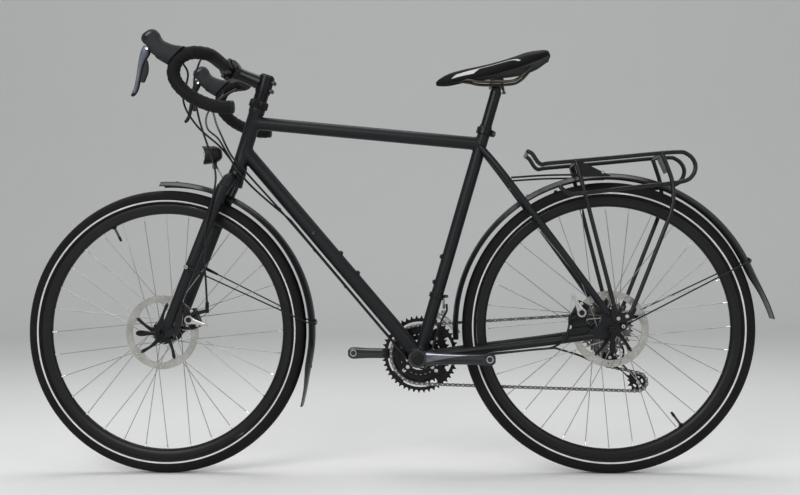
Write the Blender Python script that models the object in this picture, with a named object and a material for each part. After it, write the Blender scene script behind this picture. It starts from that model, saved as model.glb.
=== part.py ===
"""A steel touring bicycle with drop bars, disc brakes, mudguards and a rear rack.

Everything is in metres. While it is built, x runs forward from the rear axle, y to the rider's
left and z up from the ground; a parent empty then moves the whole bicycle so that the origin is
on the ground, midway along it.
"""
from math import acos, atan2, cos, hypot, pi, radians, sin, sqrt, tan

import bmesh
import bpy
from mathutils import Matrix, Vector

for leftover in list(bpy.data.objects):
    bpy.data.objects.remove(leftover, do_unlink=True)

# Driving dimensions: wheels and frame geometry
RIM_OUTER_RADIUS = 0.3135
RIM_DEPTH = 0.0235
RIM_WIDTH = 0.024
TYRE_HEIGHT = 0.0355
TYRE_WIDTH = 0.037
SPOKES_PER_FLANGE = 16
WHEEL_FACETS = 36
SPOKE_RADIUS = 0.0011
TYRE_TO_BOTTOM_BRACKET = 0.109
TYRE_TO_TOE = 0.27578
BOTTOM_BRACKET_DROP = 0.066
HEAD_ANGLE = radians(72.0)
SEAT_ANGLE = radians(73.0)
FORK_RAKE = 0.052
HEAD_TUBE_ABOVE_TYRE = 0.044
HEAD_TUBE_LENGTH = 0.163
HEAD_TUBE_WALL = 0.0037
SEAT_TUBE_LENGTH = 0.583
SEATPOST_RADIUS = 0.0136
SEAT_TUBE_WALL = 0.0014
TOP_TUBE_RADIUS = 0.0159
TOP_TUBE_BELOW_HEAD_TOP = 0.0375
TOP_TUBE_BELOW_SEAT_TOP = 0.0455
DOWN_TUBE_RADIUS = 0.0178
DOWN_TUBE_ON_HEAD = 0.054
SHELL_WALL = 0.0040
SHELL_HALF_WIDTH = 0.034
CHAINSTAY_RADIUS = 0.0100
SEATSTAY_RADIUS = 0.0080
REAR_HUB_HALF = 0.0675
FRONT_HUB_HALF = 0.0500
DROPOUT_THICKNESS = 0.006
STEERER_RADIUS = 0.0143
STEERER_IN_STEM = 0.0145
CROWN_BELOW_HEAD = 0.026
FORK_BLADE_RADIUS = 0.0150
FORK_TIP_RADIUS = 0.0122
HUB_FLANGE_RADIUS = 0.0305
SPOKE_CIRCLE = 0.0265
AXLE_RADIUS = 0.0048
BOTTOM_BRACKET_RADIUS = 0.0165
GAP = 0.0003

# Driving dimensions: transmission
PITCH = 0.0127
OUTER_RING_TEETH = 46
MIDDLE_RING_TEETH = 36
INNER_RING_TEETH = 26
COG_TEETH = (11, 13, 15, 18, 21, 24, 28, 32)
DRIVEN_COG = 2
COG_SPACING = 0.0048
PULLEY_TEETH = 11
RING_SPACING = 0.007
COG_TO_DROPOUT = 0.0040
CHAINLINE_TO_DROPOUT = 0.0200
SPROCKET_THICKNESS = 0.0020
PULLEY_PIN_RADIUS = 0.0025
CHAIN_HALF_WIDTH = 0.0033
CHAIN_INNER_HALF = 0.0014
CHAIN_HALF_HEIGHT = 0.0040
TOOTH_ABOVE_PITCH = 0.0028
ROLLER_HALF = 0.0038
CRANK_LENGTH = 0.170
CRANK_ANGLE = radians(0.7)
SPINDLE_RADIUS = 0.0080
GUIDE_PULLEY_BEHIND = 0.012
GUIDE_PULLEY_BELOW = 0.077
PULLEY_DISTANCE = 0.090
HANGER_BEHIND = 0.006
HANGER_BELOW = 0.030
HANGER_BOLT_RADIUS = 0.0040

# Driving dimensions: brakes, mudguards, rack
ROTOR_RADIUS = 0.090
ROTOR_TRACK = 0.017
ROTOR_THICKNESS = 0.0019
ROTOR_CLEARANCE = 0.00125
FRONT_ROTOR_TO_HUB_END = 0.0105
REAR_ROTOR_TO_HUB_END = 0.0152
FRONT_CALIPER_INSET = 0.00792
REAR_CALIPER_INSET = 0.01024
FRONT_CALIPER_ANGLE = radians(157.81)
REAR_CALIPER_ANGLE = radians(30.10)
MUDGUARD_CLEARANCE = 0.022
MUDGUARD_HALF_WIDTH = 0.025
MUDGUARD_SHEET = 0.0014
REAR_FLAP_LIFT = 0.019
STAY_WIRE_RADIUS = 0.0018
RACK_TUBE = 0.005
RACK_FOOT_THICKNESS = 0.005
RACK_STRUT_RADIUS = 0.0035
RACK_HALF_WIDTH = 0.062
RACK_HEIGHT = 0.0415
RACK_HOOP_TO_STAY = 0.09188

# Driving dimensions: cockpit and saddle
STEM_LENGTH = 0.095
STEM_ANGLE = radians(24.0)
STEM_ABOVE_HEAD = 0.0605
BAR_CLAMP_RADIUS = 0.0159
CABLE_RADIUS = 0.0025
HEADLIGHT_EAR_HALF = 0.0045
BAR_RADIUS = 0.0119
TAPE_THICKNESS = 0.0031
BAR_HALF_WIDTH = 0.213
LEVER_HALF_WIDTH = 0.0100
SEATPOST_EXTENSION = 0.10925
SADDLE_CLAMP_FORWARD = 0.00517
SADDLE_RAIL_RADIUS = 0.0035
SEATPOST_INSERTED = 0.223

RIM_INNER_RADIUS = RIM_OUTER_RADIUS - RIM_DEPTH
HEAD_TUBE_RADIUS = STEERER_RADIUS + HEAD_TUBE_WALL
SEAT_TUBE_RADIUS = SEATPOST_RADIUS + SEAT_TUBE_WALL
SHELL_RADIUS = BOTTOM_BRACKET_RADIUS + SHELL_WALL
TAPE_RADIUS = BAR_RADIUS + TAPE_THICKNESS
SMALLEST_COG_Y = REAR_HUB_HALF - COG_TO_DROPOUT
CHAINLINE = REAR_HUB_HALF - CHAINLINE_TO_DROPOUT
FRONT_ROTOR_Y = FRONT_HUB_HALF - FRONT_ROTOR_TO_HUB_END
REAR_ROTOR_Y = REAR_HUB_HALF - REAR_ROTOR_TO_HUB_END
TYRE_RADIUS = RIM_OUTER_RADIUS + TYRE_HEIGHT
CHAINSTAY_LENGTH = TYRE_RADIUS + TYRE_TO_BOTTOM_BRACKET
HEAD_TUBE_FOOT = 2.0 * TYRE_RADIUS + HEAD_TUBE_ABOVE_TYRE
TOP_TUBE_ON_HEAD = HEAD_TUBE_LENGTH - TOP_TUBE_BELOW_HEAD_TOP
TOP_TUBE_ON_SEAT = SEAT_TUBE_LENGTH - TOP_TUBE_BELOW_SEAT_TOP
STEM_HEIGHT = HEAD_TUBE_LENGTH + STEM_ABOVE_HEAD
STEERER_TOP = STEM_HEIGHT + STEERER_IN_STEM
AXLE_Z = TYRE_RADIUS
BB = Vector((sqrt(CHAINSTAY_LENGTH ** 2 - BOTTOM_BRACKET_DROP ** 2), 0.0,
             AXLE_Z - BOTTOM_BRACKET_DROP))
WHEELBASE = BB.x + TYRE_RADIUS + TYRE_TO_TOE
REAR_AXLE = Vector((0.0, 0.0, AXLE_Z))
FRONT_AXLE = Vector((WHEELBASE, 0.0, AXLE_Z))
STEER_UP = Vector((-cos(HEAD_ANGLE), 0.0, sin(HEAD_ANGLE)))
SEAT_UP = Vector((-cos(SEAT_ANGLE), 0.0, sin(SEAT_ANGLE)))
X_AXIS = Vector((1.0, 0.0, 0.0))
Y_AXIS = Vector((0.0, 1.0, 0.0))
Z_AXIS = Vector((0.0, 0.0, 1.0))
FRONT_OUT = FRONT_HUB_HALF + GAP + DROPOUT_THICKNESS
REAR_OUT = REAR_HUB_HALF + GAP + DROPOUT_THICKNESS
MUDGUARD_RADIUS = TYRE_RADIUS + MUDGUARD_CLEARANCE
REAR_FLAP_RADIUS = MUDGUARD_RADIUS + REAR_FLAP_LIFT
GUIDE_PULLEY = (-GUIDE_PULLEY_BEHIND, AXLE_Z - GUIDE_PULLEY_BELOW)
DRIVEN_COG_Y = -(SMALLEST_COG_Y - DRIVEN_COG * COG_SPACING)
ORIGIN_X = (WHEELBASE + TYRE_RADIUS - REAR_FLAP_RADIUS) / 2.0


def on_steering_axis(height):
    """The point of the steering axis at a height above the ground."""
    foot_x = WHEELBASE - FORK_RAKE / sin(HEAD_ANGLE)
    return Vector((foot_x - (height - AXLE_Z) / tan(HEAD_ANGLE), 0.0, height))


HEAD_FOOT = on_steering_axis(HEAD_TUBE_FOOT)


def along_head(distance):
    """The point of the steering axis at a distance above the head tube's lower end."""
    return HEAD_FOOT + STEER_UP * distance


def along_seat(distance):
    """The point of the seat tube's axis at a distance above the bottom bracket."""
    return BB + SEAT_UP * distance


CROWN = along_head(-CROWN_BELOW_HEAD)
BAR_CENTRE = (along_head(STEM_HEIGHT)
              + Vector((cos(STEM_ANGLE), 0.0, sin(STEM_ANGLE))) * STEM_LENGTH)
SADDLE_CLAMP = along_seat(SEAT_TUBE_LENGTH + SEATPOST_EXTENSION) + X_AXIS * SADDLE_CLAMP_FORWARD


def on_rotor(axle, angle, inset):
    """The middle of a caliper: a point inside the edge of the brake disc."""
    return axle + Vector((cos(angle), 0.0, sin(angle))) * (ROTOR_RADIUS - inset)


FRONT_CALIPER = on_rotor(FRONT_AXLE, FRONT_CALIPER_ANGLE, FRONT_CALIPER_INSET)
REAR_CALIPER = on_rotor(REAR_AXLE, REAR_CALIPER_ANGLE, REAR_CALIPER_INSET)


def from_rear(x, y, z):
    """A point given from the rear axle's middle."""
    return REAR_AXLE + Vector((x, y, z))


def from_front(x, y, z):
    """A point given from the front axle's middle."""
    return FRONT_AXLE + Vector((x, y, z))


def on_chainstay(share, y, lift=0.0):
    """A point beside the line from the bottom bracket to the rear axle."""
    return BB.lerp(REAR_AXLE, share) + Vector((0.0, y, lift))


def on_seatstay(share, y, lift=0.0):
    """A point beside the line from the top tube's joint on the seat tube to the rear dropout."""
    return along_seat(TOP_TUBE_ON_SEAT).lerp(from_rear(0.010, 0.0, 0.039), share) + Vector((0.0, y, lift))


def share_at(line, reach):
    """The share along a stay's line at which it lies so far from the rear axle."""
    low, high = 0.0, 1.0
    for _ in range(40):
        middle = (low + high) / 2.0
        if (line(middle, 0.0) - REAR_AXLE).length > reach:
            low = middle
        else:
            high = middle
    return low


def on_blade(share, y, forward=0.0):
    """A point beside the straight part of the fork's blades, from the crown to the tips."""
    top = CROWN + Vector((0.0253, 0.0, -0.0293))
    return top.lerp(from_front(-0.018, 0.0, 0.019), share) + Vector((forward, y, 0.0))


# Modelling helpers

def finished(bm):
    """Merge double points, point the faces outwards and return the mesh."""
    bmesh.ops.remove_doubles(bm, verts=bm.verts, dist=0.000002)
    bmesh.ops.recalc_face_normals(bm, faces=bm.faces)
    mesh = bpy.data.meshes.new("shape")
    bm.to_mesh(mesh)
    bm.free()
    return mesh


def mesh_from(points, faces):
    bm = bmesh.new()
    verts = [bm.verts.new(point) for point in points]
    for face in faces:
        bm.faces.new([verts[index] for index in face])
    return finished(bm)


def turned(profile, base, direction, segments, closed=False):
    """Spin a profile of (radius, distance along the axis) points about an axis."""
    axis = Vector(direction).normalized()
    side = axis.cross(Z_AXIS) if abs(axis.z) < 0.9 else axis.cross(Y_AXIS)
    side.normalize()
    bm = bmesh.new()
    ring = [bm.verts.new(Vector(base) + side * radius + axis * distance)
            for radius, distance in profile]
    edges = [bm.edges.new(pair) for pair in zip(ring, ring[1:])]
    if closed:
        edges.append(bm.edges.new((ring[-1], ring[0])))
    bmesh.ops.spin(bm, geom=ring + edges, cent=Vector(base), axis=axis, angle=2.0 * pi,
                   steps=segments, use_merge=True, use_duplicate=False)
    return finished(bm)


def rod(start, end, radius, end_radius=None, sides=10):
    """A round bar or cone between two points."""
    start, end = Vector(start), Vector(end)
    axis = (end - start).normalized()
    side = axis.cross(Z_AXIS) if abs(axis.z) < 0.9 else axis.cross(Y_AXIS)
    side.normalize()
    other = axis.cross(side)
    far = radius if end_radius is None else end_radius
    rings = []
    for centre, reach in ((start, radius), (end, far)):
        turns = [2.0 * pi * k / sides for k in range(sides)]
        rings.append([centre + side * (reach * cos(t)) + other * (reach * sin(t)) for t in turns])
    return loft(rings)


def bore_for(radius, sides):
    """The radius of a faceted bore whose flats still clear a round of this radius by the gap."""
    return (radius + GAP) / cos(pi / sides)


def sleeve(start, end, outer, inner, sides=16):
    """A tube with an open bore between two points."""
    start = Vector(start)
    span = Vector(end) - start
    profile = [(inner, 0.0), (outer, 0.0), (outer, span.length), (inner, span.length)]
    return turned(profile, start, span, sides, closed=True)


def box(low, high):
    bm = bmesh.new()
    size = Vector(high) - Vector(low)
    centre = (Vector(high) + Vector(low)) / 2.0
    bmesh.ops.create_cube(bm, size=1.0, matrix=Matrix.Translation(centre)
                          @ Matrix.Diagonal((size.x, size.y, size.z, 1.0)))
    return finished(bm)


def plate(outline, y_low, y_high):
    """An outline of (x, z) points given thickness along y."""
    count = len(outline)
    points = [(x, y_low, z) for x, z in outline] + [(x, y_high, z) for x, z in outline]
    faces = [list(range(count)), list(range(2 * count - 1, count - 1, -1))]
    faces += [[i, (i + 1) % count, (i + 1) % count + count, i + count] for i in range(count)]
    return mesh_from(points, faces)


def loft(sections):
    """A closed skin over a row of closed sections that have the same number of points."""
    count = len(sections[0])
    points = [point for section in sections for point in section]
    faces = [list(range(count)), [len(points) - 1 - i for i in range(count)]]
    for row in range(len(sections) - 1):
        base = row * count
        for i in range(count):
            j = (i + 1) % count
            faces.append([base + i, base + j, base + count + j, base + count + i])
    return mesh_from(points, faces)


def smooth(points, steps):
    """Points of a Catmull-Rom curve through the given ones, with so many steps a span."""
    knots = [Vector(point) for point in points]
    first = knots[0] * 2.0 - knots[1]
    last = knots[-1] * 2.0 - knots[-2]
    padded = [first] + knots + [last]
    path = []
    for i in range(len(knots) - 1):
        a, b, c, d = padded[i:i + 4]
        for step in range(steps):
            t = step / steps
            path.append(0.5 * ((2.0 * b) + (c - a) * t + (2.0 * a - 5.0 * b + 4.0 * c - d) * t * t
                               + (3.0 * b - a - 3.0 * c + d) * t ** 3))
    path.append(knots[-1])
    return path


def tube(points, radius, resolution=2, radii=None):
    """A round tube along points, from a curve with a bevel and filled caps."""
    curve = bpy.data.curves.new("path", "CURVE")
    curve.dimensions = "3D"
    curve.bevel_depth = radius
    curve.bevel_resolution = resolution
    curve.use_fill_caps = True
    spline = curve.splines.new("POLY")
    spline.points.add(len(points) - 1)
    for index, place in enumerate(points):
        spline.points[index].co = (*place, 1.0)
        spline.points[index].radius = 1.0 if radii is None else radii[index] / radius
    return evaluated(bpy.data.objects.new("path", curve), [])


def evaluated(carrier, helpers):
    """The mesh of an object with its modifiers applied; the objects are then removed."""
    bpy.context.scene.collection.objects.link(carrier)
    for helper in helpers:
        bpy.context.scene.collection.objects.link(helper)
    depsgraph = bpy.context.evaluated_depsgraph_get()
    mesh = bpy.data.meshes.new_from_object(carrier.evaluated_get(depsgraph))
    for used in [carrier] + helpers:
        bpy.data.objects.remove(used, do_unlink=True)
    bm = bmesh.new()
    bm.from_mesh(mesh)
    return finished(bm)


def combined(base, other, operation):
    carrier = bpy.data.objects.new("base", base)
    helper = bpy.data.objects.new("helper", other)
    modifier = carrier.modifiers.new("cut", "BOOLEAN")
    modifier.operation = operation
    modifier.solver = "EXACT"
    modifier.object = helper
    return evaluated(carrier, [helper])


def fuse(base, *others):
    for other in others:
        base = combined(base, other, "UNION")
    return base


def cut(base, *others):
    for other in others:
        base = combined(base, other, "DIFFERENCE")
    return base


def joined(meshes):
    """Several solids in one mesh, not yet united."""
    bm = bmesh.new()
    for mesh in meshes:
        bm.from_mesh(mesh)
    return finished(bm)


MATERIALS = {
    "matte_black": ((0.020, 0.021, 0.023), 0.55, 0.0),
    "gloss_black": ((0.012, 0.012, 0.014), 0.25, 0.0),
    "black_plastic": ((0.022, 0.022, 0.024), 0.50, 0.0),
    "rubber": ((0.022, 0.022, 0.021), 0.85, 0.0),
    "hood_rubber": ((0.045, 0.048, 0.053), 0.75, 0.0),
    "tape": ((0.024, 0.024, 0.025), 0.80, 0.0),
    "silver": ((0.62, 0.62, 0.60), 0.30, 1.0),
    "dark_steel": ((0.10, 0.10, 0.10), 0.40, 1.0),
    "rotor_steel": ((0.70, 0.69, 0.65), 0.32, 1.0),
    "lever_metal": ((0.16, 0.19, 0.24), 0.35, 0.9),
    "saddle_cover": ((0.025, 0.025, 0.027), 0.50, 0.0),
}
bike = bpy.data.objects.new("bicycle", None)
bike.location = (-ORIGIN_X, 0.0, 0.0)
bpy.context.scene.collection.objects.link(bike)


def finish_of(name):
    material = bpy.data.materials.get(name)
    if material is None:
        colour, roughness, metallic = MATERIALS[name]
        material = bpy.data.materials.new(name)
        material.use_nodes = True
        shader = material.node_tree.nodes["Principled BSDF"]
        shader.inputs["Base Color"].default_value = (*colour, 1.0)
        shader.inputs["Roughness"].default_value = roughness
        shader.inputs["Metallic"].default_value = metallic
    return material


def part(name, mesh, finish, pivot=(0.0, 0.0, 0.0)):
    """Make the named object, with its origin at the pivot."""
    pivot = Vector(pivot)
    mesh.transform(Matrix.Translation(-pivot))
    mesh.materials.clear()
    mesh.materials.append(finish_of(finish))
    mesh.shade_smooth()
    mesh.set_sharp_from_angle(angle=radians(35.0))
    mesh.name = name
    made = bpy.data.objects.new(name, mesh)
    made.location = pivot
    made.parent = bike
    bpy.context.scene.collection.objects.link(made)
    return made


# The transmission's geometry: circles, the loop of the chain and where its pins lie

def pitch_radius(teeth):
    return PITCH / (2.0 * sin(pi / teeth))


def tangent(first, second, first_sense, second_sense):
    """Touching points of a straight run from one circle to another.

    A sense is +1 where the chain turns anticlockwise round the circle, seen with x to the right
    and z up, and -1 where it turns clockwise.
    """
    (ax, az, ar), (bx, bz, br) = first, second
    dx, dz = bx - ax, bz - az
    distance = hypot(dx, dz)
    heading = atan2(dz, dx)
    lean = acos((ar * first_sense - br * second_sense) / distance)
    normal = heading - lean
    start = (ax + first_sense * ar * cos(normal), az + first_sense * ar * sin(normal))
    end = (bx + second_sense * br * cos(normal), bz + second_sense * br * sin(normal))
    return start, end


def chain_loop(cage_angle):
    """Straight runs and arcs of the loop, each with its length in chain pitches."""
    guide = GUIDE_PULLEY
    tension = (guide[0] + PULLEY_DISTANCE * cos(cage_angle),
               guide[1] + PULLEY_DISTANCE * sin(cage_angle))
    driven = COG_TEETH[DRIVEN_COG]
    stops = [(BB.x, BB.z, MIDDLE_RING_TEETH, 1), (0.0, AXLE_Z, driven, 1),
             (guide[0], guide[1], PULLEY_TEETH, -1), (tension[0], tension[1], PULLEY_TEETH, 1)]
    circles = [(x, z, pitch_radius(teeth)) for x, z, teeth, sense in stops]
    runs = []
    for i in range(4):
        j = (i + 1) % 4
        runs.append(tangent(circles[i], circles[j], stops[i][3], stops[j][3]))
    pieces = []
    for i in range(4):
        start, end = runs[i]
        length = hypot(end[0] - start[0], end[1] - start[1]) / PITCH
        pieces.append(("run", start, end, length, i))
        j = (i + 1) % 4
        x, z, teeth, sense = stops[j]
        first = atan2(end[1] - z, end[0] - x)
        last = atan2(runs[j][0][1] - z, runs[j][0][0] - x)
        sweep = ((last - first) * sense) % (2.0 * pi)
        pieces.append(("arc", (x, z, circles[j][2], first, sense), teeth, sweep * teeth / (2 * pi), j))
    return pieces, tension


def fitted_cage_angle():
    """The cage angle, near 229 degrees, at which the loop holds an even number of links."""
    low, high = radians(205.0), radians(250.0)
    start = radians(229.0)
    target = 2 * round(sum(piece[3] for piece in chain_loop(start)[0]) / 2.0)
    for _ in range(60):
        middle = (low + high) / 2.0
        if sum(piece[3] for piece in chain_loop(middle)[0]) > target:
            low = middle
        else:
            high = middle
    return middle, target


def chain_pins(pieces, count):
    """The pins of the loop: place, heading and the piece that each lies on."""
    sides = (-CHAINLINE, DRIVEN_COG_Y, DRIVEN_COG_Y, DRIVEN_COG_Y)
    pins = []
    begin = 0.0
    index = 0
    for kind, first, second, length, place in pieces:
        while index < count and index < begin + length:
            done = index - begin
            if kind == "run":
                share = done / length
                x = first[0] + (second[0] - first[0]) * share
                z = first[1] + (second[1] - first[1]) * share
                heading = atan2(second[1] - first[1], second[0] - first[0])
                y = sides[place] + (sides[(place + 1) % 4] - sides[place]) * share
            else:
                cx, cz, radius, angle, sense = first
                turn = angle + sense * done * 2.0 * pi / second
                x = cx + radius * cos(turn)
                z = cz + radius * sin(turn)
                heading = turn + sense * pi / 2.0
                y = sides[place]
            pins.append((x, y, z, heading, kind, place))
            index += 1
        begin += length
    return pins


CAGE_ANGLE, LINK_COUNT = fitted_cage_angle()
CHAIN_PIECES, TENSION_PULLEY = chain_loop(CAGE_ANGLE)
CHAIN_PINS = chain_pins(CHAIN_PIECES, LINK_COUNT)


def phase_of(place, centre):
    """The angle of a pin that lies on a sprocket, so that its teeth sit between the pins."""
    for x, y, z, heading, kind, where in CHAIN_PINS:
        if kind == "arc" and where == place:
            return atan2(z - centre[1], x - centre[0])
    return 0.0


def toothed(teeth, centre, phase, fine=True):
    """A sprocket's outline, with a gap at the phase angle and a tooth halfway to the next."""
    radius = pitch_radius(teeth)
    root = radius - CHAIN_HALF_HEIGHT - GAP
    tip = radius + TOOTH_ABOVE_PITCH
    step = 2.0 * pi / teeth
    outline = []
    for tooth in range(teeth):
        middle = phase + (tooth + 0.5) * step
        if fine:
            foot = step / 2.0 - (ROLLER_HALF + 0.0005) / root
            corners = ((-foot, root), (-0.0008 / tip, tip), (0.0008 / tip, tip), (foot, root))
        else:
            corners = ((-step / 2.0, root), (0.0, tip))
        for turn, reach in corners:
            outline.append((centre[0] + reach * cos(middle + turn),
                            centre[1] + reach * sin(middle + turn)))
    return outline


def circle(radius, centre, points, phase=0.0):
    return [(centre[0] + radius * cos(phase + 2.0 * pi * i / points),
             centre[1] + radius * sin(phase + 2.0 * pi * i / points)) for i in range(points)]


def engaged(index):
    """Whether teeth reach into the link after a pin; the large chainring's reach further."""
    for step in range(-2, 4):
        kind, place = CHAIN_PINS[(index + step) % len(CHAIN_PINS)][4:]
        if kind == "arc" and (place == 0 or -1 <= step <= 2):
            return True
    return False


def make_chain():
    """A strip of links along the loop: open between the rollers where teeth engage."""
    points = []
    faces = []

    def section(pin, along, half_width, half_height):
        x, y, z, heading = pin[:4]
        ahead = (cos(heading), sin(heading))
        base = len(points)
        for side in (1.0, -1.0):
            for lift in (half_height, -half_height):
                points.append((x + ahead[0] * along - ahead[1] * lift, y + side * half_width,
                               z + ahead[1] * along + ahead[0] * lift))
        return base

    pins = [section(pin, 0.0, CHAIN_HALF_WIDTH, CHAIN_HALF_HEIGHT) for pin in CHAIN_PINS]
    for index, pin in enumerate(CHAIN_PINS):
        following = (index + 1) % len(CHAIN_PINS)
        a, b = pins[index], pins[following]
        if not engaged(index):
            for i, j in ((0, 1), (1, 3), (3, 2), (2, 0)):
                faces.append([a + i, a + j, b + j, b + i])
            continue
        front = section(pin, ROLLER_HALF, CHAIN_INNER_HALF, CHAIN_HALF_HEIGHT)
        back = section(CHAIN_PINS[following], -ROLLER_HALF, CHAIN_INNER_HALF, CHAIN_HALF_HEIGHT)
        for top in (0, 1):
            faces += [[a + top, front + top, back + top, b + top],
                      [a + 2 + top, b + 2 + top, back + 2 + top, front + 2 + top],
                      [a + top, a + 2 + top, front + 2 + top, front + top],
                      [b + top, back + top, back + 2 + top, b + 2 + top]]
        faces += [[a, b, b + 1, a + 1], [a + 2, a + 3, b + 3, b + 2],
                  [front, front + 1, back + 1, back], [front + 2, back + 2, back + 3, front + 3],
                  [front, front + 2, front + 3, front + 1], [back, back + 1, back + 3, back + 2]]
    part("chain", mesh_from(points, faces), "dark_steel", BB)


# Frame

FORK_EYELET = on_blade(0.5656, 0.0, 0.0034)


def beside(centre, outline):
    """An outline in x and z, given from a centre."""
    return [(centre[0] + x, centre[-1] + z) for x, z in outline]


def dropout_slot(centre, reach):
    """The cutter of a dropout's slot: it opens downwards and its round end seats the axle."""
    half = bore_for(AXLE_RADIUS, 8)
    return fuse(rod(centre - Y_AXIS * reach, centre + Y_AXIS * reach, half, sides=8),
                box(centre - Vector((half, reach, 0.03)), centre + Vector((half, reach, 0.0))))


def make_frame():
    """Main tubes, stays, dropouts and fittings, brazed into one piece."""
    head_top = along_head(HEAD_TUBE_LENGTH)
    seat_top = along_seat(SEAT_TUBE_LENGTH)
    head = rod(HEAD_FOOT, head_top, HEAD_TUBE_RADIUS, sides=14)
    r = HEAD_TUBE_RADIUS
    upper_cup = turned([(0.0, -0.004), (r + 0.0035, -0.004), (r + 0.0055, 0.003), (r + 0.0055, 0.017),
                        (r + 0.0035, 0.0195), (0.0, 0.0195)], head_top, STEER_UP, 14)
    lower_cup = turned([(0.0, 0.002), (r + 0.0020, 0.002), (r + 0.0035, -0.003),
                        (r + 0.0035, -0.011), (0.0, -0.011)], HEAD_FOOT, STEER_UP, 14)
    down = rod(BB, along_head(DOWN_TUBE_ON_HEAD), DOWN_TUBE_RADIUS, sides=12)
    top = rod(along_seat(TOP_TUBE_ON_SEAT), along_head(TOP_TUBE_ON_HEAD), TOP_TUBE_RADIUS, sides=12)
    seat = rod(BB, seat_top, SEAT_TUBE_RADIUS, sides=14)
    shell = rod(BB - Y_AXIS * SHELL_HALF_WIDTH, BB + Y_AXIS * SHELL_HALF_WIDTH, SHELL_RADIUS,
                sides=14)
    body = fuse(head, upper_cup, lower_cup, down, top, seat, shell)
    dropout_in = REAR_HUB_HALF + GAP
    stay_end = (dropout_in + REAR_OUT) / 2.0
    stays = []
    for side in (1.0, -1.0):
        chainstay = [BB + Vector((-0.004, side * 0.0180, 0.0)),
                     on_chainstay(0.1086, side * 0.0265, -0.0017),
                     on_chainstay(0.2013, side * 0.0385, -0.0018),
                     on_chainstay(0.3381, side * 0.0450, -0.0033),
                     on_chainstay(0.6690, side * (stay_end - 0.0128), -0.0082),
                     on_chainstay(0.8941, side * stay_end, -0.0090)]
        radii = [CHAINSTAY_RADIUS - 0.0003 * i for i in range(len(chainstay))]
        stays.append(tube(chainstay, CHAINSTAY_RADIUS, 2, radii))
        seatstay = [on_seatstay(0.015, side * 0.0100, 0.0), on_seatstay(0.1245, side * 0.0255),
                    on_seatstay(0.2908, side * 0.0375), on_seatstay(0.680, side * (stay_end - 0.0168)),
                    on_seatstay(1.0, side * stay_end)]
        stays.append(tube(seatstay, SEATSTAY_RADIUS, 2))
        near, far = sorted((side * dropout_in, side * REAR_OUT))
        outline = [(0.058, -0.018), (0.050, -0.002), (0.022, 0.013), (0.018, 0.043), (0.002, 0.049),
                   (-0.006, 0.029), (-0.022, 0.030), (-0.034, 0.017), (-0.034, 0.000),
                   (-0.018, -0.009), (-0.010, -0.018), (0.012, -0.020), (0.030, -0.023)]
        stays.append(plate(beside(REAR_AXLE, outline), near, far))
    hanger = plate(beside((-HANGER_BEHIND, AXLE_Z - HANGER_BELOW),
                          [(0.012, 0.017), (-0.010, 0.017), (-0.010, 0.003), (-0.006, -0.008),
                           (0.006, -0.008), (0.010, -0.001)]), -REAR_OUT, -dropout_in)
    upper = share_at(on_seatstay, MUDGUARD_RADIUS + 0.0361)
    seatstay_bridge = rod(on_seatstay(upper, -0.034), on_seatstay(upper, 0.034), 0.006, sides=6)
    lower = share_at(on_chainstay, MUDGUARD_RADIUS + 0.0190)
    chainstay_bridge = rod(on_chainstay(lower, -0.030), on_chainstay(lower, 0.030), 0.0065, sides=6)
    brake_tab = plate(beside(REAR_CALIPER, [(0.049, -0.071), (0.043, -0.053), (0.023, -0.037),
                                            (-0.017, -0.033), (-0.024, -0.051), (-0.009, -0.063)]),
                      REAR_ROTOR_Y + 0.0087, REAR_ROTOR_Y + 0.0142)
    body = fuse(body, *stays, hanger, seatstay_bridge, chainstay_bridge, brake_tab)
    down_way = (along_head(DOWN_TUBE_ON_HEAD) - BB).normalized()
    down_up = Vector((-down_way.z, 0.0, down_way.x))
    seat_front = Vector((SEAT_UP.z, 0.0, -SEAT_UP.x))
    bosses = []
    for distance in (0.252, 0.316):
        foot = BB + down_way * distance
        bosses.append(rod(foot, foot + down_up * (DOWN_TUBE_RADIUS + 0.0028), 0.0052, sides=6))
    for distance in (0.184, 0.248):
        foot = along_seat(distance)
        bosses.append(rod(foot, foot + seat_front * (SEAT_TUBE_RADIUS + 0.0028), 0.0052, sides=6))
    stop_foot = BB + down_way * 0.395
    bosses.append(rod(stop_foot - Y_AXIS * 0.020, stop_foot + Y_AXIS * 0.020, 0.0045, sides=6))
    body = fuse(body, *bosses)
    steerer_bore = rod(along_head(-0.020), along_head(HEAD_TUBE_LENGTH + 0.030),
                       bore_for(STEERER_RADIUS, 12), sides=12)
    post_bore = rod(along_seat(0.300), along_seat(SEAT_TUBE_LENGTH + 0.010),
                    bore_for(SEATPOST_RADIUS, 12), sides=12)
    shell_bore = rod(BB - Y_AXIS * 0.05, BB + Y_AXIS * 0.05, bore_for(BOTTOM_BRACKET_RADIUS, 12),
                     sides=12)
    hanger_keep = box((-0.03, -REAR_OUT - 0.02, AXLE_Z - 0.04), (0.03, 0.0, AXLE_Z - 0.012))
    slot = cut(dropout_slot(REAR_AXLE, REAR_OUT + 0.015), hanger_keep)
    hanger_centre = from_rear(-HANGER_BEHIND, 0.0, -HANGER_BELOW)
    hanger_bore = rod(hanger_centre - Y_AXIS * (REAR_OUT + 0.015),
                      hanger_centre - Y_AXIS * (dropout_in - 0.015),
                      bore_for(HANGER_BOLT_RADIUS, 8), sides=8)
    body = cut(body, steerer_bore, post_bore, shell_bore, slot, hanger_bore)
    part("frame", body, "matte_black")
    spindle_bore = SPINDLE_RADIUS + 0.0012
    cup_end = SHELL_HALF_WIDTH + 0.0035
    cartridge = turned([(spindle_bore, -cup_end), (BOTTOM_BRACKET_RADIUS, -cup_end),
                        (BOTTOM_BRACKET_RADIUS, cup_end), (spindle_bore, cup_end)],
                       BB, Y_AXIS, 12, closed=True)
    part("bottom_bracket", cartridge, "dark_steel")


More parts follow.
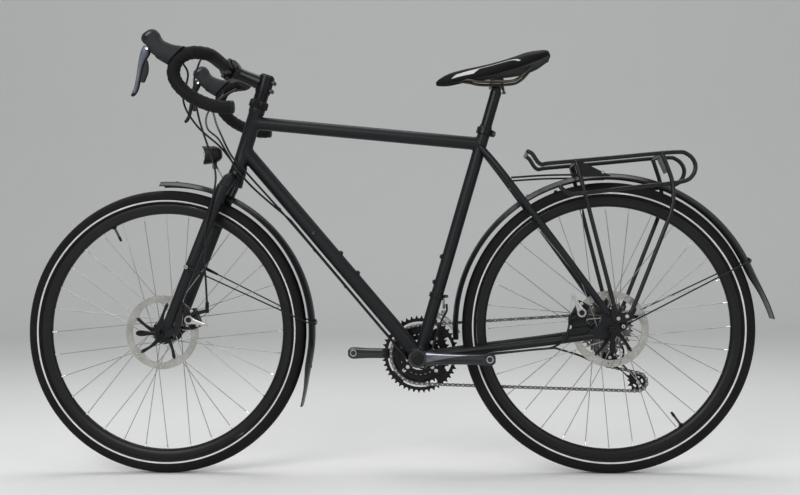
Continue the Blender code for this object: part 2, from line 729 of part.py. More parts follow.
def make_seat_collar():
    collar_r = bore_for(SEAT_TUBE_RADIUS, 14)
    low = along_seat(SEAT_TUBE_LENGTH - 0.022)
    high = along_seat(SEAT_TUBE_LENGTH - 0.006)
    ring = sleeve(low, high, collar_r + 0.0045, collar_r, sides=14)
    middle = (low + high) / 2.0
    back = Vector((-SEAT_UP.z, 0.0, SEAT_UP.x))
    ear_centre = middle + back * (collar_r + 0.0085)
    ear = rod(ear_centre - Y_AXIS * 0.009, ear_centre + Y_AXIS * 0.009, 0.0058, sides=8)
    part("seat_collar", fuse(ring, ear), "gloss_black")


# Wheels

def wheel_parts(prefix, centre, left_flange, right_flange, half_width, rotor_y):
    tyre_half = TYRE_WIDTH / 2.0
    seat = RIM_OUTER_RADIUS + GAP
    middle = (seat + TYRE_RADIUS) / 2.0 + 0.0005
    bead = RIM_WIDTH / 2.0 - 0.0022
    tyre = turned([(seat, -bead), (middle, -tyre_half), (TYRE_RADIUS, -0.0060),
                   (TYRE_RADIUS, 0.0060), (middle, tyre_half), (seat, bead)],
                  centre, Y_AXIS, WHEEL_FACETS, closed=True)
    part(prefix + "_tyre", tyre, "rubber", centre)
    half_rim = RIM_WIDTH / 2.0
    rim = turned([(RIM_INNER_RADIUS, 0.0), (RIM_INNER_RADIUS + 0.0085, -half_rim),
                  (RIM_OUTER_RADIUS, -half_rim), (RIM_OUTER_RADIUS, half_rim),
                  (RIM_INNER_RADIUS + 0.0085, half_rim)], centre, Y_AXIS, WHEEL_FACETS, closed=True)
    part(prefix + "_rim", rim, "gloss_black", centre)
    facet = 2.0 * pi / WHEEL_FACETS
    spokes = []
    for flange, side_shift in ((left_flange, 0.0), (right_flange, 0.5)):
        for k in range(SPOKES_PER_FLANGE):
            step = 2.0 * pi / SPOKES_PER_FLANGE
            hub_angle = (k + side_shift) * step
            lean = 3.0 * step if k % 2 == 0 else -3.0 * step
            out = 0.0019 if k % 2 == 0 else -0.0019
            rim_angle = hub_angle + lean
            rim_reach = RIM_INNER_RADIUS * cos(facet / 2.0) / cos(rim_angle % facet - facet / 2.0) - GAP
            start = centre + Vector((SPOKE_CIRCLE * cos(hub_angle), flange + out,
                                     SPOKE_CIRCLE * sin(hub_angle)))
            end = centre + Vector((rim_reach * cos(rim_angle), 0.02 * flange,
                                   rim_reach * sin(rim_angle)))
            way = (end - start).normalized()
            spokes.append(rod(start - way * 0.001, end, SPOKE_RADIUS, sides=3))
    bore = bore_for(AXLE_RADIUS, 10)
    mount_y = rotor_y - ROTOR_THICKNESS / 2.0 - GAP
    flange_r = HUB_FLANGE_RADIUS
    left = left_flange
    right = right_flange
    end_right = -half_width + 0.0045 if prefix == "front" else right_flange - 0.006
    shell = turned([(bore, end_right), (0.0125, end_right), (0.0125, right - 0.0018),
                    (flange_r, right - 0.0018), (flange_r, right + 0.0018), (0.0135, right + 0.0050),
                    (0.0135, left - 0.0050), (flange_r, left - 0.0018), (flange_r, left + 0.0018),
                    (0.0210, mount_y), (0.0150, mount_y), (0.0110, half_width - 0.0045),
                    (bore, half_width - 0.0045)],
                   centre, Y_AXIS, 10, closed=True)
    part(prefix + "_hub_and_spokes", fuse(shell, joined(spokes)), "silver", centre)
    make_rotor(prefix, centre, rotor_y)


def make_rotor(prefix, centre, rotor_y):
    """A brake disc: a drilled track on six raked arms."""
    half = ROTOR_THICKNESS / 2.0
    inner = ROTOR_RADIUS - ROTOR_TRACK
    place = (centre.x, centre.z)
    disc = plate(circle(ROTOR_RADIUS, place, 32), rotor_y - half, rotor_y + half)
    window = []
    arms = 6
    for arm in range(arms):
        start = 2.0 * pi * arm / arms
        width = 2.0 * pi / arms
        outer_arc = [(inner, start + width * share) for share in (0.10, 0.36, 0.61, 0.86)]
        inner_arc = [(0.0255, start + width * share) for share in (0.36, -0.28)]
        outline = [(place[0] + r * cos(a), place[1] + r * sin(a)) for r, a in outer_arc + inner_arc]
        window.append(plate(outline, rotor_y - 0.01, rotor_y + 0.01))
    bore = plate(circle(0.0170, place, 12), rotor_y - 0.01, rotor_y + 0.01)
    part(prefix + "_rotor", cut(disc, bore, joined(window)), "rotor_steel", centre)


def make_axle(name, centre, half_width, dropout_out, pivot_y):
    """Hollow axle with its locknuts, the quick-release rod, its nut and the cam end."""
    y = half_width
    r = AXLE_RADIUS
    profile = [(0.0, -dropout_out - 0.0135), (r + 0.0040, -dropout_out - 0.0110),
               (r + 0.0040, -dropout_out - GAP), (r, -dropout_out - GAP), (r, -y + GAP),
               (r + 0.0037, -y + GAP), (r, -y + 0.0038), (r, y - 0.0038),
               (r + 0.0037, y - GAP), (r, y - GAP), (r, dropout_out + GAP),
               (r + 0.0037, dropout_out + GAP), (r + 0.0012, pivot_y - 0.0030), (0.0, pivot_y - 0.0030)]
    part(name, turned(profile, centre, Y_AXIS, 8), "dark_steel")


def make_quick_release(name, centre, pivot_y, way):
    """A cam lever: a barrel across the axle's end and a curved blade along one way."""
    way = Vector(way)
    barrel_axis = way.cross(Y_AXIS).normalized()
    middle = centre + Y_AXIS * (pivot_y + 0.0045)
    barrel = rod(middle - barrel_axis * 0.0080, middle + barrel_axis * 0.0080, 0.0070, sides=12)
    sections = []
    for along, out, half_height, half_thick in ((0.002, 0.000, 0.0060, 0.0045),
                                                (0.016, 0.002, 0.0055, 0.0032),
                                                (0.034, 0.001, 0.0075, 0.0026),
                                                (0.050, -0.003, 0.0060, 0.0022),
                                                (0.056, -0.005, 0.0030, 0.0015)):
        spot = middle + way * along + Y_AXIS * out
        sections.append([spot + barrel_axis * (half_height * cos(t)) + Y_AXIS * (half_thick * sin(t))
                         for t in [2.0 * pi * k / 8 + pi / 8 for k in range(8)]])
    part(name, fuse(barrel, loft(sections)), "gloss_black", middle)


def make_cassette():
    """Eight toothed cogs on their carrier, turned as one piece."""
    centre = (0.0, AXLE_Z)
    inner_y = -(SMALLEST_COG_Y - (len(COG_TEETH) - 1) * COG_SPACING)
    bore = bore_for(AXLE_RADIUS, 8)
    body = turned([(bore, -SMALLEST_COG_Y), (0.0155, -SMALLEST_COG_Y),
                   (0.0165, inner_y + 0.0025), (bore, inner_y + 0.0025)],
                  REAR_AXLE, Y_AXIS, 8, closed=True)
    bored = []
    for index, teeth in enumerate(COG_TEETH):
        y = -(SMALLEST_COG_Y - index * COG_SPACING)
        driven = index == DRIVEN_COG
        phase = phase_of(1, centre) if driven else 0.3 * index
        half = SPROCKET_THICKNESS / 2.0 if driven else 0.0009
        disc = plate(toothed(teeth, centre, phase, fine=driven), y - half, y + half)
        bored.append(disc)
    part("cassette", fuse(body, *[cut(disc, rod((0, -0.08, AXLE_Z), (0, -0.02, AXLE_Z), 0.0100,
                                                sides=8)) for disc in bored]),
         "dark_steel", REAR_AXLE)


# Cranks and chainrings

def ring_disc(teeth, y, fine, phase, inner, tab_inner, tab_half, thickness):
    """A chainring: toothed outside, and inside a ring with four bolt tabs."""
    place = (BB.x, BB.z)
    blank = plate(toothed(teeth, place, phase, fine), y - thickness / 2.0, y + thickness / 2.0)
    opening = []
    for tab in range(4):
        centre_angle = CRANK_ANGLE + pi / 4.0 + tab * pi / 2.0
        for turn, reach in ((-tab_half, inner), (-tab_half * 0.62, tab_inner),
                            (tab_half * 0.62, tab_inner), (tab_half, inner),
                            (pi / 4.0 - 0.18, inner), (pi / 4.0 + 0.18, inner)):
            opening.append((place[0] + reach * cos(centre_angle + turn),
                            place[1] + reach * sin(centre_angle + turn)))
    return cut(blank, plate(opening, y - 0.01, y + 0.01))


def crank_arm(side, y_hub, y_eye):
    """One arm: a round boss, a tapering bar and a pedal eye."""
    way = Vector((side * cos(CRANK_ANGLE), 0.0, side * sin(CRANK_ANGLE)))
    up = Vector((-way.z, 0.0, way.x)) * (1.0 if way.x > 0 else -1.0)
    corners = ((-1, -0.6), (-0.6, -1), (0.6, -1), (1, -0.6), (1, 0.6), (0.6, 1), (-0.6, 1), (-1, 0.6))
    rise = y_eye - y_hub
    stations = ((-0.004, y_hub, 0.0190, 0.0085),
                (0.030, y_hub + 0.25 * rise, 0.0165, 0.0078),
                (0.090, y_hub + 0.65 * rise, 0.0135, 0.0070),
                (CRANK_LENGTH - 0.020, y_eye, 0.0140, 0.0065),
                (CRANK_LENGTH, y_eye, 0.0150, 0.0065),
                (CRANK_LENGTH + 0.011, y_eye, 0.0105, 0.0060),
                (CRANK_LENGTH + 0.015, y_eye, 0.0050, 0.0052))
    sections = []
    for along, y, half_height, half_thick in stations:
        spot = BB + way * along + Y_AXIS * y
        sections.append([spot + up * (half_height * a) + Y_AXIS * (half_thick * b)
                         for a, b in corners])
    boss = rod(BB + Y_AXIS * (y_hub - 0.0105), BB + Y_AXIS * (y_hub + 0.0105), 0.0225, sides=14)
    eye = BB + way * CRANK_LENGTH
    bore = rod(eye + Y_AXIS * (y_eye - 0.02), eye + Y_AXIS * (y_eye + 0.02), 0.0065, sides=8)
    return cut(fuse(loft(sections), boss), bore)


def make_cranks():
    left_hub, left_eye = 0.0620, 0.0770
    left = crank_arm(-1.0, left_hub, left_eye)
    spindle_bore = rod(BB + Y_AXIS * 0.040, BB + Y_AXIS * 0.0655, bore_for(SPINDLE_RADIUS, 8),
                       sides=8)
    recess = rod(BB + Y_AXIS * 0.0650, BB + Y_AXIS * 0.08, SPINDLE_RADIUS + 0.0030, sides=8)
    part("left_crank", cut(left, spindle_bore, recess), "gloss_black", BB)
    outer_y = -(CHAINLINE + RING_SPACING)
    inner_y = -(CHAINLINE - RING_SPACING)
    right = crank_arm(1.0, -CHAINLINE - 0.0225, -CHAINLINE - 0.0315)
    spindle = rod(BB - Y_AXIS * (CHAINLINE + 0.0185), BB + Y_AXIS * 0.0645, SPINDLE_RADIUS, sides=8)
    sleeve_part = rod(BB - Y_AXIS * (SHELL_HALF_WIDTH + 0.0045), BB - Y_AXIS * (CHAINLINE + 0.0145),
                      0.0150, sides=10)
    place = (BB.x, BB.z)
    star = []
    for arm in range(4):
        angle = CRANK_ANGLE + pi / 4.0 + arm * pi / 2.0
        for turn, reach in ((-0.16, 0.0620), (0.16, 0.0620), (0.26, 0.0300),
                            (pi / 2.0 - 0.26, 0.0300)):
            star.append((place[0] + reach * cos(angle + turn), place[1] + reach * sin(angle + turn)))
    spider_low = outer_y + SPROCKET_THICKNESS / 2.0 + GAP
    spider = plate(star, spider_low, -CHAINLINE + 0.0002)
    half = SPROCKET_THICKNESS / 2.0
    middle = cut(plate(toothed(MIDDLE_RING_TEETH, place, phase_of(0, place)), -CHAINLINE - half,
                       -CHAINLINE + half), plate(circle(0.0600, place, 16), outer_y, inner_y))
    inner = cut(plate(toothed(INNER_RING_TEETH, place, 0.1, False), inner_y - half, inner_y + half),
                plate(circle(0.0405, place, 12), -CHAINLINE, -CHAINLINE + 2.0 * RING_SPACING))
    posts = []
    for arm in range(4):
        angle = CRANK_ANGLE + pi / 4.0 + arm * pi / 2.0
        spot = Vector((place[0] + 0.0430 * cos(angle), 0.0, place[1] + 0.0430 * sin(angle)))
        posts.append(rod(spot + Y_AXIS * (spider_low + 0.001), spot + Y_AXIS * inner_y, 0.0048,
                         sides=6))
    right = fuse(right, spindle, sleeve_part, spider, middle, *posts)
    part("right_crank", fuse(right, inner), "gloss_black", BB)
    outer = ring_disc(OUTER_RING_TEETH, outer_y, False, 0.05, 0.0790, 0.0480, 0.24,
                      SPROCKET_THICKNESS)
    part("outer_chainring", outer, "dark_steel", BB)


# Derailleurs

def pulley(name, centre, place):
    """A toothed guide wheel with a hub and a bore."""
    half = SPROCKET_THICKNESS / 2.0
    middle = Vector((centre[0], DRIVEN_COG_Y, centre[1]))
    disc = plate(toothed(PULLEY_TEETH, centre, phase_of(place, centre)), middle.y - half, middle.y + half)
    hub = rod(middle - Y_AXIS * 0.0034, middle + Y_AXIS * 0.0034, 0.0075, sides=8)
    bore = rod(middle - Y_AXIS * 0.02, middle + Y_AXIS * 0.02, bore_for(PULLEY_PIN_RADIUS, 6), sides=6)
    part(name, cut(fuse(disc, hub), bore), "black_plastic", middle)


def make_rear_derailleur():
    """Cage with its pulleys, lower knuckle, parallelogram link and upper body."""
    cog_y = DRIVEN_COG_Y
    guide, tension = GUIDE_PULLEY, TENSION_PULLEY
    pulley("guide_pulley", guide, 2)
    pulley("tension_pulley", tension, 3)
    way = (cos(CAGE_ANGLE), sin(CAGE_ANGLE))
    over = (-way[1], way[0])
    low = PULLEY_DISTANCE
    edge = ((-0.014, -0.006), (-0.014, 0.006), (-0.004, 0.013), (0.020, 0.011),
            (low / 2.0, 0.006), (low - 0.010, 0.009), (low + 0.002, 0.008), (low + 0.009, 0.003),
            (low + 0.009, -0.004), (low, -0.010), (low - 0.030, -0.009), (0.020, -0.010),
            (-0.004, -0.012))
    outline = beside(guide, [(way[0] * along + over[0] * across, way[1] * along + over[1] * across)
                             for along, across in edge])
    near, far = CHAIN_HALF_WIDTH + 0.0009, CHAIN_HALF_WIDTH + 0.0026
    outer = plate(outline, cog_y - far, cog_y - near)
    inner = plate(outline, cog_y + near, cog_y + far)
    pins = [rod((x, cog_y - far + 0.0002, z), (x, cog_y + far - 0.0002, z), PULLEY_PIN_RADIUS, sides=8)
            for x, z in (guide, tension)]
    part("rear_derailleur_cage", fuse(outer, inner, *pins), "black_plastic", (guide[0], cog_y, guide[1]))
    knuckle_in = cog_y - far - GAP
    hanger = from_rear(-HANGER_BEHIND, -REAR_OUT, -HANGER_BELOW)
    lower = Vector((guide[0], -REAR_OUT, guide[1]))
    knuckle = fuse(rod((lower.x, knuckle_in, lower.z), lower - Y_AXIS * 0.0062, 0.0125, sides=14),
                   box(lower + Vector((-0.002, -0.0057, -0.008)), lower + Vector((0.026, 0.0073, 0.008))))
    link_low = lower + Vector((0.027, 0.0008, 0.001))
    link_high = hanger + Vector((0.018, -0.0122, -0.009))
    part("rear_derailleur_knuckle", knuckle, "black_plastic", link_low)
    link_way = (link_high - link_low).normalized()
    across = link_way.cross(Y_AXIS).normalized()
    thick = across.cross(link_way)
    sections = [[link_low + link_way * d + across * (w * a) + thick * (0.0045 * b)
                 for a, b in ((-1, -1), (1, -1), (1, 1), (-1, 1))]
                for d, w in ((0.0100, 0.0085), (0.020, 0.0100),
                             ((link_high - link_low).length - 0.0125, 0.0080))]
    part("rear_derailleur_link", loft(sections), "gloss_black", link_high)
    body = fuse(rod(hanger - Y_AXIS * GAP, hanger - Y_AXIS * 0.0212, 0.0115, sides=14),
                box(hanger + Vector((0.002, -0.0197, -0.0085)), hanger + Vector((0.025, -0.0052, 0.0065))),
                rod(hanger + Y_AXIS * (DROPOUT_THICKNESS - 0.0007), hanger - Y_AXIS * 0.0162,
                    HANGER_BOLT_RADIUS, sides=10))
    part("rear_derailleur_body", body, "black_plastic")


def make_front_derailleur():
    centre = along_seat(0.1530)
    inner = bore_for(SEAT_TUBE_RADIUS, 12)
    band = sleeve(centre - SEAT_UP * 0.006, centre + SEAT_UP * 0.006, inner + 0.0030, inner, sides=12)
    ear = box(centre + Vector((-inner - 0.0122, -0.006, -0.005)),
              centre + Vector((-inner - 0.0014, 0.006, 0.002)))
    tower = box(centre + Vector((-0.012, 0.0135 - CHAINLINE, -0.012)),
                centre + Vector((0.010, -inner - 0.0007, 0.006)))
    part("front_derailleur_clamp", fuse(band, ear, tower), "black_plastic")
    high = Vector((centre.x - 0.016, 0.0225 - CHAINLINE, centre.z - 0.008))
    low = Vector((centre.x - 0.016, 0.0115 - CHAINLINE, centre.z - 0.034))
    link_way = (low - high).normalized()
    sections = [[high + link_way * d + X_AXIS * (0.0035 * a) + Y_AXIS * (0.0065 * b)
                 for a, b in ((-1, -1), (1, -1), (1, 1), (-1, 1))] for d in (0.0, 0.0275)]
    part("front_derailleur_link", loft(sections), "silver", high)
    low_r, high_r = 0.0990, 0.1130
    angles = [radians(a) for a in (152.0, 142.0, 132.0, 122.0, 112.0)]
    arc_in = [(BB.x + low_r * cos(a), BB.z + low_r * sin(a)) for a in angles]
    arc_out = [(BB.x + high_r * cos(a), BB.z + high_r * sin(a)) for a in reversed(angles)]
    outer = plate(arc_in + arc_out, -0.0125 - CHAINLINE, -0.0110 - CHAINLINE)
    inside = plate([(x - 0.002, z + 0.003) for x, z in arc_in] + arc_out, 0.0030 - CHAINLINE,
                   0.0045 - CHAINLINE)
    bridge = box(BB + Vector((-0.060, -0.0120 - CHAINLINE, 0.0960)), BB + Vector((-0.048, low.y, 0.0985)))
    tail = BB + Vector((0.106 * cos(angles[0]) + 0.002, 0.0, 0.106 * sin(angles[0]) + 0.003))
    tail_pin = rod(tail - Y_AXIS * (CHAINLINE + 0.0120), tail - Y_AXIS * (CHAINLINE - 0.0040), 0.0022,
                   sides=8)
    lug = box(low + Vector((-0.004, -0.0085, -0.016)), low + Vector((0.007, 0.0030, -0.003)))
    part("front_derailleur_cage", fuse(outer, inside, bridge, tail_pin, lug), "silver", low)


# Steering column, fork and cockpit

def make_fork():
    """Steerer, crown, two straight blades, dropouts and the brake's mount."""
    crown = CROWN
    steerer = rod(along_head(-CROWN_BELOW_HEAD - 0.004), along_head(STEERER_TOP), STEERER_RADIUS,
                  sides=12)
    r = HEAD_TUBE_RADIUS
    race = turned([(0.0, -0.0160), (r + 0.0020, -0.0160), (r + 0.0025, -0.0113), (0.0, -0.0113)],
                  HEAD_FOOT, STEER_UP, 12)
    crown_block = rod(crown - STEER_UP * 0.012, crown + STEER_UP * 0.014, r + 0.0030, r + 0.0010,
                      sides=12)
    pieces = [race, crown_block]
    dropout_in = FRONT_HUB_HALF + GAP
    for side in (1.0, -1.0):
        path = [crown + Vector((0.003, side * 0.0120, -0.004)),
                crown + Vector((0.0113, side * 0.0330, -0.0053)),
                on_blade(0.0, side * 0.0430), on_blade(1.0, side * (FRONT_OUT + 0.0002))]
        radii = [FORK_BLADE_RADIUS + (FORK_TIP_RADIUS - FORK_BLADE_RADIUS) * i / 3 for i in range(4)]
        pieces.append(tube(path, FORK_BLADE_RADIUS, 3, radii))
        near, far = sorted((side * dropout_in, side * FRONT_OUT))
        outline = [(-0.031, 0.025), (-0.014, 0.034), (0.000, 0.016), (0.012, 0.008),
                   (0.012, -0.007), (-0.008, -0.016), (-0.028, -0.007), (-0.038, 0.007)]
        pieces.append(plate(beside(FRONT_AXLE, outline), near, far))
    on_fork = [from_front(-0.036, 0.0, -0.013), from_front(-0.032, 0.0, 0.003),
               on_blade(0.8375, 0.0, -0.0047)]
    mount = plate([(spot.x, spot.z) for spot in on_fork]
                  + beside(FRONT_CALIPER, [(0.024, 0.044), (0.020, 0.022), (0.028, -0.030)]),
                  FRONT_ROTOR_Y + 0.0108, FRONT_ROTOR_Y + 0.0165)
    body = fuse(steerer, *pieces, mount)
    for side in (1.0, -1.0):
        body = fuse(body, rod(FORK_EYELET + Y_AXIS * (side * (FRONT_OUT - 0.0103)),
                              FORK_EYELET + Y_AXIS * (side * (FRONT_OUT + 0.0117)), 0.0045, sides=6))
    part("fork", cut(body, dropout_slot(FRONT_AXLE, FRONT_OUT + 0.034)), "matte_black", HEAD_FOOT)


def make_stem():
    bore = bore_for(STEERER_RADIUS, 12)
    centre = along_head(STEM_HEIGHT)
    way = Vector((cos(STEM_ANGLE), 0.0, sin(STEM_ANGLE)))
    bar = BAR_CENTRE
    outer = STEERER_RADIUS + 0.0047
    clamp = rod(centre - STEER_UP * 0.021, centre + STEER_UP * 0.0215, outer, sides=14)
    cap = rod(centre + STEER_UP * 0.0205, centre + STEER_UP * 0.0265, outer - 0.0020, outer - 0.0050,
              sides=10)
    arm = rod(centre, bar - way * 0.012, 0.0185, 0.0160, sides=12)
    seat = BAR_CLAMP_RADIUS
    cheek = box((-seat - 0.0031, -0.0225, -seat - 0.0046), (-0.0008, 0.0225, seat + 0.0046))
    cheek.transform(Matrix.Translation(bar) @ Matrix.Rotation(-STEM_ANGLE, 4, "Y"))
    back = Vector((-sin(HEAD_ANGLE), 0.0, -cos(HEAD_ANGLE)))
    pinch = []
    for height in (0.0105, -0.0105):
        spot = centre + STEER_UP * height + back * (outer + 0.0025)
        pinch.append(rod(spot - Y_AXIS * 0.0115, spot + Y_AXIS * 0.0115, 0.0052, sides=8))
    body = fuse(clamp, cap, arm, cheek, *pinch)
    steerer = rod(centre - STEER_UP * 0.030, along_head(STEERER_TOP + GAP), bore, sides=12)
    bar_seat = rod(bar - Y_AXIS * 0.04, bar + Y_AXIS * 0.04, bore_for(BAR_CLAMP_RADIUS, 12), sides=12)
    part("stem", cut(body, steerer, bar_seat), "gloss_black")
    face = rod(bar - Y_AXIS * 0.0225, bar + Y_AXIS * 0.0225, seat + 0.0058, sides=12)
    lugs = box((-0.0030, -0.0218, -seat - 0.0101), (0.0085, 0.0218, seat + 0.0101))
    lugs.transform(Matrix.Translation(bar) @ Matrix.Rotation(-STEM_ANGLE, 4, "Y"))
    keep = box((-0.05, -0.05, -0.05), (-0.0005, 0.05, 0.05))
    keep.transform(Matrix.Translation(bar) @ Matrix.Rotation(-STEM_ANGLE, 4, "Y"))
    bar_hole = rod(bar - Y_AXIS * 0.04, bar + Y_AXIS * 0.04, bore_for(BAR_CLAMP_RADIUS, 12), sides=12)
    part("stem_faceplate", cut(fuse(face, lugs), keep, bar_hole), "gloss_black")
    low = along_head(HEAD_TUBE_LENGTH + 0.0195 + GAP)
    high = centre - STEER_UP * (0.021 + GAP)
    part("headset_spacers", sleeve(low, high, STEERER_RADIUS + 0.0029, bore, sides=12), "gloss_black")


def bar_path(centre, side):
    """The bar's centre line from the clamp out to its end on one side."""
    y = BAR_HALF_WIDTH
    outline = [(0.0, 0.0, 0.0), (0.0, 0.050, 0.0), (0.0, 0.160, 0.0), (0.006, 0.196, 0.0),
               (0.030, y, 0.0005), (0.052, y + 0.001, -0.004), (0.0715, y + 0.002, -0.0190),
               (0.0790, y + 0.002, -0.0450), (0.0700, y + 0.002, -0.0700),
               (0.0440, y + 0.002, -0.0960), (0.0080, y + 0.002, -0.1155),
               (-0.0270, y + 0.002, -0.1255), (-0.0540, y + 0.002, -0.1262)]
    return [centre + Vector((x, side * w, z)) for x, w, z in outline]


def make_bar():
    """Handlebar and the two lengths of tape on it."""
    centre = BAR_CENTRE
    knots = {side: bar_path(centre, side) for side in (1.0, -1.0)}
    halves = {side: smooth(knots[side][2:], 1) for side in (1.0, -1.0)}
    spine = list(reversed(halves[-1.0])) + [centre - Y_AXIS * 0.052, centre - Y_AXIS * 0.034,
                                            centre + Y_AXIS * 0.034, centre + Y_AXIS * 0.052]
    spine += halves[1.0]
    radii = [BAR_CLAMP_RADIUS if abs(point.y) < 0.040 else BAR_RADIUS for point in spine]
    part("handlebar", tube(spine, BAR_CLAMP_RADIUS, 2, radii), "gloss_black")
    for side, name in ((1.0, "left"), (-1.0, "right")):
        sleeve_points = [centre + Y_AXIS * (side * 0.060)] + halves[side]
        bar_end = halves[side][-1]
        onward = (bar_end - halves[side][-2]).normalized()
        outer = tube(sleeve_points + [bar_end + onward * 0.006], TAPE_RADIUS, 2)
        inner = tube([centre + Y_AXIS * (side * 0.040)] + halves[side] + [bar_end + onward * 0.0005],
                     bore_for(BAR_RADIUS, 8), 2)
        part(name + "_bar_tape", cut(outer, inner), "tape")
    return halves


def oval(centre, along, side_way, half_along, half_side, count=10, square=0.75):
    """A rounded section: a superellipse across two directions."""
    ring = []
    for k in range(count):
        t = 2.0 * pi * (k + 0.5) / count
        a = abs(cos(t)) ** square * (1 if cos(t) >= 0 else -1)
        b = abs(sin(t)) ** square * (1 if sin(t) >= 0 else -1)
        ring.append(centre + along * (half_along * a) + side_way * (half_side * b))
    return ring


def make_controls(side, name, half):
    """The rubber hood with its horn, the brake lever and the shift paddle behind it.

    Points are given in x and z from the middle of the bar's clamp.
    """
    y = side * (BAR_HALF_WIDTH + 0.002)

    def spot(x, z):
        return BAR_CENTRE + Vector((x, y, z))

    stations = (((0.0515, 0.0144), (0.0921, -0.0265), 0.0165),
                ((0.0766, 0.0188), (0.1011, -0.0212), 0.0172),
                ((0.0966, 0.0268), (0.1186, -0.0102), 0.0165),
                ((0.1053, 0.0346), (0.1329, 0.0018), 0.0155),
                ((0.1116, 0.0468), (0.1426, 0.0188), 0.0158),
                ((0.1191, 0.0543), (0.1516, 0.0308), 0.0150),
                ((0.1276, 0.0562), (0.1506, 0.0413), 0.0105))
    sections = []
    for high, low, width in stations:
        high, low = spot(*high), spot(*low)
        across = (high - low).normalized()
        sections.append(oval((high + low) / 2.0, across, Y_AXIS, (high - low).length / 2.0, width))
    hood = loft(sections)
    clear = tube([BAR_CENTRE + Y_AXIS * (side * 0.060)] + half, TAPE_RADIUS + GAP, 2)
    pivot = spot(0.1352, 0.0092)
    slot = box((-0.0086, -LEVER_HALF_WIDTH + 0.0002, -0.0424), (0.0264, LEVER_HALF_WIDTH - 0.0002, 0.0156))
    slot.transform(Matrix.Translation(pivot) @ Matrix.Rotation(radians(22.0), 4, "Y"))
    part(name + "_hood", cut(hood, clear, slot), "hood_rubber")
    blade = []
    for x, z, tilt, half_along, half_side in (
            (0.1381, 0.0173, 10.0, 0.0078, 0.0100), (0.1436, 0.0028, 15.0, 0.0098, 0.0100),
            (0.1501, -0.0132, 12.0, 0.0075, 0.0080), (0.1556, -0.0332, 8.0, 0.0055, 0.0070),
            (0.1601, -0.0562, 6.0, 0.0048, 0.0065), (0.1651, -0.0782, 20.0, 0.0046, 0.0062),
            (0.1716, -0.0897, 38.0, 0.0044, 0.0060), (0.1771, -0.0942, 50.0, 0.0030, 0.0045)):
        lean = radians(tilt)
        across = Vector((cos(lean), 0.0, sin(lean)))
        blade.append(oval(spot(x, z), across, Y_AXIS, half_along, half_side, count=8))
    part(name + "_brake_lever", loft(blade), "lever_metal", pivot)
    outline = [(0.1386, -0.0142), (0.1361, -0.0292), (0.1371, -0.0432), (0.1466, -0.0662),
               (0.1566, -0.0642), (0.1542, -0.0512), (0.1488, -0.0302), (0.1429, -0.0157)]
    paddle = plate(beside(BAR_CENTRE, outline), y - 0.0040, y + 0.0040)
    part(name + "_shift_paddle", paddle, "black_plastic", spot(0.1416, -0.0172))


# Brakes

def make_caliper(name, arm_name, middle, turn, inset, rotor_y, arm_angle, outer_y, lug):
    """A mechanical caliper astride the disc, and the arm that the cable pulls.

    The lug's outline is given in x and z from the caliper's middle.
    """

    def block(r0, r1, t0, t1, y0, y1):
        shape = box((r0, y0, t0), (r1, y1, t1))
        shape.transform(Matrix.Translation(middle) @ Matrix.Rotation(-turn, 4, "Y"))
        return shape

    body = fuse(rod(middle + Y_AXIS * (rotor_y - 0.0145), middle + Y_AXIS * (outer_y - 0.0065), 0.0170,
                    sides=14),
                block(-0.012, 0.0165, -0.0240, 0.0240, rotor_y - 0.0130, rotor_y + 0.0125),
                plate(beside(middle, lug), rotor_y + 0.0110, rotor_y + 0.0165))
    slot_half = ROTOR_THICKNESS / 2.0 + ROTOR_CLEARANCE
    slot = block(-0.035, inset + 0.0020, -0.05, 0.05, rotor_y - slot_half, rotor_y + slot_half)
    part(name, cut(body, slot), "black_plastic")
    pivot = middle + Y_AXIS * outer_y
    way = Vector((cos(arm_angle), 0.0, sin(arm_angle)))
    across = Vector((-way.z, 0.0, way.x))
    boss = rod(pivot - Y_AXIS * (0.0065 - GAP), pivot + Y_AXIS * 0.0055, 0.0105, sides=14)
    sections = [[pivot + way * d + across * (w * a) + Y_AXIS * (0.0030 * b)
                 for a, b in ((-1, -1), (1, -1), (1, 1), (-1, 1))]
                for d, w in ((0.0, 0.0085), (0.020, 0.0058), (0.040, 0.0042), (0.048, 0.0034))]
    part(arm_name, fuse(boss, loft(sections)), "silver", pivot)


# Mudguards, rack and lights

def mudguard(centre, stations, sheet=MUDGUARD_SHEET):
    """A crowned strip round a wheel: stations of (angle, radius, half width, crown drop)."""
    sections = []
    for degrees, radius, half_width, drop in stations:
        angle = radians(degrees)
        way = Vector((cos(angle), 0.0, sin(angle)))
        ring = []
        for depth, width, shares in ((0.0, half_width, (-1.0, -0.6, 0.0, 0.6, 1.0)),
                                     (sheet, half_width - 0.0006, (1.0, 0.6, 0.0, -0.6, -1.0))):
            ring += [centre + way * (radius - depth - drop * abs(s) ** 2.2) + Y_AXIS * (width * s)
                     for s in shares]
        sections.append(ring)
    return loft(sections)


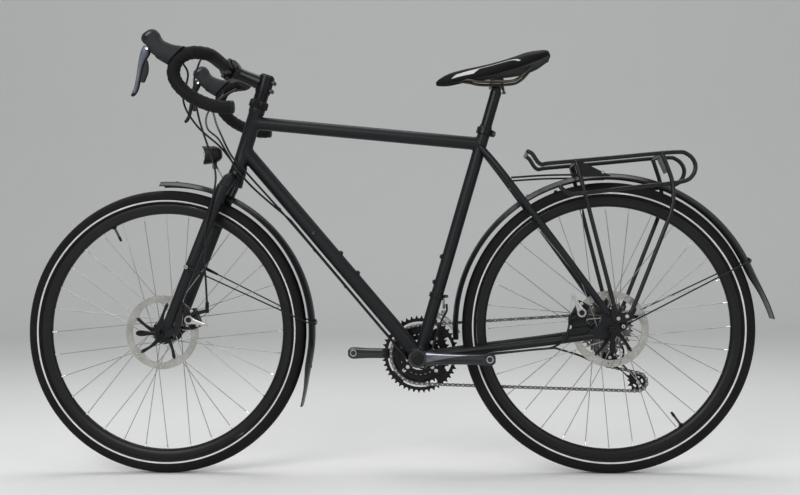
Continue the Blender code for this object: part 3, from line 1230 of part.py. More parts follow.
def make_mudguards():
    width = MUDGUARD_HALF_WIDTH
    radius = MUDGUARD_RADIUS
    front = [(88.5 + 8.67 * i, radius, width, 0.0115) for i in range(13)]
    front += [(197.0, radius + 0.001, width * 0.98, 0.008), (203.0, radius + 0.007, width * 0.9, 0.004),
              (209.0, radius + 0.015, width * 0.8, 0.002)]
    guard = mudguard(FRONT_AXLE, front)
    to_crown = CROWN - FRONT_AXLE
    way = to_crown.normalized()
    tab = rod(FRONT_AXLE + way * (radius - 0.0010), FRONT_AXLE + way * (to_crown.length - 0.0133),
              0.0065, sides=6)
    part("front_mudguard", fuse(guard, tab), "black_plastic")
    rear = [(-4.0 + 9.3 * i, radius, width, 0.0115) for i in range(18)]
    rear += [(161.0, radius + 0.0012, width, 0.0100), (169.0, radius + 0.0085, width * 0.90, 0.004),
             (177.5, REAR_FLAP_RADIUS / cos(radians(2.5)), width * 0.75, 0.0)]
    part("rear_mudguard", mudguard(REAR_AXLE, rear), "black_plastic")


def stay_wire(name, anchor, centre, angle, pivot_y, eye_length):
    """One bent wire from a bolt on one side, over the mudguard, to the bolt on the other."""
    angle = radians(angle)
    way = Vector((cos(angle), 0.0, sin(angle)))
    radius = MUDGUARD_RADIUS + 0.0030
    loop = [centre + way * (radius + lift) + Y_AXIS * w
            for w, lift in ((0.0275, -0.016), (0.0258, -0.007), (0.0160, -0.0010), (0.0, 0.0005))]
    anchor = Vector(anchor)
    start = anchor + Y_AXIS * pivot_y
    half = [start, start.lerp(loop[0], 0.5)] + loop
    other = [Vector((p.x, -p.y, p.z)) for p in reversed(half[:-1])]
    wire = tube(half + other, STAY_WIRE_RADIUS, 1)
    clips = []
    for side in (1.0, -1.0):
        start = Vector((anchor.x, side * pivot_y, anchor.z))
        target = loop[0].copy()
        target.y *= side
        end = start + (target - start).normalized() * eye_length
        clips.append(rod(start, end, 0.0040, 0.0032, sides=6))
        out = Y_AXIS * (side * 0.0055)
        clips.append(rod(start - out, start + out, 0.0060, sides=6))
    part(name, fuse(wire, *clips), "gloss_black")


def make_rack():
    """A tubular carrier: top loop with a sprung hook in front, pannier rails, four legs and struts.

    Points are given from the rear axle, the deck's from a point above it over the mudguard.
    """
    half = RACK_HALF_WIDTH
    deck_z = MUDGUARD_RADIUS + RACK_HEIGHT

    def deck(x, y, z):
        return from_rear(x, y, deck_z + z)

    stay = on_seatstay(0.0, 0.0) - on_seatstay(1.0, 0.0)
    hoop_rise = 0.0095
    above_dropout = deck(0.0, 0.0, hoop_rise) - on_seatstay(1.0, 0.0)
    hoop = above_dropout.z / stay.z * stay.x - above_dropout.x - RACK_HOOP_TO_STAY

    foot_y = REAR_OUT + GAP + RACK_FOOT_THICKNESS / 2.0
    foot_outline = [(-0.002, 0.0590), (-0.020, 0.0390), (-0.040, 0.0390), (-0.048, 0.0510),
                    (-0.060, 0.0490), (-0.048, 0.0230), (-0.026, 0.0140), (-0.010, 0.0130),
                    (0.002, 0.0310)]
    gusset = [(-0.008, -0.0535), (0.070, -0.0535), (0.078, -0.0155), (0.066, -0.0155)]
    tubes = []
    for side in (1.0, -1.0):
        y = side * half
        outer = y * 1.16
        foot = side * foot_y
        rail = [deck(hoop, y * 0.93, hoop_rise), deck(hoop - 0.010, y * 0.96, 0.0025),
                deck(hoop - 0.028, y, -0.0215), deck(hoop - 0.056, y, -0.0200),
                deck(-0.150, y, -0.0005),
                deck(-0.184, y, -0.0055), deck(-0.2015, y, -0.0285), deck(-0.1950, y * 1.03, -0.0555),
                deck(-0.165, y * 1.10, -0.0710), deck(0.060, outer, -0.0935),
                deck(0.092, outer, -0.0935), deck(0.112, outer, -0.0785)]
        tubes.append(tube(rail, RACK_TUBE, 1))
        tubes.append(tube([deck(0.074, y, -0.0170), deck(0.056, outer, -0.0915),
                           from_rear(-0.008, foot, 0.0510), from_rear(-0.014, foot, 0.0360)],
                          RACK_TUBE, 1))
        tubes.append(tube([deck(-0.126, y, -0.0025), deck(-0.1490, y * 1.14, -0.0715),
                           deck(-0.1490, foot * 0.97, -0.1065), deck(-0.1440, foot, -0.1365),
                           from_rear(-0.050, foot, 0.0460), from_rear(-0.042, foot, 0.0360)],
                          RACK_TUBE, 1))
        near, far = sorted((side * (REAR_OUT + GAP), side * (REAR_OUT + GAP + RACK_FOOT_THICKNESS)))
        tubes.append(plate(beside(REAR_AXLE, foot_outline), near, far))
        strut_y = side * 0.0500
        tubes.append(tube([deck(0.000, strut_y, -0.0495), deck(0.128, strut_y, -0.0475),
                           on_seatstay(0.2449, strut_y, 0.0132)], RACK_STRUT_RADIUS, 1))
        tubes.append(plate(beside(deck(0.0, 0.0, 0.0), gusset), *sorted((side * 0.0480, side * 0.0640))))
    for x, z, width in ((hoop, hoop_rise, half * 0.93), (0.074, -0.0175, half), (-0.126, -0.0025, half)):
        tubes.append(rod(deck(x, -width, z), deck(x, width, z), RACK_TUBE * 0.9, sides=6))
    light_plate = plate(beside(deck(0.0, 0.0, 0.0), [(-0.128, -0.0015), (-0.134, -0.0035),
                                                     (-0.152, -0.0415), (-0.146, -0.0435)]),
                        -0.030, 0.030)
    part("rack", fuse(tubes[0], *tubes[1:], light_plate), "gloss_black")


def make_lights():
    """Headlight on a fork-crown bracket: the lamp tilts between the bracket's two ears."""
    front = CROWN + Vector((HEAD_TUBE_RADIUS + 0.0066, 0.0, 0.0040))
    centre = front + Vector((0.0317, 0.0, 0.0637))
    way = Vector((cos(radians(-4.0)), 0.0, sin(radians(-4.0))))
    lamp = turned([(0.0, -0.0240), (0.0120, -0.0220), (0.0200, -0.0100), (0.0235, 0.0120),
                   (0.0235, 0.0220), (0.0, 0.0250)], centre, way, 16)
    pivot = centre + Vector((-0.006, 0.0, -0.0300))
    half = HEADLIGHT_EAR_HALF
    ear = rod(pivot - Y_AXIS * half, pivot + Y_AXIS * half, 0.0060, sides=10)
    neck = box(pivot + Vector((-0.005, -half, 0.0)), pivot + Vector((0.005, half, 0.015)))
    part("headlight", fuse(lamp, neck, ear), "black_plastic", pivot)
    arms = []
    for side in (1.0, -1.0):
        y_near, y_far = sorted((side * (half + GAP), side * (half + 0.0035)))
        arms.append(plate([(pivot.x - 0.006, pivot.z - 0.004), (pivot.x + 0.004, pivot.z - 0.006),
                           (pivot.x + 0.006, pivot.z + 0.003), (pivot.x - 0.002, pivot.z + 0.006),
                           (front.x + 0.006, front.z + 0.006), (front.x, front.z + 0.010),
                           (front.x, front.z - 0.006)], y_near, y_far))
    base = box(front - Vector((0.0008, half + 0.0035, 0.008)),
               front + Vector((0.0030, half + 0.0035, 0.012)))
    part("headlight_bracket", fuse(base, *arms), "gloss_black")


# Saddle

def make_saddle():
    """Seatpost with its clamp, the bent rail wire and the cover. Points are given from the clamp."""
    clamp = SADDLE_CLAMP

    def spot(x, y, z):
        return clamp + Vector((x, y, z))

    foot = along_seat(SEAT_TUBE_LENGTH - SEATPOST_INSERTED)
    neck = along_seat(SEAT_TUBE_LENGTH + SEATPOST_EXTENSION - 0.0072)
    collar = along_seat(SEAT_TUBE_LENGTH)
    post = rod(foot, neck, SEATPOST_RADIUS, sides=12)
    head = rod(spot(0.0, -0.0205, -0.010), spot(0.0, 0.0205, -0.010), 0.0130, sides=12)
    yoke = rod(neck - SEAT_UP * 0.020, spot(0.0, 0.0, -0.012), SEATPOST_RADIUS + 0.0008, 0.0115,
               sides=12)
    bolt = rod(spot(-0.022, -0.004, -0.026), spot(-0.014, -0.004, 0.004), 0.004, sides=6)
    half = [(-0.080, 0.0370, 0.0310), (-0.060, 0.0330, 0.0110), (-0.034, 0.0225, 0.0000),
            (0.034, 0.0220, 0.0000), (0.066, 0.0200, 0.0060), (0.104, 0.0120, 0.0110),
            (0.120, 0.0040, 0.0110)]
    left = smooth([spot(x, y, z) for x, y, z in half], 2)
    right = smooth([spot(x, -y, z) for x, y, z in half], 2)
    rail = left + list(reversed(right))
    body = fuse(post, head, yoke, bolt)
    part("seatpost", cut(body, tube(rail, SADDLE_RAIL_RADIUS + GAP, 1)), "gloss_black", collar)
    part("saddle_rails", tube(rail, SADDLE_RAIL_RADIUS, 1), "dark_steel", collar)
    stations = ((-0.1285, 0.0590, 0.0300, 0.0070), (-0.1210, 0.0620, 0.0500, 0.0130),
                (-0.1000, 0.0560, 0.0690, 0.0200), (-0.0710, 0.0490, 0.0720, 0.0240),
                (-0.0410, 0.0410, 0.0600, 0.0235), (-0.0060, 0.0340, 0.0440, 0.0215),
                (0.0340, 0.0270, 0.0310, 0.0200), (0.0790, 0.0200, 0.0230, 0.0190),
                (0.1190, 0.0130, 0.0200, 0.0180), (0.1400, 0.0080, 0.0150, 0.0140),
                (0.1470, 0.0050, 0.0070, 0.0060))
    section = ((-0.90, -0.75), (-1.0, -0.35), (-0.93, 0.15), (-0.70, 0.55), (-0.36, 0.72),
               (-0.08, 0.62), (0.08, 0.62), (0.36, 0.72), (0.70, 0.55), (0.93, 0.15), (1.0, -0.35),
               (0.90, -0.75), (0.55, -0.55), (0.0, -0.45), (-0.55, -0.55))
    cover = loft([[spot(x, half_width * s, z + depth * lift) for s, lift in section]
                  for x, z, half_width, depth in stations])
    part("saddle", cut(cover, tube(rail, SADDLE_RAIL_RADIUS + GAP, 1)), "saddle_cover", collar)


# Cables

def cable(name, *stretches):
    """A cable along smooth stretches, with a straight run between each two."""
    points = [point for stretch in stretches for point in smooth(stretch, 2)]
    part(name, tube(points, CABLE_RADIUS, 2), "black_plastic")


def around_shell(degrees, y):
    """A point of a cable that bends round the bottom bracket shell."""
    angle = radians(degrees)
    reach = SHELL_RADIUS + CABLE_RADIUS + 0.0008
    return BB + Vector((cos(angle), 0.0, sin(angle))) * reach + Y_AXIS * y


def below_down_tube(distance, y):
    """A point under the down tube, at a distance from the bottom bracket."""
    way = (along_head(DOWN_TUBE_ON_HEAD) - BB).normalized()
    under = Vector((way.z, 0.0, -way.x))
    return BB + way * distance + under * (DOWN_TUBE_RADIUS + CABLE_RADIUS + 0.0055) + Y_AXIS * y


def make_cables():
    """Housings from the levers to the calipers and derailleurs; their points are as chosen."""
    side = BAR_HALF_WIDTH
    cable("front_brake_cable",
          [(0.948, side - 0.045, 0.972), (0.970, 0.125, 0.940), (0.975, 0.070, 0.870),
           (0.955, 0.050, 0.790), (0.938, 0.0560, 0.730), (0.945, 0.0608, 0.670),
           (0.961, 0.0630, 0.600), (0.965, 0.0669, 0.530), (0.960, 0.0726, 0.470),
           (0.957, 0.0740, 0.4000)])
    cable("rear_brake_cable",
          [(0.948, -side + 0.045, 0.972), (0.985, -0.120, 0.930), (0.965, -0.050, 0.880),
           (0.938, 0.000, 0.835), (0.905, 0.0290, 0.778), (0.870, 0.0310, 0.738),
           below_down_tube(0.500, 0.022)],
          [below_down_tube(0.380, 0.013), below_down_tube(0.070, 0.012), around_shell(-40.0, 0.012),
           around_shell(-85.0, 0.013), (0.400, 0.0280, 0.2700), (0.362, 0.0385, 0.2800),
           (0.300, 0.0450, 0.2880)],
          [(0.175, 0.0570, 0.3020), (0.135, 0.0690, 0.3080), (0.1080, 0.0800, 0.3300),
           (0.0965, 0.0850, 0.3700), (0.0953, 0.0860, 0.4290)])
    cable("rear_shift_cable",
          [(0.975, -side + 0.055, 0.955), (1.000, -0.110, 0.905), (0.985, -0.050, 0.858),
           (0.948, -0.012, 0.826), (0.916, 0.0190, 0.782), (0.890, 0.0305, 0.742),
           (0.850, 0.0290, 0.696), below_down_tube(0.470, 0.012)],
          [below_down_tube(0.380, 0.004), below_down_tube(0.070, 0.004), around_shell(-40.0, 0.004),
           around_shell(-72.0, 0.004), (0.440, -0.0010, 0.2530), (0.395, -0.0240, 0.2690),
           (0.340, -0.0400, 0.2800)],
          [(0.120, -0.0640, 0.2950), (0.060, -0.0700, 0.2760), (0.014, -0.0740, 0.2540),
           (-0.020, -0.0755, 0.2500), (-0.043, -0.0775, 0.2620), (-0.050, -0.0800, 0.2870),
           (-0.038, -0.0840, 0.3100), (-0.0190, -0.0870, 0.3190)])
    cable("front_shift_cable",
          [(0.975, side - 0.055, 0.955), (1.000, 0.110, 0.900), (0.985, 0.045, 0.850),
           (0.938, 0.008, 0.803), (0.911, -0.0180, 0.763), (0.886, -0.0300, 0.726),
           (0.840, -0.0280, 0.680), below_down_tube(0.460, -0.011)],
          [below_down_tube(0.380, -0.005), below_down_tube(0.070, -0.005),
           around_shell(-40.0, -0.005), around_shell(-90.0, -0.0050), (0.4300, -0.0020, 0.2660),
           (0.4245, -0.0030, 0.2800), (0.4160, -0.0130, 0.3200), (0.3980, -0.0240, 0.3680),
           (0.3858, -0.0310, 0.3900), (0.3858, -0.0310, 0.4080)])


make_frame()
make_seat_collar()
make_chain()
wheel_parts("front", FRONT_AXLE, 0.0215, -0.0340, FRONT_HUB_HALF, FRONT_ROTOR_Y)
wheel_parts("rear", REAR_AXLE, 0.0340, -0.0210, REAR_HUB_HALF, REAR_ROTOR_Y)
make_axle("front_axle", FRONT_AXLE, FRONT_HUB_HALF, FRONT_OUT, FRONT_OUT + 0.0125)
make_axle("rear_axle", REAR_AXLE, REAR_HUB_HALF, REAR_OUT, REAR_OUT + 0.0125)
make_quick_release("front_quick_release_lever", FRONT_AXLE, FRONT_OUT + 0.0125, X_AXIS)
make_quick_release("rear_quick_release_lever", REAR_AXLE, REAR_OUT + 0.0125, -Z_AXIS)
make_cassette()
make_cranks()
make_rear_derailleur()
make_front_derailleur()
make_fork()
make_stem()
HALVES = make_bar()
make_controls(1.0, "left", HALVES[1.0])
make_controls(-1.0, "right", HALVES[-1.0])
make_caliper("front_brake_caliper", "front_caliper_arm", FRONT_CALIPER, FRONT_CALIPER_ANGLE,
             FRONT_CALIPER_INSET, FRONT_ROTOR_Y, radians(197.0), FRONT_ROTOR_Y + 0.0345,
             [(0.000, 0.015), (0.018, 0.040), (0.0195, 0.010), (0.016, -0.015)])
make_caliper("rear_brake_caliper", "rear_caliper_arm", REAR_CALIPER, REAR_CALIPER_ANGLE,
             REAR_CALIPER_INSET, REAR_ROTOR_Y, radians(64.0), REAR_ROTOR_Y + 0.0337,
             [(-0.015, -0.0327), (0.021, -0.0363), (0.029, -0.004), (-0.009, 0.011)])
make_mudguards()
stay_wire("front_mudguard_stay", FORK_EYELET, FRONT_AXLE, 177.0, FRONT_OUT + 0.0175, 0.045)
stay_wire("rear_mudguard_stay", from_rear(-0.0265, 0.0, 0.0070), REAR_AXLE, 155.0, REAR_OUT + 0.0058,
          0.020)
make_rack()
make_lights()
make_saddle()
make_cables()
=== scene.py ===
"""A touring bicycle with drop bars, disc brakes, mudguards and a rear rack, seen from its left.

Lengths are in metres. Shapes are worked out in the bicycle's own directions: x runs forward from
the rear axle, y to the rider's left, z up from the ground. piece() shifts them to the part's
origin, which lies midway along the bicycle.
"""

import bpy
import numpy as np
from mathutils import Matrix, Vector
from mathutils.geometry import delaunay_2d_cdt


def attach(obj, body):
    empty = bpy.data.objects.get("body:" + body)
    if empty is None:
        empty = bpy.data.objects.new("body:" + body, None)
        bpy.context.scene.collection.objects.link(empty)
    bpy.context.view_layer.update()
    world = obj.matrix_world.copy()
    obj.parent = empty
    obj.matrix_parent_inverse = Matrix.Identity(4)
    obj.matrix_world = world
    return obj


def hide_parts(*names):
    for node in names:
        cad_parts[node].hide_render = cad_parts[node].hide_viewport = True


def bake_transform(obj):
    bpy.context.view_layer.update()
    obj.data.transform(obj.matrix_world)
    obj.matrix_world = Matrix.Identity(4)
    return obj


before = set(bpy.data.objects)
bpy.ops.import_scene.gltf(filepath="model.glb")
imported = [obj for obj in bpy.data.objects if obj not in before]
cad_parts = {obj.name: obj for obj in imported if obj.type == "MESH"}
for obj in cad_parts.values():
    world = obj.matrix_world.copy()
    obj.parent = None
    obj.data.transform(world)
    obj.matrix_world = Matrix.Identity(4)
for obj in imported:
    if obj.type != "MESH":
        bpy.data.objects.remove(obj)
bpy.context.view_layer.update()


def vec(x, y, z):
    """A point or a direction from its three coordinates."""
    return np.array([x, y, z])


def floats(numbers):
    """Numbers or points as an array."""
    return np.asarray(numbers, float)


def unit(vectors):
    """Vectors brought to length 1, one or many at once."""
    return vectors / np.linalg.norm(vectors, axis=-1, keepdims=True)


def at_angle(angle):
    """The direction in the bicycle's own plane at an angle (in radians) up from the front."""
    return np.array([np.cos(angle), 0.0, np.sin(angle)])


def quarter_on(way):
    """The direction in the bicycle's plane that is a quarter turn on from the given one."""
    return np.array([-way[2], 0.0, way[0]])


# Sizes that the pieces share with the part
X, Y, Z = np.eye(3)
SIDES = (1.0, -1.0)  # the rider's left and right
OVER = vec(1.0, -1.0, 1.0)  # times a point: the same point on the other side
WHEELBASE = 1.078
AXLE_Z = 0.349
ORIGIN_X = 0.5185
BB = vec(0.4532196, 0.0, 0.283)
REAR_AXLE = vec(0.0, 0.0, AXLE_Z)
FRONT_AXLE = vec(WHEELBASE, 0.0, AXLE_Z)
HEAD_ANGLE = np.radians(72.0)
SEAT_ANGLE = np.radians(73.0)
STEER_UP = vec(-np.cos(HEAD_ANGLE), 0.0, np.sin(HEAD_ANGLE))
SEAT_UP = vec(-np.cos(SEAT_ANGLE), 0.0, np.sin(SEAT_ANGLE))
HEAD_FOOT_Z = 0.742
FRONT_DISC_Y, REAR_DISC_Y = 0.0395, 0.0523
FORK_OUT = 0.0563
DROPOUT_IN, DROPOUT_OUT, SLOT_R = 0.0678, 0.0738, 0.005
HEAD_FOOT = vec(WHEELBASE - 0.052 / np.sin(HEAD_ANGLE) - (HEAD_FOOT_Z - AXLE_Z) / np.tan(HEAD_ANGLE),
    0.0, HEAD_FOOT_Z)


def along_head(distance):
    """The point of the steering axis so far above the foot of the head tube."""
    return HEAD_FOOT + STEER_UP * distance


def along_seat(distance):
    """The point of the seat tube's axis so far above the bottom bracket."""
    return BB + SEAT_UP * distance


# Surfaces: every shape is a pair of arrays, points and faces

def bent(values, power):
    """Values raised to a power, their signs kept."""
    return np.sign(values) * np.abs(values) ** power


def full_turn(count):
    """Angles that cut a whole turn into so many equal steps, from 0 to where the last one starts."""
    return np.linspace(0.0, 2 * np.pi, count, endpoint=False)


def ring_on(turn, first, second):
    """Unit circles spanned by two directions, or by two rows of directions, at these angles."""
    return np.cos(turn)[:, None] * first[..., None, :] + np.sin(turn)[:, None] * second[..., None, :]


def polar(centre, reach, turn):
    """Points (x, z) at a reach and an angle from a centre, which may be (x, z) or (x, y, z)."""
    return np.stack([centre[0] + reach * np.cos(turn), centre[-1] + reach * np.sin(turn)], axis=-1)


def spaced(start, way, distances):
    """Points at these distances from a start along a way."""
    return start + way * np.reshape(distances, (-1, 1))


def grid(rows, columns, along=False):
    """Quads of a grid of points in row order; each row closes on itself, and the rows can too."""
    last_row = rows if along else rows - 1
    i, j = np.meshgrid(np.arange(last_row), np.arange(columns), indexing="ij")
    i, j = i.ravel(), j.ravel()
    below, beside = (i + 1) % rows, (j + 1) % columns
    return np.stack([i * columns + j, i * columns + beside, below * columns + beside, below * columns
        + j], axis=1)


def outward(points, faces):
    """The faces turned round if the volume that they enclose comes out negative."""
    a, b, c, d = (points[faces[:, k]] for k in range(4))
    volume = np.sum(a * np.cross(b, c)) + np.sum(a * np.cross(c, d))
    return points, (faces if volume > 0 else faces[:, ::-1])


def capped(points, rows, columns):
    """A grid closed around, with one more point at the middle of each end row."""
    quads = grid(rows, columns)
    first = points[:columns].mean(axis=0)
    final = points[-columns:].mean(axis=0)
    k = np.arange(columns)
    after = (k + 1) % columns
    base = rows * columns
    start = np.stack([after, k, np.full(columns, base), np.full(columns, base)], axis=1)
    row = (rows - 1) * columns
    end = np.stack([row + k, row + after, np.full(columns, base + 1), np.full(columns, base + 1)],
        axis=1)
    return outward(np.vstack([points, first, final]), np.vstack([quads, start, end]))


def together(*shapes):
    """Several shapes as one pair of arrays."""
    points, faces, base = [], [], 0
    for shape_points, shape_faces in shapes:
        points.append(shape_points)
        faces.append(shape_faces + base)
        base += len(shape_points)
    return np.vstack(points), np.vstack(faces)


def square_to(direction):
    """Two directions square to one another and to the given one."""
    direction = unit(floats(direction))
    helper = Z if abs(direction[2]) < 0.9 else Y
    first = unit(np.cross(direction, helper))
    return first, np.cross(direction, first)


def smooth_path(knots, steps):
    """A Catmull-Rom curve through the knots, each span cut into so many steps."""
    knots = floats(knots)
    padded = np.vstack([2 * knots[0] - knots[1], knots, 2 * knots[-1] - knots[-2]])
    t = (np.arange(steps) / steps)[None, :, None]
    a, b, c, d = (padded[k:len(knots) - 1 + k, None, :] for k in range(4))
    spans = 0.5 * (2 * b + (c - a) * t + (2 * a - 5 * b + 4 * c - d) * t ** 2 + (3 * b - a - 3 * c + d)
        * t ** 3)
    return np.vstack([spans.reshape(-1, knots.shape[1]), knots[-1]])


def distances_along(path):
    """How far along a path each of its points lies."""
    return np.concatenate([[0.0], np.cumsum(np.linalg.norm(np.diff(path, axis=0), axis=1))])


def evenly(path, count):
    """The path's points put at equal distances along it."""
    reach = distances_along(path)
    wanted = np.linspace(0.0, reach[-1], count)
    return np.stack([np.interp(wanted, reach, path[:, k]) for k in range(path.shape[1])], axis=1)


def frames_along(path):
    """At each point of a path: its direction and two cross directions that don't twist."""
    ahead = unit(np.gradient(path, axis=0))
    first = np.zeros_like(path)
    first[0] = square_to(ahead[0])[0]
    for k in range(1, len(path)):
        carried = first[k - 1] - ahead[k] * (first[k - 1] @ ahead[k])
        first[k] = carried / np.linalg.norm(carried)
    return ahead, first, np.cross(ahead, first)


def swept(path, radius, sides, flat=1.0, domed=0.0):
    """A round bar along a path: point = path + radius * (cos turn * a + flat * sin turn * b).

    The radius may differ at each point. Where domed is over 0, the last rows shrink like a
    quarter circle over that length, so that the ends are rounded.
    """
    path = floats(path)
    radius = np.broadcast_to(floats(radius), (len(path),)).copy()
    if domed > 0.0:
        ahead = unit(np.gradient(path, axis=0))
        bow = np.radians([0.0, 30.0, 55.0, 75.0])
        back, shrink = domed * np.sin(bow), np.cos(bow)
        start = path[0] - ahead[0] * back[::-1, None]
        end = path[-1] + ahead[-1] * back[:, None]
        path = np.vstack([start, path[1:-1], end])
        radius = np.concatenate([radius[0] * shrink[::-1], radius[1:-1], radius[-1] * shrink])
    _, first, second = frames_along(path)
    ring = ring_on(full_turn(sides), first, flat * second)
    points = (path[:, None, :] + radius[:, None, None] * ring).reshape(-1, 3)
    return capped(points, len(path), sides)


def rod(start, end, radius, end_radius=None, *, sides, bevel=0.0004):
    """A straight round bar or cone whose two rims are bevelled."""
    start, end = floats(start), floats(end)
    far = radius if end_radius is None else end_radius
    length = np.linalg.norm(end - start)
    bevel = min(bevel, radius * 0.4, far * 0.4, length * 0.3)
    share = np.array([0.0, bevel / length, 1.0 - bevel / length, 1.0])
    radii = np.array([radius - bevel, radius, far, far - bevel])
    ring = ring_on(full_turn(sides), *square_to(end - start))
    centre = spaced(start, end - start, share)
    points = (centre[:, None, :] + radii[:, None, None] * ring[None]).reshape(-1, 3)
    return capped(points, 4, sides)


def lathe(profile, centre, axis, segments, closed=True):
    """A profile of (radius, distance along the axis) turned about the axis.

    A closed profile makes a ring; the two ends of an open one are closed flat to the axis.
    """
    profile = floats(profile)
    axis = unit(floats(axis))
    ring = ring_on(full_turn(segments), *square_to(axis))
    points = (floats(centre) + profile[:, 1, None, None] * axis + profile[:, 0, None, None]
        * ring[None]).reshape(-1, 3)
    if closed:
        return outward(points, grid(len(profile), segments, along=True))
    return capped(points, len(profile), segments)


def both_ends(half):
    """A profile whose first half mirrors the given one: the same radii, distances negated."""
    return [(radius, -along) for radius, along in half[::-1]] + half


def turned(profile, centre, axis, segments):
    """A solid turned from an open profile, closed flat at both ends."""
    return lathe(profile, centre, axis, segments, closed=False)


def rounded(outline, radius, steps):
    """A closed outline whose corners are cut back and bent in a quarter curve of that size."""
    outline = floats(outline)
    before, after = np.roll(outline, 1, axis=0), np.roll(outline, -1, axis=0)
    reach = np.minimum(radius, 0.45 * np.minimum(np.linalg.norm(outline - before, axis=1),
        np.linalg.norm(after - outline, axis=1)))
    enter = outline + unit(before - outline) * reach[:, None]
    leave = outline + unit(after - outline) * reach[:, None]
    t = np.linspace(0.0, 1.0, steps + 1)[None, :, None]
    bend = (1 - t) ** 2 * enter[:, None] + 2 * t * (1 - t) * outline[:, None] + t ** 2 * leave[:, None]
    return bend.reshape(-1, 2)


def slab(outline, y_low, y_high, bevel, holes=()):
    """A plate of an (x, z) outline between two depths, with bevelled rims and round or shaped holes.

    The flat sides are triangulated between the outline and its holes.
    """
    loops = [floats(outline)] + [floats(hole) for hole in holes]
    flat, edges, base, inward = [], [], 0, []
    for number, loop in enumerate(loops):
        area = 0.5 * np.sum(loop[:, 0] * np.roll(loop[:, 1], -1) - np.roll(loop[:, 0], -1) * loop[:, 1])
        if (area < 0) == (number == 0):
            loop = loop[::-1]
        tangent = unit(np.roll(loop, -1, axis=0) - np.roll(loop, 1, axis=0) + 1e-12)
        inset = np.stack([-tangent[:, 1], tangent[:, 0]], axis=1) * bevel
        flat.append(loop)
        inward.append(loop + inset)
        k = np.arange(len(loop))
        edges.append(np.stack([base + k, base + (k + 1) % len(loop)], axis=1))
        base += len(loop)
    rim, top = np.vstack(flat), np.vstack(inward)
    edges = np.vstack(edges)
    found = delaunay_2d_cdt([Vector(p) for p in top], [tuple(e) for e in edges.tolist()], [], 0, 1e-9)
    spots = np.array(found[0]).reshape(-1, 2)
    nearest = np.argmin(np.sum((spots[:, None] - top[None]) ** 2, axis=2), axis=1)
    inside = nearest[np.array([triangle for triangle in found[2] if len(triangle) == 3])]
    middle = top[inside].mean(axis=1)
    keep = within(middle, inward[0])
    for hole in inward[1:]:
        keep &= ~within(middle, hole)
    inside = inside[keep]
    count = len(rim)

    def level(xz, y):
        return np.stack([xz[:, 0], np.full(len(xz), y), xz[:, 1]], axis=1)

    points = np.vstack([level(top, y_low), level(rim, y_low + bevel), level(rim, y_high - bevel),
        level(top, y_high)])
    walls = [np.stack([edges[:, 0] + row * count, edges[:, 0] + (row + 1) * count, edges[:, 1]
        + (row + 1) * count, edges[:, 1] + row * count], axis=1) for row in range(3)]
    low = np.concatenate([inside, inside[:, 2:]], axis=1)
    high = np.concatenate([inside[:, ::-1], inside[:, :1]], axis=1) + 3 * count
    return outward(points, np.vstack(walls + [low, high]))


def within(spots, loop):
    """Which spots lie inside a loop: a ray from such a spot crosses it an odd number of times."""
    x, z = loop[:, 0][None], loop[:, 1][None]
    x2, z2 = np.roll(x, -1), np.roll(z, -1)
    px, pz = spots[:, :1], spots[:, 1:]
    spans = (z > pz) != (z2 > pz)
    reach = x + (pz - z) * (x2 - x) / np.where(z2 == z, 1e-12, z2 - z)
    return np.sum(spans & (px < reach), axis=1) % 2 == 1


def side_slab(side, outline, near, far, bevel, holes=()):
    """A slab on one side of the bicycle, between two distances from its middle plane."""
    return slab(outline, *sorted((side * near, side * far)), bevel, holes)


def ring_points(radius, centre, count):
    """A round hole or rim as a loop of (x, z) points."""
    return polar(centre, radius, full_turn(count))


def sections(centres, width_way, height_way, half_width, half_height, power, sides):
    """A skin over rounded sections: point = centre + a * width * |cos|^p + b * height * |sin|^p."""
    turn = full_turn(sides)
    c, s = bent(np.cos(turn), power), bent(np.sin(turn), power)
    centres = floats(centres)
    width_way = np.broadcast_to(width_way, centres.shape)
    height_way = np.broadcast_to(height_way, centres.shape)
    points = (centres[:, None] + width_way[:, None] * (np.asarray(half_width)[:, None, None]
        * c[None, :, None]) + height_way[:, None] * (np.asarray(half_height)[:, None, None]
        * s[None, :, None]))
    return capped(points.reshape(-1, 3), len(centres), sides)


def bolt(centre, axis, radius, height, socket=0.5):
    """A round bolt head with a round socket sunk in it, drawn as one turned profile."""
    hole = radius * socket
    rim = min(0.0004, height * 0.3)
    return turned([(hole, height * 0.4), (hole, height - rim * 0.3), (radius - rim, height),
        (radius, height - rim), (radius, 0.0)], centre, axis, 18)


# Finishes: every one is made of nodes on the object's own coordinates

def nodes_of(name):
    """A new material with its nodes, its links and its shader."""
    made = bpy.data.materials.new(name)
    made.use_nodes = True
    return made, made.node_tree.nodes, made.node_tree.links, made.node_tree.nodes["Principled BSDF"]


def noise(nodes, links, source, scale, detail):
    """Noise over the object's coordinates, as a value about 0.5."""
    made = nodes.new("ShaderNodeTexNoise")
    made.inputs["Scale"].default_value = scale
    made.inputs["Detail"].default_value = detail
    links.new(source, made.inputs["Vector"])
    return made.outputs["Fac"]


def spread(nodes, links, value, low, high, to_low, to_high):
    """A value stretched from one range to another, held at its ends."""
    made = nodes.new("ShaderNodeMapRange")
    for slot_name, number in (("From Min", low), ("From Max", high), ("To Min", to_low),
            ("To Max", to_high)):
        made.inputs[slot_name].default_value = number
    links.new(value, made.inputs["Value"])
    return made.outputs["Result"]


def blended(nodes, links, share, first, second):
    """A colour between two, by a share; a colour may also be another node's output."""
    made = nodes.new("ShaderNodeMix")
    made.data_type = "RGBA"
    links.new(share, made.inputs["Factor"])
    for slot_name, colour in (("A", first), ("B", second)):
        target = [s for s in made.inputs if s.name == slot_name and s.type == "RGBA"][0]
        if isinstance(colour, bpy.types.NodeSocket):
            links.new(colour, target)
        else:
            target.default_value = (*colour, 1.0)
    return [s for s in made.outputs if s.type == "RGBA"][0]


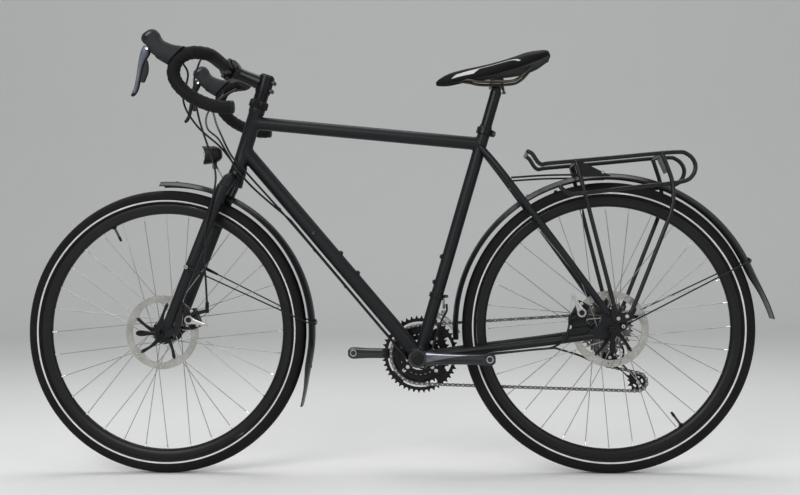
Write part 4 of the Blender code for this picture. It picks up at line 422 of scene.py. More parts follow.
def bumped(nodes, links, height, strength, distance):
    """A surface direction that leans with a height, for grain too fine to model."""
    made = nodes.new("ShaderNodeBump")
    made.inputs["Strength"].default_value = strength
    made.inputs["Distance"].default_value = distance
    links.new(height, made.inputs["Height"])
    return made.outputs["Normal"]


def finish(name, dark, light, rough, *, grain, strength, metallic=0.0, patch=9.0, depth=0.00004,
        coat=0.0, coat_rough=0.15, specular=0.5, dust=0.0, sheen=0.0):
    """A surface whose colour drifts between two shades in soft patches, with a fine grain.

    rough is a pair that the roughness drifts between. Dust lightens upward faces a little.
    """
    made, nodes, links, shader = nodes_of(name)
    source = nodes.new("ShaderNodeTexCoord").outputs["Object"]
    wide = noise(nodes, links, source, patch, 4.0)
    fine = noise(nodes, links, source, grain, 2.0)
    share = spread(nodes, links, wide, 0.32, 0.68, 0.0, 1.0)
    colour = blended(nodes, links, share, dark, light)
    if dust > 0.0:
        facing = nodes.new("ShaderNodeSeparateXYZ")
        links.new(nodes.new("ShaderNodeNewGeometry").outputs["Normal"], facing.inputs["Vector"])
        up = spread(nodes, links, facing.outputs["Z"], 0.3, 1.0, 0.0, dust)
        speck = nodes.new("ShaderNodeMath")
        speck.operation = "MULTIPLY"
        links.new(up, speck.inputs[0])
        links.new(noise(nodes, links, source, 60.0, 5.0), speck.inputs[1])
        colour = blended(nodes, links, speck.outputs["Value"], colour, (0.3, 0.28, 0.25))
    links.new(colour, shader.inputs["Base Color"])
    links.new(spread(nodes, links, fine, 0.35, 0.65, rough[0], rough[1]), shader.inputs["Roughness"])
    shader.inputs["Metallic"].default_value = metallic
    shader.inputs["Specular IOR Level"].default_value = specular
    shader.inputs["Coat Weight"].default_value = coat
    shader.inputs["Coat Roughness"].default_value = coat_rough
    if sheen > 0.0:
        shader.inputs["Sheen Weight"].default_value = sheen
        shader.inputs["Sheen Roughness"].default_value = 0.4
    links.new(bumped(nodes, links, fine, strength, depth), shader.inputs["Normal"])
    return made


def turned_metal(name, centre, dark, light, rough):
    """Metal brushed in circles about a wheel's axle, with faint heat-tinted bands."""
    made, nodes, links, shader = nodes_of(name)
    source = nodes.new("ShaderNodeTexCoord").outputs["Object"]
    mapping = nodes.new("ShaderNodeMapping")
    mapping.inputs["Location"].default_value = (ORIGIN_X - centre[0], 0.0, -centre[2])
    links.new(source, mapping.inputs["Vector"])
    split = nodes.new("ShaderNodeSeparateXYZ")
    links.new(mapping.outputs["Vector"], split.inputs["Vector"])
    across = nodes.new("ShaderNodeCombineXYZ")
    links.new(split.outputs["X"], across.inputs["X"])
    links.new(split.outputs["Z"], across.inputs["Y"])
    reach = nodes.new("ShaderNodeVectorMath")
    reach.operation = "LENGTH"
    links.new(across.outputs["Vector"], reach.inputs[0])
    lines = nodes.new("ShaderNodeTexNoise")
    lines.noise_dimensions = "1D"
    lines.inputs["Scale"].default_value = 2600.0
    links.new(reach.outputs["Value"], lines.inputs["W"])
    wide = noise(nodes, links, source, 30.0, 4.0)
    colour = blended(nodes, links, spread(nodes, links, wide, 0.35, 0.65, 0.0, 1.0), dark, light)
    links.new(colour, shader.inputs["Base Color"])
    links.new(spread(nodes, links, lines.outputs["Fac"], 0.3, 0.7, rough[0], rough[1]),
        shader.inputs["Roughness"])
    shader.inputs["Metallic"].default_value = 1.0
    shader.inputs["Anisotropic"].default_value = 0.4
    links.new(bumped(nodes, links, lines.outputs["Fac"], 0.25, 0.00003), shader.inputs["Normal"])
    return made


PAINT = finish("frame_paint", (0.0034, 0.0042, 0.0054), (0.0052, 0.0062, 0.0076), (0.4, 0.5),
    grain=900.0, depth=0.00003, strength=0.25, specular=0.26, dust=0.05)
ANODISED = finish("black_anodised", (0.0022, 0.0022, 0.0032), (0.004, 0.004, 0.0056), (0.26, 0.36),
    grain=1500.0, strength=0.12, coat=0.04, coat_rough=0.22, specular=0.22)
BLACK_ALLOY = finish("black_alloy", (0.0032, 0.0032, 0.0035), (0.0062, 0.0062, 0.0066), (0.32, 0.45),
    grain=1200.0, strength=0.2, specular=0.26)
PLASTIC = finish("black_plastic", (0.0036, 0.0038, 0.0043), (0.006, 0.0062, 0.0068), (0.42, 0.55),
    grain=1400.0, strength=0.3, specular=0.24)
GUARD_SKIN = finish("mudguard_skin", (0.0032, 0.004, 0.0064), (0.0054, 0.0064, 0.0092), (0.28, 0.38),
    grain=500.0, strength=0.1, coat=0.1, coat_rough=0.25, specular=0.3, dust=0.06)
RACK_COAT = finish("rack_powder_coat", (0.0028, 0.003, 0.0034), (0.0048, 0.005, 0.0056), (0.26, 0.36),
    grain=700.0, strength=0.25, coat=0.12, coat_rough=0.22, specular=0.28, dust=0.05)
TREAD = finish("tyre_rubber", (0.005, 0.005, 0.0052), (0.0088, 0.0086, 0.0083), (0.7, 0.85),
    patch=14.0, grain=900.0, depth=0.0001, strength=0.5, specular=0.16, dust=0.1)
REFLEX = finish("reflex_band", (0.5, 0.5, 0.49), (0.66, 0.66, 0.64), (0.45, 0.6), patch=40.0,
    grain=2200.0, depth=0.00005, strength=0.4)
HOOD = finish("hood_rubber", (0.0098, 0.0112, 0.0138), (0.015, 0.0168, 0.02), (0.58, 0.7), patch=30.0,
    grain=1600.0, depth=0.00012, strength=0.5, specular=0.26, dust=0.08)
TAPE = finish("bar_tape_foam", (0.003, 0.003, 0.0033), (0.0056, 0.0056, 0.006), (0.62, 0.76),
    patch=25.0, grain=1000.0, depth=0.0002, strength=0.6, specular=0.18, sheen=0.02)
LEVER = finish("lever_blue_grey", (0.064, 0.073, 0.098), (0.09, 0.102, 0.13), (0.34, 0.44),
    metallic=0.45, patch=35.0, grain=1800.0, strength=0.12, coat=0.15, coat_rough=0.2)
SILVER = finish("cast_silver", (0.42, 0.42, 0.42), (0.56, 0.56, 0.54), (0.28, 0.4), metallic=1.0,
    patch=50.0, grain=1500.0, strength=0.25)
STEEL = finish("bright_steel", (0.5, 0.5, 0.49), (0.66, 0.66, 0.64), (0.2, 0.32), metallic=1.0,
    patch=60.0, grain=2500.0, strength=0.1)
SPOKE_STEEL = finish("spoke_steel", (0.3, 0.3, 0.3), (0.42, 0.42, 0.41), (0.26, 0.36), metallic=1.0,
    patch=25.0, grain=2500.0, strength=0.05)
DARK_STEEL = finish("dark_steel", (0.04, 0.039, 0.037), (0.095, 0.091, 0.085), (0.3, 0.48),
    metallic=0.9, patch=120.0, grain=1600.0, strength=0.25)
CHAIN_STEEL = finish("oiled_chain_steel", (0.085, 0.083, 0.079), (0.22, 0.21, 0.198), (0.24, 0.42),
    metallic=0.95, patch=220.0, grain=1500.0, strength=0.2)
CRANK = finish("polished_grey_crank", (0.01, 0.011, 0.014), (0.018, 0.019, 0.024), (0.18, 0.28),
    metallic=0.5, patch=22.0, grain=2200.0, strength=0.08, coat=0.4, coat_rough=0.1)
# Painted highlight: a lighter, shinier metal for the strip on the crank's outer face where the sky's
# reflection on its chamfer shows
CRANK_PAINTED_HIGHLIGHT = finish("crank_painted_highlight", (0.105, 0.11, 0.132), (0.175, 0.18, 0.205), (0.14, 0.24),
    metallic=0.9, patch=26.0, grain=2200.0, strength=0.06)
BRONZE = finish("dark_bronze_rail", (0.04, 0.035, 0.026), (0.078, 0.067, 0.05), (0.28, 0.4),
    metallic=0.85, patch=60.0, grain=1500.0, strength=0.1)
COVER = finish("saddle_cover", (0.002, 0.002, 0.0025), (0.0036, 0.0036, 0.0042), (0.52, 0.64),
    patch=20.0, grain=1100.0, depth=0.00018, strength=0.45, specular=0.12)
COVER_WHITE = finish("saddle_white_panel", (0.42, 0.42, 0.43), (0.54, 0.54, 0.54), (0.35, 0.48),
    patch=25.0, grain=1100.0, depth=0.00018, strength=0.4)
HOUSING = finish("cable_housing", (0.0034, 0.0034, 0.0037), (0.0058, 0.0058, 0.0062), (0.26, 0.36),
    patch=30.0, grain=1500.0, strength=0.1, specular=0.3)
LAMP_MIRROR = finish("lamp_reflector", (0.75, 0.75, 0.76), (0.88, 0.88, 0.88), (0.06, 0.12),
    metallic=1.0, patch=80.0, grain=2000.0, strength=0.05)


def clear_lens():
    """A clear plastic whose roughness and surface ripple a little."""
    made, nodes, links, shader = nodes_of("clear_lens")
    source = nodes.new("ShaderNodeTexCoord").outputs["Object"]
    ripple = noise(nodes, links, source, 240.0, 2.0)
    links.new(spread(nodes, links, ripple, 0.3, 0.7, 0.02, 0.07), shader.inputs["Roughness"])
    shader.inputs["Base Color"].default_value = (0.9, 0.93, 0.95, 1.0)
    shader.inputs["Transmission Weight"].default_value = 0.9
    shader.inputs["IOR"].default_value = 1.49
    links.new(bumped(nodes, links, ripple, 0.2, 0.0002), shader.inputs["Normal"])
    return made


LENS = clear_lens()
DISC = {end: turned_metal(end + "_disc_steel", axle, (0.36, 0.355, 0.33), (0.5, 0.49, 0.46),
    (0.24, 0.42)) for end, axle in (("front", FRONT_AXLE), ("rear", REAR_AXLE))}


# Objects

def placed(name, data):
    """A new object in the scene."""
    made = bpy.data.objects.new(name, data)
    bpy.context.scene.collection.objects.link(made)
    return made


def piece(name, layers, body, nodes=(), crease=38.0):
    """Make one object from layers, each a finish and its shapes.

    It rides on a body, if one is given, and stands for nodes of the part.
    """
    finishes = list(dict.fromkeys(material for material, *_ in layers))
    joined = [(material, together(*shapes)) for material, *shapes in layers]
    points, faces = together(*[shape for _, shape in joined])
    points = points - X * ORIGIN_X
    which = np.concatenate([np.full(len(shape[1]), finishes.index(material))
        for material, shape in joined])
    repeated = np.roll(faces, -1, axis=1) == faces
    sizes = 4 - repeated.sum(axis=1)
    loops = faces[~repeated]
    mesh = bpy.data.meshes.new(name)
    mesh.vertices.add(len(points))
    mesh.vertices.foreach_set("co", points.astype(np.float32).ravel())
    mesh.loops.add(len(loops))
    mesh.loops.foreach_set("vertex_index", loops.astype(np.int32))
    mesh.polygons.add(len(faces))
    mesh.polygons.foreach_set("loop_start",
        np.concatenate([[0], np.cumsum(sizes)[:-1]]).astype(np.int32))
    mesh.polygons.foreach_set("material_index", which.astype(np.int32))
    for material in finishes:
        mesh.materials.append(material)
    mesh.update(calc_edges=True)
    mesh.validate()
    mesh.shade_smooth()
    mesh.set_sharp_from_angle(angle=np.radians(crease))
    made = placed(name, mesh)
    if body:
        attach(made, body)
    if nodes:
        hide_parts(*([nodes] if isinstance(nodes, str) else nodes))
    return made


# Wheels

TYRE_MIDDLE_R, TYRE_HALF, TYRE_OUT, TYRE_IN = 0.3314, 0.0183, 0.0172, 0.0208
TREAD_BLOCKS, TREAD_LEAN = 160, 330.0
SPOKES_PER_SIDE = 16
FLANGE_HOLE_R, SPOKE_BED_R = 0.0265, 0.2925


def tyre_half_width(w):
    """The casing's y at an angle from the crown: half width * |sin w|^0.92, with the sign of sin w."""
    return TYRE_HALF * bent(np.sin(w), 0.92)


def tyre(centre):
    """Casing and tread: the section is an oval whose lower half is drawn in to the rim's beads.

    At angle w from the crown y is tyre_half_width(w) and r = middle + height * cos w. The tread
    stands out in slanting blocks: a groove is cut where |sin(blocks * turn + lean * y)| is high,
    and two fine grooves run beside the rib in the middle.
    """
    around, across = 8 * TREAD_BLOCKS, 30
    turn, w = np.meshgrid(full_turn(around), np.linspace(-2.58, 2.58, across), indexing="ij")
    y = tyre_half_width(w)
    r = TYRE_MIDDLE_R + np.where(np.cos(w) > 0, TYRE_OUT, TYRE_IN) * np.cos(w)
    crown = np.clip(1.0 - (np.abs(w) / 1.02) ** 8, 0.0, 1.0)
    wave = np.sin(turn * TREAD_BLOCKS + TREAD_LEAN * y)
    groove = np.clip((np.abs(wave) - 0.3) / 0.25, 0.0, 1.0)
    centre_rib = np.clip((0.0042 - np.abs(y)) / 0.0008, 0.0, 1.0)
    line = np.clip((np.abs(np.abs(y) - 0.005) - 0.0005) / 0.0004, 0.0, 1.0)
    cut = crown * (1.0 - np.maximum(centre_rib, groove) * line)
    r = r - 0.0009 * cut * np.clip(np.cos(w) * 2.0, 0.0, 1.0)
    points = np.stack([centre[0] + r * np.cos(turn), y, centre[2] + r * np.sin(turn)], axis=-1)
    return outward(points.reshape(-1, 3), grid(around, across, along=True))


def reflex_band(centre, side):
    """The pale band on a sidewall: a thin ring that follows the casing's oval."""
    w = side * np.array([1.93, 2.02, 2.11, 2.11, 2.02, 1.93])
    out = np.array([0.00012, 0.00022, 0.00012, -0.0006, -0.0006, -0.0006])
    y = tyre_half_width(w)
    r = TYRE_MIDDLE_R + TYRE_IN * np.cos(w)
    away = unit(np.stack([y / TYRE_HALF ** 2, (r - TYRE_MIDDLE_R) / TYRE_IN ** 2], axis=1))
    profile = np.stack([r + away[:, 1] * out, y + away[:, 0] * out], axis=1)
    return lathe(profile, centre, Y, 240)


def rim(centre):
    """A deep rim: rounded spoke bed, sloping flanks and straight walls up to the tyre."""
    half = [(0.2902, 0.0), (0.2905, 0.003), (0.2925, 0.0065), (0.2962, 0.0092), (0.301, 0.0108),
        (0.306, 0.0116), (0.3118, 0.0119), (0.3134, 0.0116), (0.3135, 0.0104), (0.3133, 0.0096)]
    other = [(r, -y) for r, y in half[:0:-1]]
    return lathe(half + other, centre, Y, 240)


def lacing(left_flange, right_flange):
    """Hub and rim ends of 32 spokes that cross three times, as arrays with one row a spoke."""
    k = np.arange(SPOKES_PER_SIDE)
    step = 2 * np.pi / SPOKES_PER_SIDE
    hub, rim_end = [], []
    for flange, shift in ((left_flange, 0.0), (right_flange, 0.5)):
        angle = (k + shift) * step
        lean = np.where(k % 2 == 0, 3.0, -3.0) * step
        out = np.where(k % 2 == 0, 0.0026, -0.0026)
        hub.append(np.stack([FLANGE_HOLE_R * np.cos(angle), flange + out, FLANGE_HOLE_R
            * np.sin(angle)], axis=1))
        rim_end.append(np.stack([SPOKE_BED_R * np.cos(angle + lean), np.full(SPOKES_PER_SIDE,
            0.02 * flange), SPOKE_BED_R * np.sin(angle + lean)], axis=1))
    return np.vstack(hub), np.vstack(rim_end)


def bars_between(starts, ends, radii, shares, sides):
    """Many thin round bars at once: each is rings at shares of its length, capped at both ends."""
    ahead = unit(ends - starts)
    first = unit(np.cross(ahead, Y))
    second = np.cross(ahead, first)
    ring = ring_on(full_turn(sides), first, second)
    spots = starts[:, None] + (ends - starts)[:, None] * np.reshape(shares, (-1, 1))
    points = spots[:, :, None] + np.reshape(radii, (-1, 1, 1)) * ring[:, None]
    return together(*[capped(bar.reshape(-1, 3), len(shares), sides) for bar in points])


def spokes(centre, left_flange, right_flange):
    """Spokes with their heads on the flanges, and the nipples that draw them to the rim."""
    hub, rim_end = lacing(left_flange, right_flange)
    length = np.linalg.norm(rim_end - hub, axis=1)[:, None]
    way = (rim_end - hub) / length
    wires = bars_between(hub + centre - way * 0.0016, rim_end + centre - way * 0.004,
        [0.0011, 0.0012, 0.001, 0.001], [0.0, 0.02, 0.04, 1.0], 6)
    flange = np.repeat([left_flange, right_flange], SPOKES_PER_SIDE)
    across = np.sign(hub[:, 1] - flange)[:, None] * Y
    middle = hub * vec(1.0, 0.0, 1.0) + flange[:, None] * Y
    heads = bars_between(middle - across * 0.0034 + centre + way * 1e-7, middle + across * 0.0034
        + centre, [0.0019, 0.0019, 0.0011, 0.0011], [0.0, 0.14, 0.2, 1.0], 6)
    nipples = bars_between(rim_end + centre - way * 0.0125, rim_end + centre, [0.0014, 0.0018, 0.0018,
        0.0021, 0.0021], [0.0, 0.05, 0.72, 0.75, 1.0], 8)
    return wires, heads, nipples


def hub_profile(left, right, left_end, right_end, disc_y):
    """Shell with two rounded flanges and the disc's seat, as an open profile about the axle."""
    f = 0.0305
    return [(0.0098, right_end), (0.011, right_end + 0.001), (0.012, right - 0.0055),
        (0.0225, right - 0.003), (f - 0.001, right - 0.002), (f, right - 0.001), (f, right + 0.001),
        (f - 0.001, right + 0.002), (0.0225, right + 0.0026), (0.0155, right + 0.006),
        (0.0125, right + 0.013), (0.012, 0.5 * (left + right)), (0.0125, left - 0.013),
        (0.0155, left - 0.006), (0.0225, left - 0.0026), (f - 0.001, left - 0.002), (f, left - 0.001),
        (f, left + 0.001), (f - 0.001, left + 0.002), (0.0225, left + 0.003), (0.0205, disc_y - 0.003),
        (0.0205, disc_y - 0.0012), (0.015, disc_y - 0.0012), (0.015, disc_y + 0.003),
        (0.0115, disc_y + 0.004), (0.0105, left_end)]


def disc(centre, y, start):
    """Brake disc: a drilled steel track with a scalloped inner edge, on a black five-armed carrier."""
    half = 0.0009
    turn = full_turn(220)
    wave = 0.5 + 0.5 * np.cos(5 * (turn - start))
    holes = [polar(centre, 0.0735 - 0.0055 * wave ** 3, turn)]
    columns = 36
    for number in range(columns):
        angle = start + 2 * np.pi * number / columns
        kind = number % 3
        for row, size in ((0.0768, 0.0014), (0.0812, 0.0015), (0.0856, 0.0014)):
            sweep = angle + (row - 0.0768) * 9.0 + (0.05 if kind == 1 else 0.0)
            if row == 0.0812 or kind != 2:
                holes.append(ring_points(size, polar(centre, row, sweep), 8))
    track = slab(ring_points(0.0899, centre, 160), y - half, y + half, 0.00015, holes)
    arms = []
    for arm in range(5):
        angle = start + 2 * np.pi * arm / 5
        path = [(0.0165, -0.3), (0.03, -0.22), (0.048, -0.1), (0.062, -0.02), (0.07, 0.0)]
        spine = smooth_path([centre + Y * y + r * at_angle(angle + a) for r, a in path], 5)
        out = unit(np.gradient(spine, axis=0))
        wide = np.interp(np.arange(len(spine)), [0, 10, len(spine) - 1], [0.0065, 0.0034, 0.005])
        arms.append(sections(spine, np.cross(out, Y), Y, wide, np.full(len(spine), 0.0008), 0.5, 16))
        arms.append(rod(spine[-1] - Y * 0.0012, spine[-1] + Y * 0.0012, 0.0026, sides=14, bevel=0.0002))
    boss = lathe(both_ends([(0.0222, 0.0006), (0.0215, 0.0013), (0.0155, 0.0013)]), centre + Y * y, Y,
        60)
    ring = lathe([(0.011, 0.0014), (0.0185, 0.0014), (0.019, 0.0019), (0.019, 0.0026),
        (0.0184, 0.0031), (0.014, 0.0031), (0.0135, 0.0024), (0.011, 0.0024)], centre + Y * y, Y, 48)
    lugs = [rod(*(centre + 0.0192 * at_angle(a) + Y * (y + end) for end in (0.0016, 0.0029)), 0.0011,
        sides=8, bevel=0.0002) for a in full_turn(16)]
    return track, together(boss, ring, *arms, *lugs)


def valve(centre, angle):
    """The tyre's valve stem with its nut and cap, standing inwards from the rim."""
    way = at_angle(angle)
    return (rod(centre + way * 0.2915, centre + way * 0.262, 0.003, sides=14),
        together(rod(centre + way * 0.29, centre + way * 0.2872, 0.0062, sides=6),
        rod(centre + way * 0.264, centre + way * 0.252, 0.0036, 0.003, sides=12)))


def make_wheel(end, centre, left, right, left_end, right_end, disc_y, disc_start, valve_angle):
    """Tyre, rim, spokes, hub shell and brake disc.

    The hub's flanges are at left and right, the ends of its shell at left_end and right_end.
    """
    body = end + "_wheel_body"
    piece(end + "_tyre_casing", [(TREAD, tyre(centre)), (REFLEX, reflex_band(centre, 1.0)),
        (REFLEX, reflex_band(centre, -1.0))], body, end + "_tyre", 30.0)
    stem, fittings = valve(centre, valve_angle)
    piece(end + "_rim_hoop", [(BLACK_ALLOY, rim(centre)), (DARK_STEEL, stem), (PLASTIC, fittings)],
        body, end + "_rim")
    wires, heads, nipples = spokes(centre, left, right)
    shell = turned(hub_profile(left, right, left_end, right_end, disc_y), centre, Y, 64)
    piece(end + "_spokes", [(SPOKE_STEEL, wires), (SPOKE_STEEL, heads), (STEEL, nipples)], body,
        end + "_hub_and_spokes")
    piece(end + "_hub_shell", [(ANODISED, shell)], body)
    track, carrier = disc(centre, disc_y, disc_start)
    piece(end + "_disc_track", [(DISC[end], track)], body, end + "_rotor", 30.0)
    piece(end + "_disc_carrier", [(BLACK_ALLOY, carrier)], body)


make_wheel("front", FRONT_AXLE, left=0.0215, right=-0.034, left_end=0.0455, right_end=-0.0455,
    disc_y=FRONT_DISC_Y, disc_start=0.5, valve_angle=1.1)
make_wheel("rear", REAR_AXLE, left=0.034, right=-0.021, left_end=0.063, right_end=-0.026,
    disc_y=REAR_DISC_Y, disc_start=0.2, valve_angle=-2.2)


def quick_release(name, nodes, centre, out_y, way, body, axle_name, axle_body, half):
    """A curved cam lever with a flat thumb end on a round barrel, the axle's nuts and its far nut."""
    way = floats(way)
    across = np.cross(way, Y)
    middle = centre + Y * (out_y + 0.0125 + 0.0045)
    barrel = rod(middle - across * 0.0078, middle + across * 0.0078, 0.0069, sides=32, bevel=0.001)
    knots = smooth_path([(0.0, 0.0, 0.0058, 0.0042), (0.01, 0.0014, 0.005, 0.0034),
        (0.022, 0.0024, 0.0052, 0.0028), (0.036, 0.001, 0.007, 0.0024), (0.048, -0.0022, 0.0066,
        0.0021), (0.0555, -0.0048, 0.0034, 0.0014)], 6)
    spine = middle + knots[:, :1] * way + knots[:, 1:2] * Y
    blade = sections(spine, across, Y, knots[:, 2], knots[:, 3], 0.75, 20)
    piece(name, [(ANODISED, barrel, blade)], body, nodes)
    pivot = out_y + 0.0125
    cam = turned([(0.0086, out_y + 0.0003), (0.0088, out_y + 0.0014), (0.0084, out_y + 0.004),
        (0.0066, pivot - 0.004)], centre, Y, 40)
    nut = turned([(0.003, -out_y - 0.0134), (0.006, -out_y - 0.0124), (0.0084, -out_y - 0.0104),
        (0.0088, -out_y - 0.008), (0.0084, -out_y - 0.006), (0.0088, -out_y - 0.0045),
        (0.0088, -out_y - 0.0008), (0.0083, -out_y - 0.0003)], centre, Y, 40)
    shaft = rod(centre - Y * (out_y + 0.002), centre + Y * (out_y + 0.002), 0.0047, sides=20)
    locknuts = [turned([(0.0072, side * (half - 0.0003)), (0.0085, side * (half - 0.0012)),
        (0.006, side * (half - 0.0036))], centre, Y, 24) for side in SIDES]
    piece(axle_name + "_fittings", [(DARK_STEEL, shaft, cam, nut, *locknuts)], axle_body, axle_name)


quick_release("front_quick_release", "front_quick_release_lever", FRONT_AXLE, FORK_OUT, X,
    "front_quick_release_body", "front_axle", "steering_body", 0.05)
quick_release("rear_quick_release", "rear_quick_release_lever", REAR_AXLE, DROPOUT_OUT, -Z,
    "rear_quick_release_body", "rear_axle", "frame_body", 0.0675)


# Frame and fork

def reach_to_wall(starts, way, foot, axis, radius, inner):
    """How far along a way each start lies from a tube's wall.

    With q the offset from the tube's axis and both vectors taken square to that axis, the wall is
    where |q + t way|^2 = radius^2. Lines that pass beside the tube stop level with its axis.
    """
    axis = unit(floats(axis))
    offset = starts - foot
    q = offset - (offset @ axis)[:, None] * axis
    d = way - (way @ axis) * axis
    a, b, c = d @ d, q @ d, np.sum(q * q, axis=1) - radius * radius
    root = np.sqrt(np.maximum(b * b - a * c, 0.0))
    return (-b + root) / a if inner else (-b - root) / a


def mitred_tube(start, end, radius, start_wall, end_wall=None):
    """A tube whose ends follow the walls of the tubes that it meets, each with a weld fillet.

    A wall is (foot, axis, radius). Near an end the radius grows by weld * (1 - x / run)^2, and
    the end itself is sunk into the wall by 0.6 mm.
    """
    way = unit(end - start)
    ring = ring_on(full_turn(48), *square_to(way))
    weld, run, sunk = 0.0022, 0.0075, 0.0006

    def fillet(wall, sign):
        rows = []
        for share in np.linspace(0.0, 1.0, 7):
            skin = start + ring * (radius + weld * (1.0 - share) ** 2)
            reach = reach_to_wall(skin, way, *wall, inner=sign < 0) + sign * (sunk - run * share)
            rows.append(skin + way * reach[:, None])
        return rows[::-sign]

    near = fillet(start_wall, -1)
    far = [end + ring * radius] if end_wall is None else fillet(end_wall, 1)
    share = np.linspace(0.0, 1.0, 8)[1:-1, None, None]
    middle = near[-1][None] * (1 - share) + far[0][None] * share
    points = np.concatenate([np.stack(near), middle, np.stack(far)])
    return capped(points.reshape(-1, 3), *points.shape[:2])


def stay_path(knots, side, steps=10):
    """A smooth line through knots given for the left side, on either side."""
    return smooth_path(floats(knots) * vec(1.0, side, 1.0), steps)


DOWN_ON_HEAD, TOP_ON_HEAD, TOP_ON_SEAT = 0.054, 0.1255, 0.5375
HEAD_LENGTH, SEAT_LENGTH = 0.163, 0.583
HEAD_R, SEAT_R, TOP_R, DOWN_R, SHELL_R = 0.018, 0.015, 0.0159, 0.0178, 0.0205
CROWN = along_head(-0.026)
DOWN_WAY = unit(along_head(DOWN_ON_HEAD) - BB)
DOWN_UP = quarter_on(DOWN_WAY)
SEAT_FRONT = -quarter_on(SEAT_UP)


def rear_dropout(side):
    """A plate with rounded corners, a slot for the axle, eyelets and, on the right, the hanger."""
    outline = [(0.06, 0.3305), (0.05, 0.347), (0.024, 0.36), (0.019, 0.393), (0.002, 0.399),
        (-0.006, 0.379), (-0.021, 0.38), (-0.034, 0.367), (-0.034, 0.349), (-0.018, 0.34)]
    roof = polar(REAR_AXLE, SLOT_R, np.linspace(0.0, np.pi, 12))
    holes = [ring_points(0.0026, (0.0095, 0.384), 12)]
    if side < 0:
        outline = rounded(outline + [(-0.0165, 0.322), (-0.012, 0.3108), (0.0, 0.3105),
            (0.0045, 0.318), (0.0045, 0.3305), (0.03, 0.3255)], 0.006, 5)
        floor = polar((0.0, 0.338), SLOT_R, np.linspace(np.pi, 2 * np.pi, 12))
        holes = [np.vstack([roof, floor]), ring_points(0.0038, (-0.006, 0.319), 14)] + holes
    else:
        outline = rounded(outline + [(-0.012, 0.3305)], 0.006, 5)
        lower = rounded([(0.005, 0.3291), (0.012, 0.329), (0.03, 0.326), (0.06, 0.3305)], 0.003,
            3)[4:-5]
        outline = np.vstack([outline, [(-0.005, 0.3298)], roof[::-1], [(0.005, 0.3291)], lower])
    return side_slab(side, outline, DROPOUT_IN, DROPOUT_OUT, 0.0007, holes)


